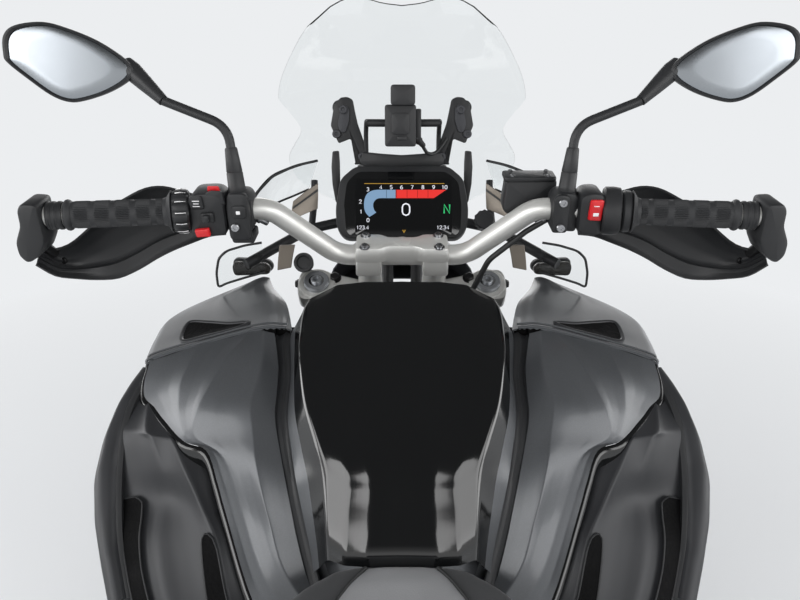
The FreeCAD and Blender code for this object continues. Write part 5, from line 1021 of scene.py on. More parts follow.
# rubber grips: lengthwise ribs broken by rings, a bead at the outer end and a cone at the inner one
gripShape = {"radius": 16.7, "rib": 0.55, "ribs": 44, "inner": 300, "outer": 420}
along = np.linspace(gripShape["inner"] + 6, gripShape["outer"] - 6, 70)
turn = np.linspace(0, 2 * np.pi, 4 * gripShape["ribs"], endpoint=False)
rings = np.clip(np.sin((along - 300) / 24 * 2 * np.pi) * 3 + 2.4, 0, 1)
ribHeight = gripShape["rib"] * np.clip(np.cos(turn * gripShape["ribs"]) * 1.6, -1, 1)
radii = gripShape["radius"] + rings[:, None] * ribHeight[None]
barAcross = unit(np.cross(barOut, upZ))
barUp = np.cross(barOut, barAcross)
gripGrid = np.array([alongBar(x) for x in along])[:, None] + radii[..., None] * circle(turn, barAcross, barUp)[None]
gripEnds = [barTurned([(304, 15), (306.5, 17.3), (302, 19), (298.4, 25), (297, 27), (296.2, 27), (296.2, 15)], 48),
            barTurned([(413, 15), (414, 17), (416, 19), (418.5, 19.8), (421, 19), (423, 17), (423, 15)], 48)]
makePiece("gripRubbers", bothSides(gridPatch(gripGrid, closeAcross=True, caps=True), *gripEnds), "gripRubber", "steering",
          ["grips"])

# ends of the bar: ribbed collar and the bracket that carries the guard
collar = barTurned([(424.5, 14), (424.5, 17), (426, 18), (429, 18), (430, 17.2), (432, 17.2), (433, 18), (436, 18),
                    (437, 17.2), (439, 17.2), (440, 18), (442, 18), (443, 17), (443, 14)], 44)
facing = np.array([0, -1.0, 0])


def block(outline, depth, place, corner, edge, out=facing):  # a moulding drawn as the rider sees it
    return moulding(outline, depth, place, acrossX, upZ, out, corner=corner, edge=edge)


endOutline = [(-5, 22), (14, 23), (21, 15), (22, -6), (33, -28), (33, -46), (24, -57), (6, -46), (-5, -26)]
endBlock = block(endOutline, 44, beside(448, 22, 0), 6, 4.5)
endCap = lathe([(0, 0), (0, 9), (2.5, 9), (4, 7.6), (4, 4.4), (1.5, 4), (1.5, 0)], alongBar(469), barOut, 28)
makePiece("barEnds", bothSides(collar, endBlock, endCap), "mouldedBlack", "steering")

# hand guards: a blade ahead of the grip, (across, ahead, top, bottom) with a crease in its lower third
guard = {"wall": 3.4, "bevel": 0.8, "innerArm": 6, "outerArm": 7}
guardRows = np.array([(246, 62, -16, -54), (272, 77, -4, -62), (300, 84, 4, -74), (326, 87, 11, -85), (350, 87.5, 9, -97),
                      (376, 86.5, -3, -112), (404, 84, -20, -123), (430, 78, -44, -121), (452, 66, -60, -112),
                      (468, 48, -58, -98), (478, 28, -42, -72)], float)
guardRows = catmull(guardRows, 3)
across = np.array([0, 0.08, 0.3, 0.55, 0.74, 0.8, 0.94, 1.0])
forward = np.array([-15, -9, -2, 0, -3, -8, -12, -17])
base = np.array([alongBar(x) for x in guardRows[:, 0]])
guardGrid = base[:, None] + np.stack([np.zeros((len(base), 8)), guardRows[:, 1:2] + forward[None],
                                      guardRows[:, 2:3] + (guardRows[:, 3:4] - guardRows[:, 2:3]) * across[None]], -1)
makePiece("guardBlades", bothSides(gridPatch(rounded(guardGrid, 4, 2))), "mouldedBlack", "steering",
          ["hand_guards"], outward=(0, 1, 0), thickness=guard["wall"], bevel=guard["bevel"], sharp=40)
guardArms = [tubePatch([beside(250, 12, -20), beside(251, 40, -34), beside(254, 60, -42)], guard["innerArm"], 14,
                       (1, 0, 0)),
             tubePatch(rounded([beside(466, 8, -30), beside(472, 28, -48), beside(468, 44, -70)], 8, 4), guard["outerArm"],
                       14, (1, 0, 0))]
guardScrews = [capScrew(beside(462, 52, -84), (0.3, -0.95, 0), 5, 3), capScrew(beside(258, 63, -42), (0, -1, 0), 5, 3)]
makePiece("guardArms", bothSides(*guardArms, *guardScrews), "anodisedBlack", "steering")

# levers: a flat blade with a ball end, and the perch that holds its pivot
leverPath = catmull([beside(214, 30, -16), beside(226, 46, -18), beside(240, 53, -19), beside(290, 57, -20),
                     beside(350, 57, -22), beside(400, 52, -24), beside(424, 48, -25)], 6)
leverWidth = np.interp(np.linspace(0, 1, len(leverPath)), [0, 0.15, 0.3, 0.8, 0.93, 1], [7.5, 8.5, 6.6, 6.2, 5, 4.6])
leverBlade = tubePatch(leverPath, leverWidth, 16, (0, 1, 0.2), flat=0.62)
turn = np.linspace(0, np.pi, 13)
leverBall = lathe(np.stack([-6.6 * np.cos(turn), 6.6 * np.sin(turn)], -1), beside(427, 47, -25), barOut, 20)
grooves = [lathe([(-1.2, 4), (-1.2, 6.7), (0, 7.2), (1.2, 6.7), (1.2, 4)], leverPath[int(k * len(leverPath))], barOut, 16)
           for k in (0.62, 0.66)]
makePiece("leverBlades", bothSides(leverBlade, leverBall, *grooves), "anodisedBlack", "steering")
perch = [(-17, -24), (17, -26), (17, 20), (10, 27), (-12, 27), (-18, 18)]
perchBlock = block(perch, 34, beside(211, 17, 0), 6, 3)
perchArm = moulding([(-14, -12), (26, -12), (30, 0), (20, 10), (-14, 10)], 14, beside(212, 38, -24), acrossX, facing, upZ,
                    corner=7, edge=2.5)
master = tubePatch([beside(172, 27, -14), beside(205, 29, -15), beside(232, 34, -17)], np.array([9, 9.5, 8]), 20, upZ)
pivot = lathe([(-2, 0), (-2, 7.5), (17, 7.5), (18.5, 6), (18.5, 3.4), (15, 3), (15, 0)], beside(226, 44, -27), upZ, 20)
makePiece("leverPerches", bothSides(perchBlock, perchArm, master, pivot), "mouldedBlack", "steering",
          ["controls"])

# left switches: block with raised pods, a toothed wheel beside the grip, and the keys
leftCube = block([(-23, -27), (19, -29), (23, -22), (23, 22), (14, 30), (-14, 31), (-23, 24)], 46, beside(249, 22, 0), 8, 5)
pods = [block([(-12, -9), (11, -9), (12, 7), (4, 11), (-9, 10)], 8, beside(236, -18, 22), 3, 2, unit([0, -1, 0.35])),
        block([(-9, -9), (8, -9), (9, 8), (-7, 9)], 7, beside(259, -19, 18), 3, 2, unit([0, -1, 0.3])),
        block([(-8, -7), (8, -7), (9, 6), (-8, 7)], 6, beside(247, -23, 0), 3, 2),
        block([(-4, -5), (4, -5), (4, 5), (-4, 5)], 9, beside(248, -26, 0), 2, 1.5),
        block([(-14, -34), (14, -34), (15, 8), (12, 30), (-13, 30), (-15, 4)], 10, beside(210, -17, 0), 7, 3),
        block([(-9, -9), (9, -9), (9, 9), (-9, 9)], 5, beside(208, -25, 6), 5, 2),
        block([(-17, -8), (12, -8), (14, 6), (-17, 6)], 34, beside(211, 14, -33), 4, 3)]
turn = np.linspace(0, 2 * np.pi, 97)[:-1]
notch = 1 - 0.07 * (np.abs(np.sin(turn * 6)) ** 6)
wheelProfile = np.array([(274.5, 15, 0), (274.5, 25, 0.4), (276.5, 27.5, 1), (284, 28.6, 1), (291, 27.5, 1),
                         (294.5, 26, 0.6), (295.6, 24.5, 0), (295.6, 15, 0)])
wheelRadii = wheelProfile[:, 1:2] * (1 - wheelProfile[:, 2:3] * (1 - notch[None]))
wheelMiddles = np.array([alongBar(x) for x in wheelProfile[:, 0]])[:, None]
wheel = gridPatch(wheelMiddles + wheelRadii[..., None] * circle(turn, barAcross, barUp)[None], closeAcross=True, caps=True)
makePiece("leftSwitches", [flipped(patch) for patch in (leftCube, *pods, wheel)], "mouldedBlack", "steering")
wheelLines = []
for k in range(12):
    angle = k * np.pi / 6 + np.pi / 12
    radial = np.cos(angle) * barAcross + np.sin(angle) * barUp
    wheelLines.append(tubePatch([alongBar(277.5) + radial * 28, alongBar(284) + radial * 28.9,
                                 alongBar(290.5) + radial * 28], 0.6, 6, barOut))
marks = [block(rectangle(w, h), 0.5, spot, 0.5, 0.15, out) for w, h, spot, out in (
    (9, 1.2, beside(259, -26, 22), unit([0, -1, 0.3])), (7, 1.2, beside(259, -26, 18.5), unit([0, -1, 0.3])),
    (9, 1.0, beside(259, -25.8, 15), unit([0, -1, 0.3])), (7, 1.2, beside(235, -25.7, 21), unit([0, -1, 0.35])),
    (6, 1.1, beside(237, -25.5, 25), unit([0, -1, 0.35])), (1.2, 7, beside(204, -30, 6), facing),
    (5, 4.5, beside(209, -30, 6), facing))]
bolt = lathe([(0, 0), (0, 5.4), (2, 5.4), (2.6, 4.6), (2.6, 2.6), (1.2, 2.4), (1.2, 0)], beside(215, -27, -15), facing, 24)
makePiece("leftWhiteMarks", [flipped(patch) for patch in (*wheelLines, *marks)], "printWhite", "steering")
redKeys = [block([(-10, -5), (8, -6), (10, 4), (-9, 6)], 6, beside(256, -22, -20), 2, 1.5, unit([0, -1, -0.15])),
           block([(-8, -3), (8, -3), (7, 4), (-7, 4)], 8, beside(238, -14, 30), 2, 1.2, unit([0, -0.7, 0.7]))]
makePiece("leftRedKeys", [flipped(patch) for patch in redKeys], "switchRed", "steering")

# right switches: block with the rocker, throttle rings, the fluid tank with its lid, and the clamp's two bolts
rightCube = block([(-16, -26), (15, -28), (17, 20), (10, 30), (-9, 30), (-17, 22)], 44, beside(243, 21, 0), 8, 5)
throttle = [barTurned([(260, 14), (260, 28), (262.5, 31), (272, 31.5), (281, 30), (282.5, 27), (282.5, 14)], 48),
            barTurned([(283.5, 14), (283.5, 24), (286, 27), (293, 26.5), (295.5, 24), (295.5, 14)], 48)]
clampShell = block([(-10, -25), (10, -25), (11, 22), (5, 27), (-7, 27), (-11, 20)], 8, beside(205, -16, 0), 5, 2.5)
tank = moulding([(-36, -20), (-28, -27), (30, -22), (35, -8), (35, 22), (-32, 20)], 34, (173, 452, 1190), acrossX,
                (0, 0.1, 0.99), facing, corner=5, edge=3)
tankLid = moulding([(-35, -17), (35, -17), (35, 17), (-35, 17)], 7, (172, 435, 1209), acrossX, (0, 1, 0), (0, -0.05, 1),
                   corner=6, edge=2)
tankArm = block([(-9, -8), (9, -8), (9, 8), (-9, 8)], 30, (203, 436, 1180), 3, 1.5)
makePiece("rightSwitches", [rightCube, *throttle, clampShell, tank, tankLid, tankArm], "mouldedBlack", "steering")
tankScrews = [capScrew((x, 435 + y, 1216), (0, -0.05, 1), 3.2, 2) for x in (148, 197) for y in (-11, 11)]
silverBolts = [lathe([(0, 0), (0, 5.8), (2, 5.8), (3.4, 4.8), (3.4, 2.8), (1.6, 2.6), (1.6, 0)], beside(206, -23, c),
                     facing, 28) for c in (17, -17)]
makePiece("rightBolts", [*tankScrews, *silverBolts, flipped(bolt)], "zincScrew", "steering")
rocker = block([(-9, -13), (8, -14), (9, 14), (-8, 14)], 7, beside(246, -20, 8), 3, 2, unit([0.05, -1, 0.1]))
makePiece("rightRocker", [rocker], "switchRed", "steering")
rockerMarks = [block(rectangle(w, h), 0.5, beside(246, -27.2, c), 0.5, 0.15) for w, h, c in ((7, 1.1, 15), (7, 4.5, 4))]
makePiece("rockerMarks", rockerMarks, "printWhite", "steering")

# mirrors: housing drawn back from its rim, glass set in, cone, bent stem and rubber boot
mirrorOutlineIn = [(75, 10), (72, 31), (57, 43), (24, 47), (-7, 39), (-38, 26), (-64, 9), (-76, -3), (-78, -12), (-68, -23),
                   (-44, -36), (-16, -45), (4, -47), (25, -39), (52, -18), (72, 0)]
mirrorLoop = catmull(np.vstack([mirrorOutlineIn[-1:], mirrorOutlineIn, mirrorOutlineIn[:2]]), 5)[5:-6]
mirror = {"spot": (412, 418, 1363.0), "facing": (-0.1, -0.97, 0.22), "stemTop": (300, 412, 1318.0),
          "stemBend": (221, 404, 1288.0),
          "stem": 6, "bend": 22}
mirrorSpot, mirrorOut = np.array(mirror["spot"]), unit(mirror["facing"])
mirrorUp = unit([0, 0.22, 0.97])
mirrorAcross = unit(np.cross(mirrorUp, mirrorOut))
mirrorUp = np.cross(mirrorOut, mirrorAcross)
mirrorFace = (mirrorSpot, mirrorAcross, mirrorUp, mirrorOut)
centreOf = mirrorLoop.mean(0)
shellStations = ((5.5, 1, -1.2), (4.6, 1, 1.6), (2.6, 1, 3.2), (0.6, 1, 2.4), (0, 1, -1), (1, 1, -9), (0, 0.86, -20),
                 (0, 0.62, -29), (0, 0.3, -34), (0, 0.03, -35))  # drawn in, share of the outline, out
glassStations = ((0.9, -0.6), (0.9, 0.7), (0.885, 1.0), (0.6, 1.08), (0.3, 1.14), (0.01, 1.16))
shellRings = [placed(lifted(centreOf + (mirrorLoop - centreOf) * scale * (1 - drawn / 55), out), *mirrorFace)
              for drawn, scale, out in shellStations]
mirrorShell = gridPatch(np.array(shellRings), closeAcross=True)
glassRings = [placed(lifted(centreOf + (mirrorLoop - centreOf) * scale, out), *mirrorFace) for scale, out in glassStations]
glassPatch = gridPatch(np.array(glassRings), closeAcross=True, caps=True)
makePiece("mirrorGlasses", bothSides(glassPatch), "mirrorGlass", "steering", sharp=30)
innerEnd = mirrorSpot + mirrorAcross * -74 + mirrorUp * -10 - mirrorOut * 10
stemTop, stemBend = np.array(mirror["stemTop"]), np.array(mirror["stemBend"])
boot = beside(214, 2, 22)
cone = tubePatch([innerEnd + (innerEnd - stemTop) * 0.25, innerEnd, innerEnd * 0.6 + stemTop * 0.4, stemTop],
                 np.array([11, 12.5, 10.5, 7]), 24, (0, 1, 0))
stem = tubePatch(rounded([boot, stemBend, stemTop], mirror["bend"], 8), mirror["stem"], 20, (0, 1, 0))
direction = unit(stemBend - boot)
bootPatch = lathe([(-2, 0), (-2, 13), (2, 13.6), (5, 12), (8, 11), (26, 10.4), (27, 9.8), (28, 10.2), (56, 8), (58, 7),
                   (58, 0)], boot, direction, 32)
bootNut = lathe([(0, 0), (0, 13.4), (7, 13.4), (8, 12.4), (8, 0)], boot - direction * 6, direction, 6)
makePiece("mirrorHousings", bothSides(mirrorShell, cone, stem, bootPatch, bootNut), "mouldedBlack", "steering",
          ["mirrors"])

# hose ends: collars where the hoses leave the master cylinders
hoseEnds = [lathe([(0, 0), (0, 6.5), (4, 6.5), (5, 5), (14, 5), (15, 4.4), (15, 0)], beside(193, 8, -16),
                  unit([-0.75, 0.2, -0.5]), 20)]
makePiece("hoseEnds", bothSides(*hoseEnds), "zincScrew", "steering")
print("handlebar, controls, guards and mirrors done")

# seats: closed foam forms swollen by the cover's pressure, with piping along the two-tone seam and sewn channels
seatLook = {"topColour": "#707173", "sideColour": "#2f3032", "capMm": 4.0, "voxelMm": 7.0, "pressure": 4, "stiffness": 40,
            "frames": 20, "smoothings": 6, "channelDepthMm": 2.6, "channelReach": 0.96, "seamDepthMm": 2.0, "pipingMm": 2.0}
cushions = {  # rows: along, half width, underside, top; seam: share of the half width; channels: where they run across
    "riderSeat": {
        "node": "rider_seat", "seam": ([-330, -120, -14, 30, 50], [0.74, 0.72, 0.5, 0.44, 0.42]),
        "channels": (-60, -100, -240, -280),
        "rows": [(46, 76, 876, 915), (30, 106, 872, 913), (12, 128, 866, 909), (-14, 144, 860, 904), (-120, 153, 856, 896),
                 (-200, 157, 858, 894), (-262, 158, 866, 899), (-322, 154, 884, 924)]},
    "passengerSeat": {
        "node": "passenger_seat", "seam": ([-640, -340], [0.74, 0.74]), "channels": (-400, -440, -560),
        "rows": [(-340, 144, 900, 957), (-372, 146, 902, 962), (-440, 144, 908, 963), (-520, 136, 916, 965),
                 (-600, 124, 932, 966), (-634, 106, 940, 960)]},
}


# both cover colours in one vinyl: the attribute "top" is 1 on the light panel and 0 on the dark sides
def vinyl(name, light, dark):
    material = bpy.data.materials.new(name)
    tree = emptyTree(material)
    coords = addNode(tree, "ShaderNodeTexCoord").outputs["Object"]
    top = addNode(tree, "ShaderNodeAttribute", {"attribute_name": "top"}).outputs["Fac"]
    step = addNode(tree, "ShaderNodeMapRange", {1: 0.45, 2: 0.55}, {0: top}).outputs[0]
    wear = addNode(tree, "ShaderNodeTexNoise", {"Scale": 9.0, "Detail": 5.0}, {"Vector": coords}).outputs["Fac"]
    colour = addNode(tree, "ShaderNodeMix", {"data_type": "RGBA", 6: toLinear(dark), 7: toLinear(light)},
                     {0: step}).outputs[2]
    worn = addNode(tree, "ShaderNodeMapRange", {1: 0.3, 2: 0.75, 3: 0.86, 4: 1.1}, {0: wear}).outputs[0]
    colour = addNode(tree, "ShaderNodeVectorMath", {"operation": "SCALE"}, {0: colour, "Scale": worn}).outputs[0]
    # cells of 1.6 mm for the embossing, and creases some 40 mm apart
    pebble = addNode(tree, "ShaderNodeTexVoronoi", {"Scale": 620.0}, {"Vector": coords}).outputs["Distance"]
    crease = addNode(tree, "ShaderNodeTexNoise", {"Scale": 26.0, "Detail": 3.0}, {"Vector": coords}).outputs["Fac"]
    relief = addNode(tree, "ShaderNodeMath", {"operation": "MULTIPLY_ADD", 1: 0.6}, {0: crease, 2: pebble}).outputs[0]
    bump = addNode(tree, "ShaderNodeBump", {"Strength": 0.5, "Distance": 0.16 * mm}, {"Height": relief})
    rough = addNode(tree, "ShaderNodeMapRange", {1: 0.3, 2: 0.7, 3: 0.5, 4: 0.64}, {0: wear}).outputs[0]
    shader = addNode(tree, "ShaderNodeBsdfPrincipled", {"Sheen Weight": 0.12},
                     {"Base Color": colour, "Roughness": rough, "Normal": bump.outputs[0]})
    addNode(tree, "ShaderNodeOutputMaterial", None, {"Surface": shader.outputs[0]})
    return material


# section of a cushion: fractions of the half width and of the height, from the base round the side to the crown
seatSection = np.array([(0, 0), (0.5, 0), (0.84, 0.02), (0.93, 0.10), (0.985, 0.34), (0.99, 0.56), (0.955, 0.74),
                        (0.88, 0.865), (0.77, 0.935), (0.6, 0.972), (0.38, 0.99), (0.18, 1.0), (0, 1.0)])


# rings through stations of (along, half width, underside, top); each ring is the section scaled to its station,
# and both ends get a smaller one beyond
def cushionForm(rows):
    rows = np.asarray(rows, float)
    first, last = rows[0] + (4, -14, 9, -9), rows[-1] + (-4, -14, 9, -9)
    rows = catmull(np.vstack([first, rows, last]), 5)
    y, w, low, top = (rows[:, i:i + 1] for i in range(4))
    u = np.concatenate([seatSection[:, 0], -seatSection[-2:0:-1, 0]])
    v = np.concatenate([seatSection[:, 1], seatSection[-2:0:-1, 1]])
    ring = np.stack([w * u, np.broadcast_to(y, (len(rows), len(u))), low + (top - low) * v], -1)
    return gridPatch(ring, closeAcross=True, caps=True), rows


# the cloth recipe: voxel remesh, pressure with no gravity for some frames, each point's move capped
def swollen(name, patch):
    mesh = bpy.data.meshes.new(name)
    mesh.from_pydata((patch[0] * mm).tolist(), [], patch[1])
    body = bpy.data.objects.new(name, mesh)
    scene.collection.objects.link(body)
    shape = bmesh.new()
    shape.from_mesh(mesh)
    bmesh.ops.remove_doubles(shape, verts=shape.verts, dist=0.02 * mm)
    bmesh.ops.recalc_face_normals(shape, faces=shape.faces)
    shape.to_mesh(mesh)
    shape.free()
    remesh = body.modifiers.new("voxels", "REMESH")
    remesh.mode, remesh.voxel_size = "VOXEL", seatLook["voxelMm"] * mm
    fine = bpy.data.meshes.new_from_object(body.evaluated_get(bpy.context.evaluated_depsgraph_get()))
    body.modifiers.clear()
    body.data = fine
    start = np.empty(len(fine.vertices) * 3)
    fine.vertices.foreach_get("co", start)
    start = start.reshape(-1, 3)
    cloth = body.modifiers.new("cover", "CLOTH")
    cloth.settings.use_pressure, cloth.settings.uniform_pressure_force = True, seatLook["pressure"]
    cloth.settings.effector_weights.gravity = 0
    cloth.settings.tension_stiffness = cloth.settings.compression_stiffness = seatLook["stiffness"]
    cloth.point_cache.frame_start, cloth.point_cache.frame_end = 1, seatLook["frames"]
    for frameNumber in range(1, seatLook["frames"] + 1):
        scene.frame_set(frameNumber)
    swelled = bpy.data.meshes.new_from_object(body.evaluated_get(bpy.context.evaluated_depsgraph_get()))
    body.modifiers.clear()
    end = np.empty(len(swelled.vertices) * 3)
    swelled.vertices.foreach_get("co", end)
    move = end.reshape(-1, 3) - start
    length = np.linalg.norm(move, axis=1, keepdims=True) + 1e-9
    start = start + move * np.minimum(1, seatLook["capMm"] * mm / length)
    scene.frame_set(1)
    bpy.data.meshes.remove(swelled)
    points = start / mm
    edges = np.empty(len(fine.edges) * 2, int)
    fine.edges.foreach_get("vertices", edges)
    edges = edges.reshape(-1, 2)
    for _ in range(seatLook["smoothings"]):  # each point moves to half way between itself and the mean of its neighbours
        total, count = np.zeros_like(points), np.zeros((len(points), 1))
        for a, b in ((0, 1), (1, 0)):
            np.add.at(total, edges[:, a], points[edges[:, b]])
            np.add.at(count, edges[:, a], 1)
        points = points * 0.5 + total / np.maximum(count, 1) * 0.5
    return body, fine, points


# the seam's distance from the middle at each station, as a fraction of the half width
def seamAt(y, rows, shares):
    order = np.argsort(rows[:, 0])
    width = np.interp(y, rows[order, 0], rows[order, 1])
    return width * np.interp(y, *shares)


# highest point of the cushion near each place of a path
def topAt(points, x, y, reach=9.0):
    near = (np.abs(points[None, :, 0] - x[:, None]) < reach) & (np.abs(points[None, :, 1] - y[:, None]) < reach)
    return np.where(near, points[None, :, 2], -1e9).max(1)


# a cushion with its cover: channels and the seam are Gaussian grooves in the top, and the attribute fades over the seam
def finishSeat(name, seat):
    patch, rows = cushionForm(seat["rows"])
    shares = seat["seam"]
    body, mesh, points = swollen(name, patch)
    x, y, z = points.T
    seam = seamAt(y, rows, shares)
    order = np.argsort(rows[:, 0])
    middle = np.interp(y, rows[order, 0], (rows[order, 2] + rows[order, 3]) / 2)
    onTop = z > middle + 4
    groove = np.zeros(len(points))
    for at in seat["channels"]:
        inside = onTop & (np.abs(x) < seam * seatLook["channelReach"])
        channel = seatLook["channelDepthMm"] * np.exp(-((y - at - 0.05 * np.abs(x)) / 4.5) ** 2)
        groove = np.where(inside, np.maximum(groove, channel), groove)
    groove = np.maximum(groove, np.where(onTop, seatLook["seamDepthMm"] * np.exp(-((np.abs(x) - seam) / 4.0) ** 2), 0))
    points = points - np.stack([np.zeros_like(groove), np.zeros_like(groove), groove], -1)
    mesh.vertices.foreach_set("co", (points * mm).ravel())
    mark = mesh.attributes.new("top", "FLOAT", "POINT")
    mark.data.foreach_set("value", np.where(onTop, np.clip((seam - np.abs(x)) / 5 + 0.5, 0, 1), 0.0))
    smoothFaces(mesh)
    mesh.materials.clear()
    mesh.materials.append(finishes["seatCover"])
    mesh.update()
    finer = body.modifiers.new("finer", "SUBSURF")
    finer.levels = finer.render_levels = 1
    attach(body, "chassis")
    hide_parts(seat["node"])
    pathY = np.linspace(rows[:, 0].max() - 10, rows[:, 0].min() + 8, 60)
    pathX = seamAt(pathY, rows, shares)
    pathZ = np.convolve(np.pad(topAt(points, pathX, pathY), 2, "edge"), np.ones(5) / 5, "valid")
    piping = tubePatch(np.stack([pathX, pathY, pathZ - 0.4], -1), seatLook["pipingMm"], 10, upZ)
    makePiece(name + "Piping", bothSides(piping), "hoseRubber", "chassis")


finishes["seatCover"] = vinyl("seatCover", seatLook["topColour"], seatLook["sideColour"])
for name, seat in cushions.items():
    finishSeat(name, seat)
print("seats done")

# wheels: tyres with a bead line, side ribs and block tread; rims with spoke nipples; discs with drilled bands
wheelLooks = {
    "front": {"centre": frontAxle, "radius": 325, "width": 120, "rim": 241, "rimHalf": 47, "body": "front_wheel",
              "blocks": 44, "depth": 6.0, "hub": 34, "hubHalf": 84},
    "rear": {"centre": rearAxle, "radius": 318, "width": 170, "rim": 216, "rimHalf": 64, "body": "rear_wheel", "blocks": 40,
             "depth": 6.5, "hub": 60, "hubHalf": 72},
}
spokes = {"count": 40, "crossDegrees": 28, "wire": 2.1}


# across the tyre the outline runs from bead to bead; round it, the tread's height falls into slanted grooves:
# height = -depth * (how far a smooth wave of the angle and the side is above its threshold)
def tyreGrid(look):
    half, outside, rim = look["width"] / 2, look["radius"], look["rim"]
    control = np.array([(0.68, rim - 1), (0.74, rim + 5), (0.86, rim + 12), (0.965, rim + 0.34 * (outside - rim)),
                        (0.985, rim + 0.46 * (outside - rim)), (0.96, rim + 0.60 * (outside - rim)),
                        (0.86, outside - 0.22 * half), (0.74, outside - 0.125 * half), (0.56, outside - 0.062 * half),
                        (0.34, outside - 0.022 * half), (0.12, outside - 0.003 * half), (0, outside)], float)
    side = catmull(control, 3)
    section = np.vstack([side, side[-2::-1] * (-1, 1)]) * (half, 1)
    turn = np.linspace(0, 2 * np.pi, look["blocks"] * 8, endpoint=False)
    across = section[:, 0:1] / half
    wave = np.sin(look["blocks"] * turn[None] + 3.6 * across + np.where(across > 0, 0, np.pi))
    slot = np.clip((wave - 0.52) * 6, 0, 1)
    onTread = np.clip((0.93 - np.abs(across)) * 14, 0, 1) * (section[:, 1:2] > rim + 0.5 * (outside - rim))
    centreRib = np.clip((np.abs(across) - 0.055) * 40, 0, 1)
    ringGroove = np.exp(-((np.abs(across) - 0.36) / 0.026) ** 2)
    sink = look["depth"] * np.maximum(slot * onTread * centreRib, ringGroove)
    letterBand = 0.5 * np.exp(-((section[:, 1:2] - (rim + 0.3 * (outside - rim))) / 2.2) ** 2)
    radius = section[:, 1:2] - sink + letterBand
    return wheelRing(section[:, 0:1], radius, turn) + look["centre"]


for name, look in wheelLooks.items():
    grid = tyreGrid(look)
    if name == "front":
        grid[..., 2] = np.maximum(grid[..., 2], 0)  # the tread stays above the ground
    shell = gridPatch(np.concatenate([grid, grid[-1:], grid[:1]]), closeAcross=True)
    makePiece(name + "Tyre", [shell], "tyreRubber", look["body"], [name + "_tyre"], sharp=24)

    # rim: rolled lips, shoulders for the nipples, and a well
    rim, half, centre = look["rim"], look["rimHalf"], look["centre"]
    lip = [(half + 1, rim - 1), (half + 3.5, rim + 4), (half + 1.5, rim + 7), (half - 2, rim + 5), (half - 3, rim - 2),
           (half - 9, rim - 8), (0.62 * half, rim - 12), (0.45 * half, rim - 21), (0, rim - 23)]
    under = [(0, rim - 27), (0.45 * half, rim - 25), (0.66 * half, rim - 17), (0.85 * half, rim - 14), (half + 1, rim - 9)]
    right = np.array(lip + under)
    profile = np.vstack([right[:9], (right[:8] * (-1, 1))[::-1], (right[9:] * (-1, 1))[::-1], right[9:]])
    rimPatch = lathe(np.vstack([profile, profile[:1]]), centre, acrossX, 120, closed=True)
    hub, hubHalf = look["hub"], look["hubHalf"]
    flange = 0.62 * hubHalf
    spool = [(hubHalf, 13), (hubHalf, hub - 6), (hubHalf - 1.5, hub - 1), (hubHalf - 4, hub), (flange + 3, hub),
             (flange + 1, hub + 2), (flange, hub + 10), (flange - 2, hub + 13), (flange - 5.5, hub + 13),
             (flange - 7.5, hub + 10), (flange - 9, hub - 5), (flange - 16, hub - 9), (0, hub - 10)]
    spool = np.array(spool, float)
    hubPatch = lathe(np.vstack([spool, (spool[:-1] * (-1, 1))[::-1], spool[:1]]), centre, acrossX, 72, closed=True)
    makePiece(name + "Rim", [rimPatch, hubPatch], "coatedRim", look["body"], [name + "_rim"])

    # crossed spokes: a straight wire with a nipple at the rim and a head at the hub's flange
    wires, nipples = [], []
    for i in range(spokes["count"]):
        side = 1 if i % 2 else -1
        atRim = 2 * np.pi * i / spokes["count"]
        atHub = atRim + (1 if (i // 2) % 2 else -1) * math.radians(spokes["crossDegrees"])
        outer = centre + (side * 0.8 * half, (rim - 13) * math.sin(atRim), (rim - 13) * math.cos(atRim))
        inner = centre + (side * (flange - 4), (hub + 7) * math.sin(atHub), (hub + 7) * math.cos(atHub))
        line = unit(outer - inner)
        wires.append(tubePatch(inner + (outer - inner) * np.linspace(0, 1, 4)[:, None], spokes["wire"], 8, acrossX + line))
        nipples.append(lathe([(0, 0), (0, 4.6), (2.5, 4.8), (3.5, 3.4), (15, 3.0), (16, 0)], outer + line * 1.0, -line, 8))
        nipples.append(lathe([(0, 0), (0, 3.0), (2, 4.6), (3.4, 4.2), (4.2, 0)], inner + acrossX * side * 1.0,
                             acrossX * side, 8))
    makePiece(name + "Spokes", wires, "zincScrew", look["body"])
    makePiece(name + "Nipples", nipples, "zincScrew", look["body"])


# disc: a friction band whose inner edge follows a cosine, most at the edge; its holes are dents where a faster cosine,
# shifted with the radius, is near 1
def discBand(middle, radius, band, thick, waves):
    turn = np.linspace(0, 2 * np.pi, 240, endpoint=False)
    rows = []
    for share, at in ((0, thick), (0.06, thick), (0.25, thick), (0.5, thick), (0.75, thick), (0.94, thick),
                      (1, thick * 0.8)):
        r = radius - band * (1 - share) + (1 - share) * 2.2 * np.cos(waves * turn)
        hole = 0.9 * (np.cos(waves * 4 * turn + share * 9) > 0.93) if 0.1 < share < 0.9 else 0
        rows.append(wheelRing(at / 2 - hole, r, turn))
    face = np.array(rows)
    return gridPatch(np.concatenate([face, face[::-1] * (-1, 1, 1), face[:1]]) + middle, closeAcross=True)


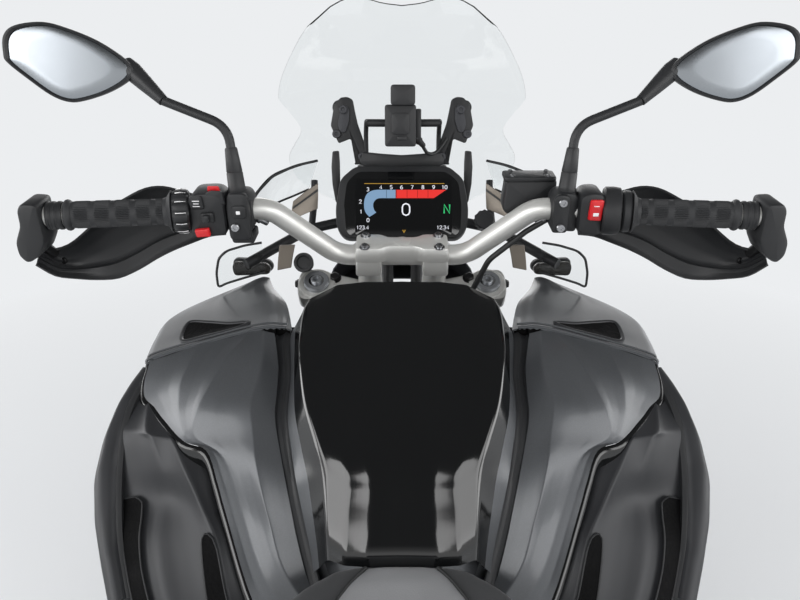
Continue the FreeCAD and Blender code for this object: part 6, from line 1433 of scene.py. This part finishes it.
discShape = {"thick": 4.6, "waves": 15, "arms": 5}
discs = [  # wheel, axle, offset across, outer radius, band's width, hub's radius
    ("front", frontAxle, 78, 152.5, 38, 34), ("front", frontAxle, -78, 152.5, 38, 34), ("rear", rearAxle, -66, 138, 36, 60)]
discParts = {"front": ([], [], []), "rear": ([], [], [])}  # bands, carriers, rivets
for name, centre, offset, radius, band, hub in discs:
    middle = centre + acrossX * offset
    outwards = 1 if offset > 0 else -1
    arms = [lathe([(-2.4, hub + 0.6), (-2.4, hub + 15), (-1, hub + 16), (1, hub + 16), (2.4, hub + 15), (2.4, hub + 0.6),
                   (-2.4, hub + 0.6)], middle, acrossX, 72, closed=True)]
    studs = []
    for k in range(discShape["arms"]):
        angle = 2 * np.pi * k / discShape["arms"]
        out = np.array([0, -math.sin(angle), math.cos(angle)])
        sideways = np.cross(acrossX, out)
        length = radius - band - hub - 4
        plan = [(-11, 0), (-7, 0.4 * length), (-6, 0.75 * length), (-9, length), (9, length), (6, 0.75 * length),
                (7, 0.4 * length), (11, 0)]
        arms.append(moulding(plan, discShape["thick"], middle - acrossX * 2.3 + out * (hub + 12), sideways, out, acrossX,
                             corner=4, edge=0.8))
        studs.append(lathe([(-3.4, 0), (-3.4, 6), (-2.6, 7), (2.6, 7), (3.4, 6), (3.4, 0)],
                           middle + out * (radius - band + 1), acrossX, 20))
        studs += hexBolt(middle + out * (hub + 9) + acrossX * 2.2 * outwards, acrossX * outwards, 5, 4)
    ringBand = discBand(middle, radius, band, discShape["thick"], discShape["waves"])
    for whole, patches in zip(discParts[name], ([ringBand], arms, studs)):
        whole.extend(patches)
for name, node in (("front", "front_discs"), ("rear", "rear_disc")):
    bands, carriers, rivets = discParts[name]
    makePiece(name + "DiscBands", bands, "groundDisc", name + "_wheel", [node], sharp=25)
    makePiece(name + "DiscCarriers", carriers, "anodisedBlack", name + "_wheel")
    makePiece(name + "DiscRivets", rivets, "zincScrew", name + "_wheel")
# toothed sensor ring beside the left front disc
sensor = {"teeth": 48, "outer": 62, "root": 57.0, "inner": 48}
turn = np.linspace(0, 2 * np.pi, sensor["teeth"] * 4, endpoint=False)
tooth = np.where(np.sin(sensor["teeth"] * turn) > 0, sensor["outer"], sensor["root"])
ringRows = [wheelRing(x, r, turn) for x, r in ((-70, sensor["inner"]), (-70, tooth), (-68.4, tooth),
                                               (-68.4, sensor["inner"]), (-70, sensor["inner"]))]
makePiece("sensorRing", [gridPatch(np.array(ringRows) + frontAxle, closeAcross=True)], "zincScrew", "front_wheel",
          sharp=30)
print("wheels done")

# flat-twin engine: finned barrels, heads, covers with their bolts
twin = {"face": 112.3, "stagger": 17, "rise": 14, "finWide": 178, "finTall": 166, "fins": 9, "firstFin": 12,
        "finPitch": 11.4}
finStations = ((0, 40), (0.2, 3), (0.9, 0.6), (1.8, 0), (2.7, 0.6), (3.4, 3), (3.6, 40))
headStations = ((113, 6), (114.5, 0), (122, 0), (123, 5), (130, 5), (131, 0), (139, 0), (140, 5), (147, 5), (148, 0),
                (156, 0), (157, 5), (164, 5), (165, 0), (223.5, 0), (225, 1.5))
coverStations = ((225.3, .975, .975), (229, .99, .99), (236, .985, .98), (252, .965, .95), (278, .935, .89),
                 (298, .89, .81), (310, .84, .74), (317, .775, .665), (319.6, .70, .585),
                 (319.7, .4, .34))  # out, shares of width and height
crank, forwardY = np.array([0, 235, 500.0]), np.array([0, 1.0, 0])
headOutline = [(-92, -66), (-92, 66), (-66, 92), (66, 92), (92, 66), (92, -66), (66, -92), (-66, -92)]
barrels, coverShells, coverBolts, plugParts, inletBoots = [], [], [], [], []
for side in (-1, 1):
    out = acrossX * side
    foot = crank + (side * twin["face"], -twin["stagger"] * side, twin["rise"])
    twinFace = (forwardY, upZ, out)
    barrels.append(lathe([(0, 0), (0, 86), (6, 86), (7, 74), (120, 72), (120, 0)], foot, out, 64))
    finLoop = rounded(rectangle(twin["finWide"], twin["finTall"]), 34, 6, closed=True)
    for i in range(twin["fins"]):
        at = twin["firstFin"] + twin["finPitch"] * i
        barrels.append(ringStack(finLoop, [(at + rise, drawn) for rise, drawn in finStations], foot, *twinFace))
    headLoop = rounded(headOutline, 20, 4, closed=True)
    barrels.append(ringStack(headLoop, headStations, foot, *twinFace))
    rings = [lifted(headLoop * (wide, tall), at) for at, wide, tall in coverStations]
    coverShells.append(gridPatch(placed(np.array(rings), foot, *twinFace), closeAcross=True, caps=True))
    for at in (-44, -22, 0, 22, 44):
        low, high = -46 + abs(at) * 0.2, 46 - abs(at) * 0.2
        plan = [(at - 3.5, low), (at + 3.5, low), (at + 3.5, high), (at - 3.5, high)]
        coverShells.append(moulding(plan, 5, foot + out * 316.5, *twinFace, corner=3.2, edge=1.6, taper=0.6))
    for a, b in ((-74, -46), (74, -46), (-74, 46), (74, 46), (0, 78), (0, -78)):
        spot = foot + out * 252 + forwardY * a + upZ * b
        coverBolts.append(lathe([(-26, 0), (-26, 11), (4, 10.4), (6, 9), (6, 0)], spot, out, 20))
        coverBolts.append(capScrew(spot + out * 6, out, 5, 5))
    plugFoot = foot + out * 214
    leadPath = [plugFoot + (0, 4, 92), plugFoot + (0, 0, 118), foot + out * 150 + (0, -40, 150), (side * 118, 170, 690)]
    plugParts.append(tubePatch(rounded(leadPath, 30, 5), 4.2, 12))
    plugParts.append(lathe([(0, 0), (0, 12), (8, 12), (10, 9), (30, 8), (32, 0)], plugFoot + (0, 4, 88), upZ, 20))
    inletLine = unit(np.array([-0.62 * side, -0.4, 0.67]))
    inletFoot = foot + out * 150 + (0, -60, 60)
    folds = [point for k in range(5) for point in ((30 + 8 * k, 28.5), (34 + 8 * k, 26))]
    ridges = [(0, 0), (0, 30), (8, 30), (9, 27), (26, 26.5), *folds, (80, 27), (81, 29.5), (88, 29.5), (89, 27), (96, 27),
              (96, 0)]
    inletBoots.append(lathe(ridges, inletFoot, inletLine, 40))
makePiece("cylinderBarrels", barrels, "castGrey", "chassis", ["cylinders"], sharp=30)
makePiece("headCoverShells", coverShells, "castSilver", "chassis", ["head_covers"], sharp=42)
makePiece("headCoverBolts", coverBolts, "zincScrew", "chassis")
makePiece("plugLeads", plugParts, "hoseRubber", "chassis")
makePiece("inletBoots", inletBoots, "hoseRubber", "chassis")

# crankcase: a front cover with spokes, round covers on each side, their bolts, the oil filler
frontCover = crank + (0, 176, 0)
caseParts = [lathe([(-3, 97), (0, 97), (3, 94), (3, 86), (0.5, 84), (0.5, 60), (4, 56), (6, 40), (6, 0), (-3, 0)],
                   frontCover, forwardY, 72)]
for k in range(6):
    angle = 2 * np.pi * k / 6 + 0.3
    radial = np.array([math.cos(angle), 0, math.sin(angle)])
    around = np.cross(forwardY, radial)
    caseParts.append(moulding([(-3, 44), (3, 44), (2.4, 84), (-2.4, 84)], 5, frontCover + (0, 1, 0), around, radial,
                              forwardY, corner=2, edge=1.2))
caseBolts = []
for k in range(10):
    angle = 2 * np.pi * k / 10
    caseBolts += hexBolt(frontCover + (90 * math.cos(angle), 2.5, 90 * math.sin(angle)), forwardY, 5, 5)
for side in (-1, 1):
    out = acrossX * side
    clutch = np.array([118.0 * side, 85, 480])
    caseParts.append(lathe([(-4, 61), (0, 61), (3, 58), (4, 50), (8, 46), (9.5, 30), (9.5, 12), (7, 10), (7, 0), (-4, 0)],
                           clutch, out, 60))
    alternator = np.array([100.0 * side, 245, 618])
    caseParts.append(lathe([(-4, 61), (0, 61), (2, 59), (2, 50), (-1, 48), (-1, 22), (3, 20), (3, 0), (-4, 0)], alternator,
                           out, 60))
    gear = np.array([84.0 * side, 69, 422])
    caseParts.append(lathe([(-4, 93), (0, 93), (2, 91), (2, 80), (-1, 78), (-1, 34), (3, 30), (3, 0), (-4, 0)], gear, out,
                           60))
    for centre, radius, count in ((clutch, 54, 7), (gear, 86, 8)):
        for k in range(count):
            angle = 2 * np.pi * k / count
            caseBolts += hexBolt(centre + out * 2 + (0, radius * math.cos(angle), radius * math.sin(angle)), out, 4.6, 5)
caseParts.append(lathe([(-4, 14), (0, 14), (2, 12), (2, 9), (0, 8.5), (0, 0), (-4, 0)], crank + (-112, 60, -70), (-1, 0, 0),
                       32))
fillerCap = [lathe([(-2, 17), (2, 17), (3, 19), (12, 19), (14, 17), (14, 0), (-2, 0)], crank + (-112, 112, 66),
                   (-1, 0.2, 0.6), 8)]
makePiece("crankcaseCovers", caseParts, "castSilver", "chassis")
makePiece("crankcaseBolts", caseBolts, "zincScrew", "chassis")
makePiece("oilFillerCap", fillerCap, "mouldedBlack", "chassis")

# silencer: a can that widens to the rear, with straps, weld beads, a heat shield and a black end cap with its outlet.
# At a distance along it the can's radius is radius + (distance - 48) * widening
silencer = {"start": (192, -405, 434.0), "end": (212, -775, 596.0), "radius": 61.6, "widening": 0.0155,
            "straps": (118, 290)}
pipeStart = np.array(silencer["start"])
pipeLine = unit(np.array(silencer["end"]) - pipeStart)


def aboutPipe(profile, sides=72):  # a closed profile of (along the can, radius) turned about its axis
    return lathe(profile, pipeStart, pipeLine, sides, closed=True)


def canRadius(at):
    return silencer["radius"] + (at - 48) * silencer["widening"]


canShell = aboutPipe([(0, 24), (2, 30), (40, 58), (48, 61), (52, 61.8), (120, 63), (240, 64.8), (330, 66), (352, 64),
                      (358, 62), (358, 20), (2, 20)])
straps = [aboutPipe([(at - 9, 60), (at - 9, 67.6), (at - 7, 68.6), (at + 7, 68.6), (at + 9, 67.6), (at + 9, 60)])
          for at in silencer["straps"]]
welds = [aboutPipe([(at - 2.4, r - 1), (at - 1.2, r + 1.4), (at + 1.2, r + 1.4), (at + 2.4, r - 1)])
         for at, r in ((48, 61), (3, 30))]
makePiece("silencerCan", [canShell, *straps, *welds], "satinSteel", "chassis", ["silencer"], sharp=40)
endCap = aboutPipe([(352, 20), (352, 65.4), (366, 65), (384, 60), (397, 52), (401, 46), (401, 40), (397, 36), (392, 27),
                    (388, 25), (388, 20)])
makePiece("silencerCap", [endCap], "mouldedBlack", "chassis")
outlet = aboutPipe([(380, 19), (380, 22), (404, 22), (405, 21), (405, 19.6), (404, 19)], 40)
baffle = lathe([(381, 0), (381, 19.5), (382, 19.5), (382, 0)], pipeStart, pipeLine, 40)
makePiece("silencerOutlet", [outlet, baffle], "anodisedBlack", "chassis")
shieldAngles = np.linspace(-0.95, 0.95, 21)
outwardX = unit(acrossX - pipeLine * (acrossX @ pipeLine))
aroundX = np.cross(pipeLine, outwardX)
shieldRows = []
for at, grow, spread in ((64, 5, 0.86), (70, 7.5, 0.95), (120, 8, 1), (200, 8, 1), (262, 8, 0.96), (268, 5.5, 0.88)):
    angle = shieldAngles * spread
    rim = canRadius(at) + grow - 1.5 * (np.abs(shieldAngles) > 0.9)
    shieldRows.append(pipeStart + pipeLine * at + rim[:, None] * circle(angle, outwardX, aroundX))
makePiece("silencerShield", [gridPatch(catmull(np.array(shieldRows), 4))], "powderBlack", "chassis",
          outward=(1, 0, 0), thickness=1.6, bevel=0.4)
shieldBolts = []
for at in (84, 250):
    for angle in (-0.55, 0.55):
        radial = math.cos(angle) * outwardX + math.sin(angle) * aroundX
        shieldBolts.append(capScrew(pipeStart + pipeLine * at + radial * (canRadius(at) + 8), radial, 5, 4))
for side in (-1, 1):
    port = np.array([side * 282.0, 235 - side * 17 + 20, 421.6])
    shieldBolts.append(lathe([(-10, 20.2), (-10, 29), (-4, 30), (0, 29), (2, 24), (2, 20.2)], port, (0, 0, 1), 40,
                             closed=True))
    shieldBolts.append(lathe([(-62, 20.2), (-62, 23), (-48, 23), (-48, 20.2)], port, (0, 0, 1), 40, closed=True))
    for a in (-24, 24):
        shieldBolts += hexBolt(port + (0, a, -10), (0, 0, -1), 5, 6)
makePiece("exhaustClamps", shieldBolts, "zincScrew", "chassis")

# struts: a helix of equal turns wound round the rod, spring plates and the damper's body turned about its line
struts = (
    {"low": (0, 496, 636.0), "high": (0, 436, 856.0), "coil": 23.5, "turns": 8, "wire": 4.6},
    {"low": (0, -250, 420.0), "high": (0, -176, 740.0), "coil": 29, "turns": 9, "wire": 4.6},
)
springParts, rodParts = [], []
for strut in struts:
    low, high, coil, turns = np.array(strut["low"]), np.array(strut["high"]), strut["coil"], strut["turns"]
    span = np.linalg.norm(high - low)
    line = (high - low) / span
    first, last = 34, span - 64
    phase = np.linspace(0, 1, turns * 22)
    angle = 2 * np.pi * turns * phase
    side = np.cross(line, acrossX)
    helix = low + line * (first + (last - first) * phase)[:, None] + coil * circle(angle, acrossX, side)
    springParts.append(tubePatch(helix, strut["wire"], 10, line))
    plate, body = coil + 5, coil - 3
    profile = [(14, 0), (14, 11), (first - 10, 12), (first - 9, plate), (first - 5, plate), (first - 4, 15),
               (first + 60, 15), (first + 62, 9), (last - 4, 9), (last - 3, 15), (last + 5, 15), (last + 5, plate),
               (last + 9, plate), (last + 10, body), (span - 18, body), (span - 14, 14), (span - 8, 12), (span - 8, 0)]
    rodParts.append(lathe(profile, low, line, 40))
makePiece("springCoils", springParts, "springSteel", "chassis", ["suspension_struts"], sharp=50)
makePiece("strutBodies", rodParts, "anodisedBlack", "chassis")

# front mudguard: a crowned arch round the axle whose sides roll down and narrow to its tips
mudguard = {"radius": 350, "halfWidth": 68.5, "front": 64, "rear": -66}
guardAngles = np.radians(np.linspace(mudguard["front"], mudguard["rear"], 27))
guardTaper = np.interp(np.degrees(guardAngles), [-66, -50, 0, 40, 58, 64], [0.72, 0.92, 1, 0.98, 0.80, 0.55])
crossU = np.array([-1.0, -0.995, -0.97, -0.88, -0.66, -0.36, -0.1, 0.0, 0.1, 0.36, 0.66, 0.88, 0.97, 0.995, 1.0])
crossDrop = np.array([-33, -20, -9, -2.5, 0.6, 1.8, 2.6, 4.0, 2.6, 1.8, 0.6, -2.5, -9, -20, -33])
guardRadius = mudguard["radius"] + crossDrop[None] * np.where(crossDrop[None] < 0, guardTaper[:, None], 1)
guardX = mudguard["halfWidth"] * crossU[None] * guardTaper[:, None]
archGrid = wheelRing(guardX, guardRadius, guardAngles[:, None]) + frontAxle
makePiece("mudguardArch", [gridPatch(catmull(archGrid, 3))], "mouldedBlack", "steering",
          ["front_mudguard"], outward=(0, 0, 1), thickness=3, bevel=0.7, sharp=50)
guardStays = []
for side in (-1, 1):
    for ahead in (forkAhead, 12):
        near, far = steered(side * 66, ahead, 655), steered(side * 108, forkAhead, 650 - (forkAhead - ahead) * 0.5)
        guardStays.append(tubePatch(rounded([near, near * 0.4 + far * 0.6 + (0, 0, 6), far], 12, 4), 6, 14))
    guardStays.append(capScrew(steered(side * 69.5, forkAhead, 655), acrossX * side, 5.5, 4))
makePiece("mudguardStays", guardStays, "anodisedBlack", "steering")

# beak under the headlamp: painted top with a raised middle, black underside that bows up. Each row is the section
# scaled to its station (distance forward, half width, underside, top)
beakRows = np.array([(628, 130, 950, 1030), (700, 100, 936, 1024), (800, 72, 905, 968), (900, 46, 866, 902),
                     (948, 26, 848, 870), (960, 15, 844, 858)], float)
beak = catmull(beakRows, 6)
beakU = np.array([-1, -0.99, -0.93, -0.74, -0.6, -0.46, -0.3, -0.1, 0, 0.1, 0.3, 0.46, 0.6, 0.74, 0.93, 0.99, 1])
beakV = np.array([0.0, 0.14, 0.4, 0.82, 0.975, 1.0, 0.96, 0.94, 0.935, 0.94, 0.96, 1.0, 0.975, 0.82, 0.4, 0.14, 0.0])
y, half, low, top = (beak[:, i:i + 1] for i in range(4))
topGrid = np.stack(np.broadcast_arrays(half * beakU, y, low + (top - low) * beakV), -1)
makePiece("beakTop", [gridPatch(topGrid)], "metallicPaint", "chassis", ["nose"], outward=(0, 0, 1),
          thickness=3, bevel=0.6)
underU = np.linspace(-0.985, 0.985, 13)
underGrid = np.stack(np.broadcast_arrays(half * underU, y, low + 3 + 9 * (1 - (underU / 0.985) ** 2)), -1)
makePiece("beakUnderside", [gridPatch(underGrid)], "mouldedBlack", "chassis", outward=(0, 0, -1),
          thickness=2.5)

# headlamp: a dark housing, two projector lenses, daylight strips and a clear cover
lampOutline = [(-94, 0), (-60, 30), (60, 30), (94, 0), (70, -30), (-70, -30)]
bezelLoop = rounded(lampOutline, 12, 4, closed=True)
lampStations = ((0, 6), (2, 1), (6, 0), (60, 0), (66, 1.5), (68, 4), (67, 7), (50, 9), (40, 12), (38, 28))
frontFace = (-acrossX, upZ, forwardY)
lampFoot = (0, 656, 1062)
makePiece("headlampHousing", [ringStack(bezelLoop, lampStations, lampFoot, *frontFace)], "mouldedBlack", "chassis",
          ["headlamp"])
projectors, glassLenses, strips = [], [], []
for x, radius in ((-44, 22), (44, 22)):
    spot = np.array([x, 690, 1061.0])
    projectors.append(lathe([(0, radius + 2.5), (14, radius + 3), (16, radius + 1.5), (15, radius), (2, radius - 2),
                             (0, radius - 2)], spot, forwardY, 48, closed=True))
    bow = np.linspace(0, np.pi / 2, 8)
    lensProfile = np.stack([4 + 11 * np.cos(bow[::-1]), (radius - 2) * np.sin(bow[::-1])], -1)
    glassLenses.append(lathe(np.vstack([lensProfile, [(4, 0)]]), spot, forwardY, 40))
    strips.append(moulding([(-26, -2), (26, -2), (24, 2), (-24, 2)], 4, (x, 702, 1035), *frontFace, corner=1.6, edge=1))
makePiece("headlampBarrels", projectors, "zincScrew", "chassis")
makePiece("headlampLenses", glassLenses + strips, "lampLens", "chassis")
coverRings = [lifted(inset(bezelLoop, 7) * scale, 66 + 3 * (1 - scale**2)) for scale in (0.02, 0.35, 0.7, 0.92, 1)]
makePiece("headlampCover", [gridPatch(placed(np.array(coverRings), lampFoot, *frontFace), closeAcross=True)],
          "clearAcrylic", "chassis", outward=(0, 1, 0), thickness=1.6)

# rear lamp, indicators, number plate (bare) and reflector
rearFace = (acrossX, upZ, (0, -1, 0))
tailOutline = [(-58, -8), (-50, 18), (50, 18), (58, -8), (46, -20), (-46, -20)]
makePiece("tailLens", [moulding(tailOutline, 12, (0, -851, 900), *rearFace, corner=8, edge=3)], "redLens", "chassis",
          ["rear_lamps"])
tailParts = [moulding(tailOutline, 36, (0, -814, 900), *rearFace, corner=8, edge=2)]
rearLenses = []
for side in (-1, 1):
    tailParts.append(tubePatch([(side * 3, -896, 852), (side * 70, -896, 853), (side * 128, -896, 852)],
                               np.array([8, 6.5, 7]), 16, upZ))
    tailParts.append(moulding([(-25, -13), (22, -15), (25, 0), (20, 13), (-22, 15)], 22, (side * 150, -879, 852), *rearFace,
                              corner=6, edge=2))
    rearLenses.append(moulding([(-23, -12), (20, -13), (23, 0), (18, 12), (-20, 13)], 14, (side * 150, -901, 852),
                               *rearFace, corner=6, edge=4))
makePiece("tailHousings", tailParts, "mouldedBlack", "chassis")
makePiece("rearIndicatorLenses", rearLenses, "smokedLens", "chassis")
plate = {"middle": (0, -1092, 604.0), "lean": math.radians(22), "width": 174, "height": 204, "rimIn": 4}
plateMiddle = np.array(plate["middle"])
plateOut = np.array([0, -math.cos(plate["lean"]), math.sin(plate["lean"])])
plateUp = np.array([0, math.sin(plate["lean"]), math.cos(plate["lean"])])
plateFace = (acrossX, plateUp, plateOut)
plateOutline = rectangle(plate["width"], plate["height"])
plateSheet = moulding(plateOutline, 1.4, plateMiddle + plateOut * 3.1, *plateFace, corner=9, edge=0.5, steps=5)
plateLoop = rounded(rectangle(plate["width"] - 2 * plate["rimIn"], plate["height"] - 2 * plate["rimIn"]), 8, 5, closed=True)
plateRim = lifted(np.vstack([plateLoop, plateLoop[:1]]), 0)
plateRim = tubePatch(placed(plateRim, plateMiddle + plateOut * 4.4, *plateFace), 0.8, 8, plateOut, caps=False)
makePiece("numberPlateSheet", [plateSheet, plateRim], "printWhite", "chassis")
plateScrews = [capScrew(plateMiddle + plateOut * 4.6 + acrossX * x + plateUp * 78, plateOut, 4, 2.4) for x in (-60, 60)]
makePiece("numberPlateScrews", plateScrews, "zincScrew", "chassis")
reflector = lathe([(0, 0), (0, 27), (4, 27), (5, 25), (5, 0)], plateMiddle + plateUp * 128 + plateOut * 3, plateOut, 40)
makePiece("rearReflector", [reflector], "redLens", "chassis")
print("engine, silencer, struts, lamps and plate done")

# shaft drive: a ribbed cover with its bolts, and folded gaiters at the shaft's joints
driveParts, driveBolts = [], []
hub = np.array([-158.0, -694, 343])
leftOut = -acrossX
driveParts.append(lathe([(-60, 60), (-60, 84), (-52, 89), (-8, 89), (-2, 84), (0, 74), (2, 70), (2, 44), (-4, 40),
                         (-4, 30)], hub, leftOut, 64, closed=True))
for k in range(12):
    angle = 2 * np.pi * k / 12
    radial = np.array([0, math.cos(angle), math.sin(angle)])
    driveParts.append(moulding([(-2.5, 46), (2.5, 46), (2.2, 69), (-2.2, 69)], 5, hub + (-1, 0, 0),
                               np.cross(leftOut, radial), radial, leftOut, corner=1.5, edge=1))
    if k % 2:
        driveBolts += hexBolt(hub + radial * 78 + (0.5, 0, 0), leftOut, 5, 5)
driveParts.append(lathe([(0, 0), (0, 17), (4, 17), (6, 14), (6, 6), (3, 5), (3, 0)], hub + (-2, -40, -50), leftOut, 6))
makePiece("finalDriveCover", driveParts, "castGrey", "chassis", sharp=34)
makePiece("finalDriveBolts", driveBolts, "zincScrew", "chassis")
gaiters = []
for at, line in (((-136, -560, 368), (-3, -74, -21)), ((-100, -84, 438), (-32, -200, -20))):
    folds = [point for k in range(5) for point in ((3 + 8 * k, 43), (7 + 8 * k, 39.5))]
    gaiters.append(lathe([(0, 38.5), *folds, (44, 42), (46, 42.5), (50, 42.5), (51, 38.5)], np.array(at, float), unit(line),
                         44, closed=True))
makePiece("shaftGaiters", gaiters, "hoseRubber", "chassis")

# footrests: toothed edges and a rubber insert with raised bars; the passenger's rests get ribbed rubbers
rests = {"rider": (214, -64, 352), "passenger": (214, -400, 505), "teeth": 9, "pitch": 8.8}
toothRows, insertParts = [], []
for side in (-1, 1):
    outward = acrossX * side
    flat = (outward, forwardY, upZ)
    spot, behind = np.array(rests["rider"]) * (side, 1.0, 1), np.array(rests["passenger"]) * (side, 1.0, 1)
    starts = [-40 + rests["pitch"] * k for k in range(rests["teeth"])]
    teeth = [point for x in starts for point in ((x, 4), (x + 3.5, 4), (x + 5, 0.5), (x + 7.4, 0.5))]
    for edge in (-1, 1):
        toothRows.append(moulding([(-40, -3), *teeth, (40, 4), (40, -3)], 3, spot + (0, edge * 18.5, 3.5), outward, upZ,
                                  (0, edge, 0),
                                  corner=0.4, edge=0.4, steps=1))
    insertParts.append(moulding(rectangle(70, 27), 6.5, spot + (0, 0, -0.4), *flat, corner=4, edge=1.6))
    for k in range(6):
        bar = spot + outward * (-27.5 + 11 * k) + (0, 0, 5.4)
        insertParts.append(moulding(rectangle(6, 25), 3, bar, *flat, corner=1.5, edge=0.9))
    insertParts.append(moulding(rectangle(62, 34), 7, behind, *flat, corner=6, edge=2))
    for k in range(7):
        rib = behind + (0, 0, 6) + outward * (-24 + 8 * k)
        insertParts.append(moulding(rectangle(3.4, 30), 2.4, rib, *flat, corner=1, edge=0.7))
makePiece("footrestTeeth", toothRows, "castRest", "chassis")
makePiece("footrestRubbers", insertParts, "gripRubber", "chassis")
print("rear hardware done")

# fork: dust seals, axle nuts and pinch bolts; calipers with a raised face, two bore covers and bolts
sealParts, forkBolts, caliperFaces = [], [], []
caliperOutline = [(-84, 28), (-60, 62), (-66, 118), (-96, 148), (-134, 128), (-140, 92), (-112, 40)]
for side in (-1, 1):
    outward = acrossX * side
    sealParts.append(lathe([(-12, 18.7), (-12, 27), (-11, 29.4), (0, 29.6), (3, 27), (8, 22.5), (8, 18.7)],
                           steered(side * forkX, forkAhead, 845), axisUp, 40, closed=True))
    forkBolts += hexBolt(frontAxle + (side * 165.2, 0, 0), outward, 12, 8)
    for rise in (-14, 14):
        forkBolts.append(capScrew(frontAxle + (side * forkX, -24.5, rise), (0, -1, 0), 5, 4))
    caliper = frontAxle + (side * 109, 0, 0)
    inner = inset(np.array(rounded(caliperOutline, 14, 4, closed=True)), 5)
    caliperFaces.append(moulding(inner, 3.5, caliper, forwardY, upZ, outward, corner=2, edge=2))
    for y, z in ((-88, 62), (-106, 104)):
        caliperFaces.append(lathe([(2, 0), (2, 20), (7, 19.4), (9, 17), (9, 12), (7, 11), (7, 0)], caliper + (0, y, z),
                                  outward, 36))
    for y, z in ((-82, 40), (-78, 122), (-126, 118), (-122, 76)):
        forkBolts.append(capScrew(caliper + (side * 3, y, z), outward, 5, 5))
makePiece("forkDustSeals", sealParts, "hoseRubber", "steering")
makePiece("forkBolts", forkBolts, "zincScrew", "steering")
makePiece("caliperFaces", caliperFaces, "castRest", "steering")

# skid plate: pressed ribs along its slope and its belly, with the bolts that hold it
ribParts, plateBolts = [], []
slopeFrom, slopeTo = np.array([0, 431, 340.0]), np.array([0, 355, 286.0])
slopeLine = unit(slopeTo - slopeFrom)
slopeOut = unit(np.cross(acrossX, slopeLine))
slopeOut = slopeOut * -np.sign(slopeOut[2])
slopeMiddle = (slopeFrom + slopeTo) / 2 + slopeOut * 0.2
bellyUp, bellyOut = unit([0, 220, 10]), unit([0, 10, -220])
for x in (-72, -36, 0, 36, 72):
    ribParts.append(moulding(rectangle(10, 72), 3.4, slopeMiddle + acrossX * x, acrossX, slopeLine, slopeOut, corner=4.5,
                             edge=2))
    ribParts.append(moulding(rectangle(10, 172), 3.4, np.array([x, 245, 280.5]), acrossX, bellyUp, bellyOut, corner=4.5,
                             edge=2))
for side in (-1, 1):
    for y in (180, 330):
        plateBolts.append(capScrew(np.array([side * 98, y, 274.5 + (y - 135) * 0.0454]), (0, 0, -1), 6, 4))
makePiece("skidPlateRibs", ribParts, "brushedSheet", "chassis")
makePiece("skidPlateBolts", plateBolts, "zincScrew", "chassis")
print("fork, calipers and skid plate details done")
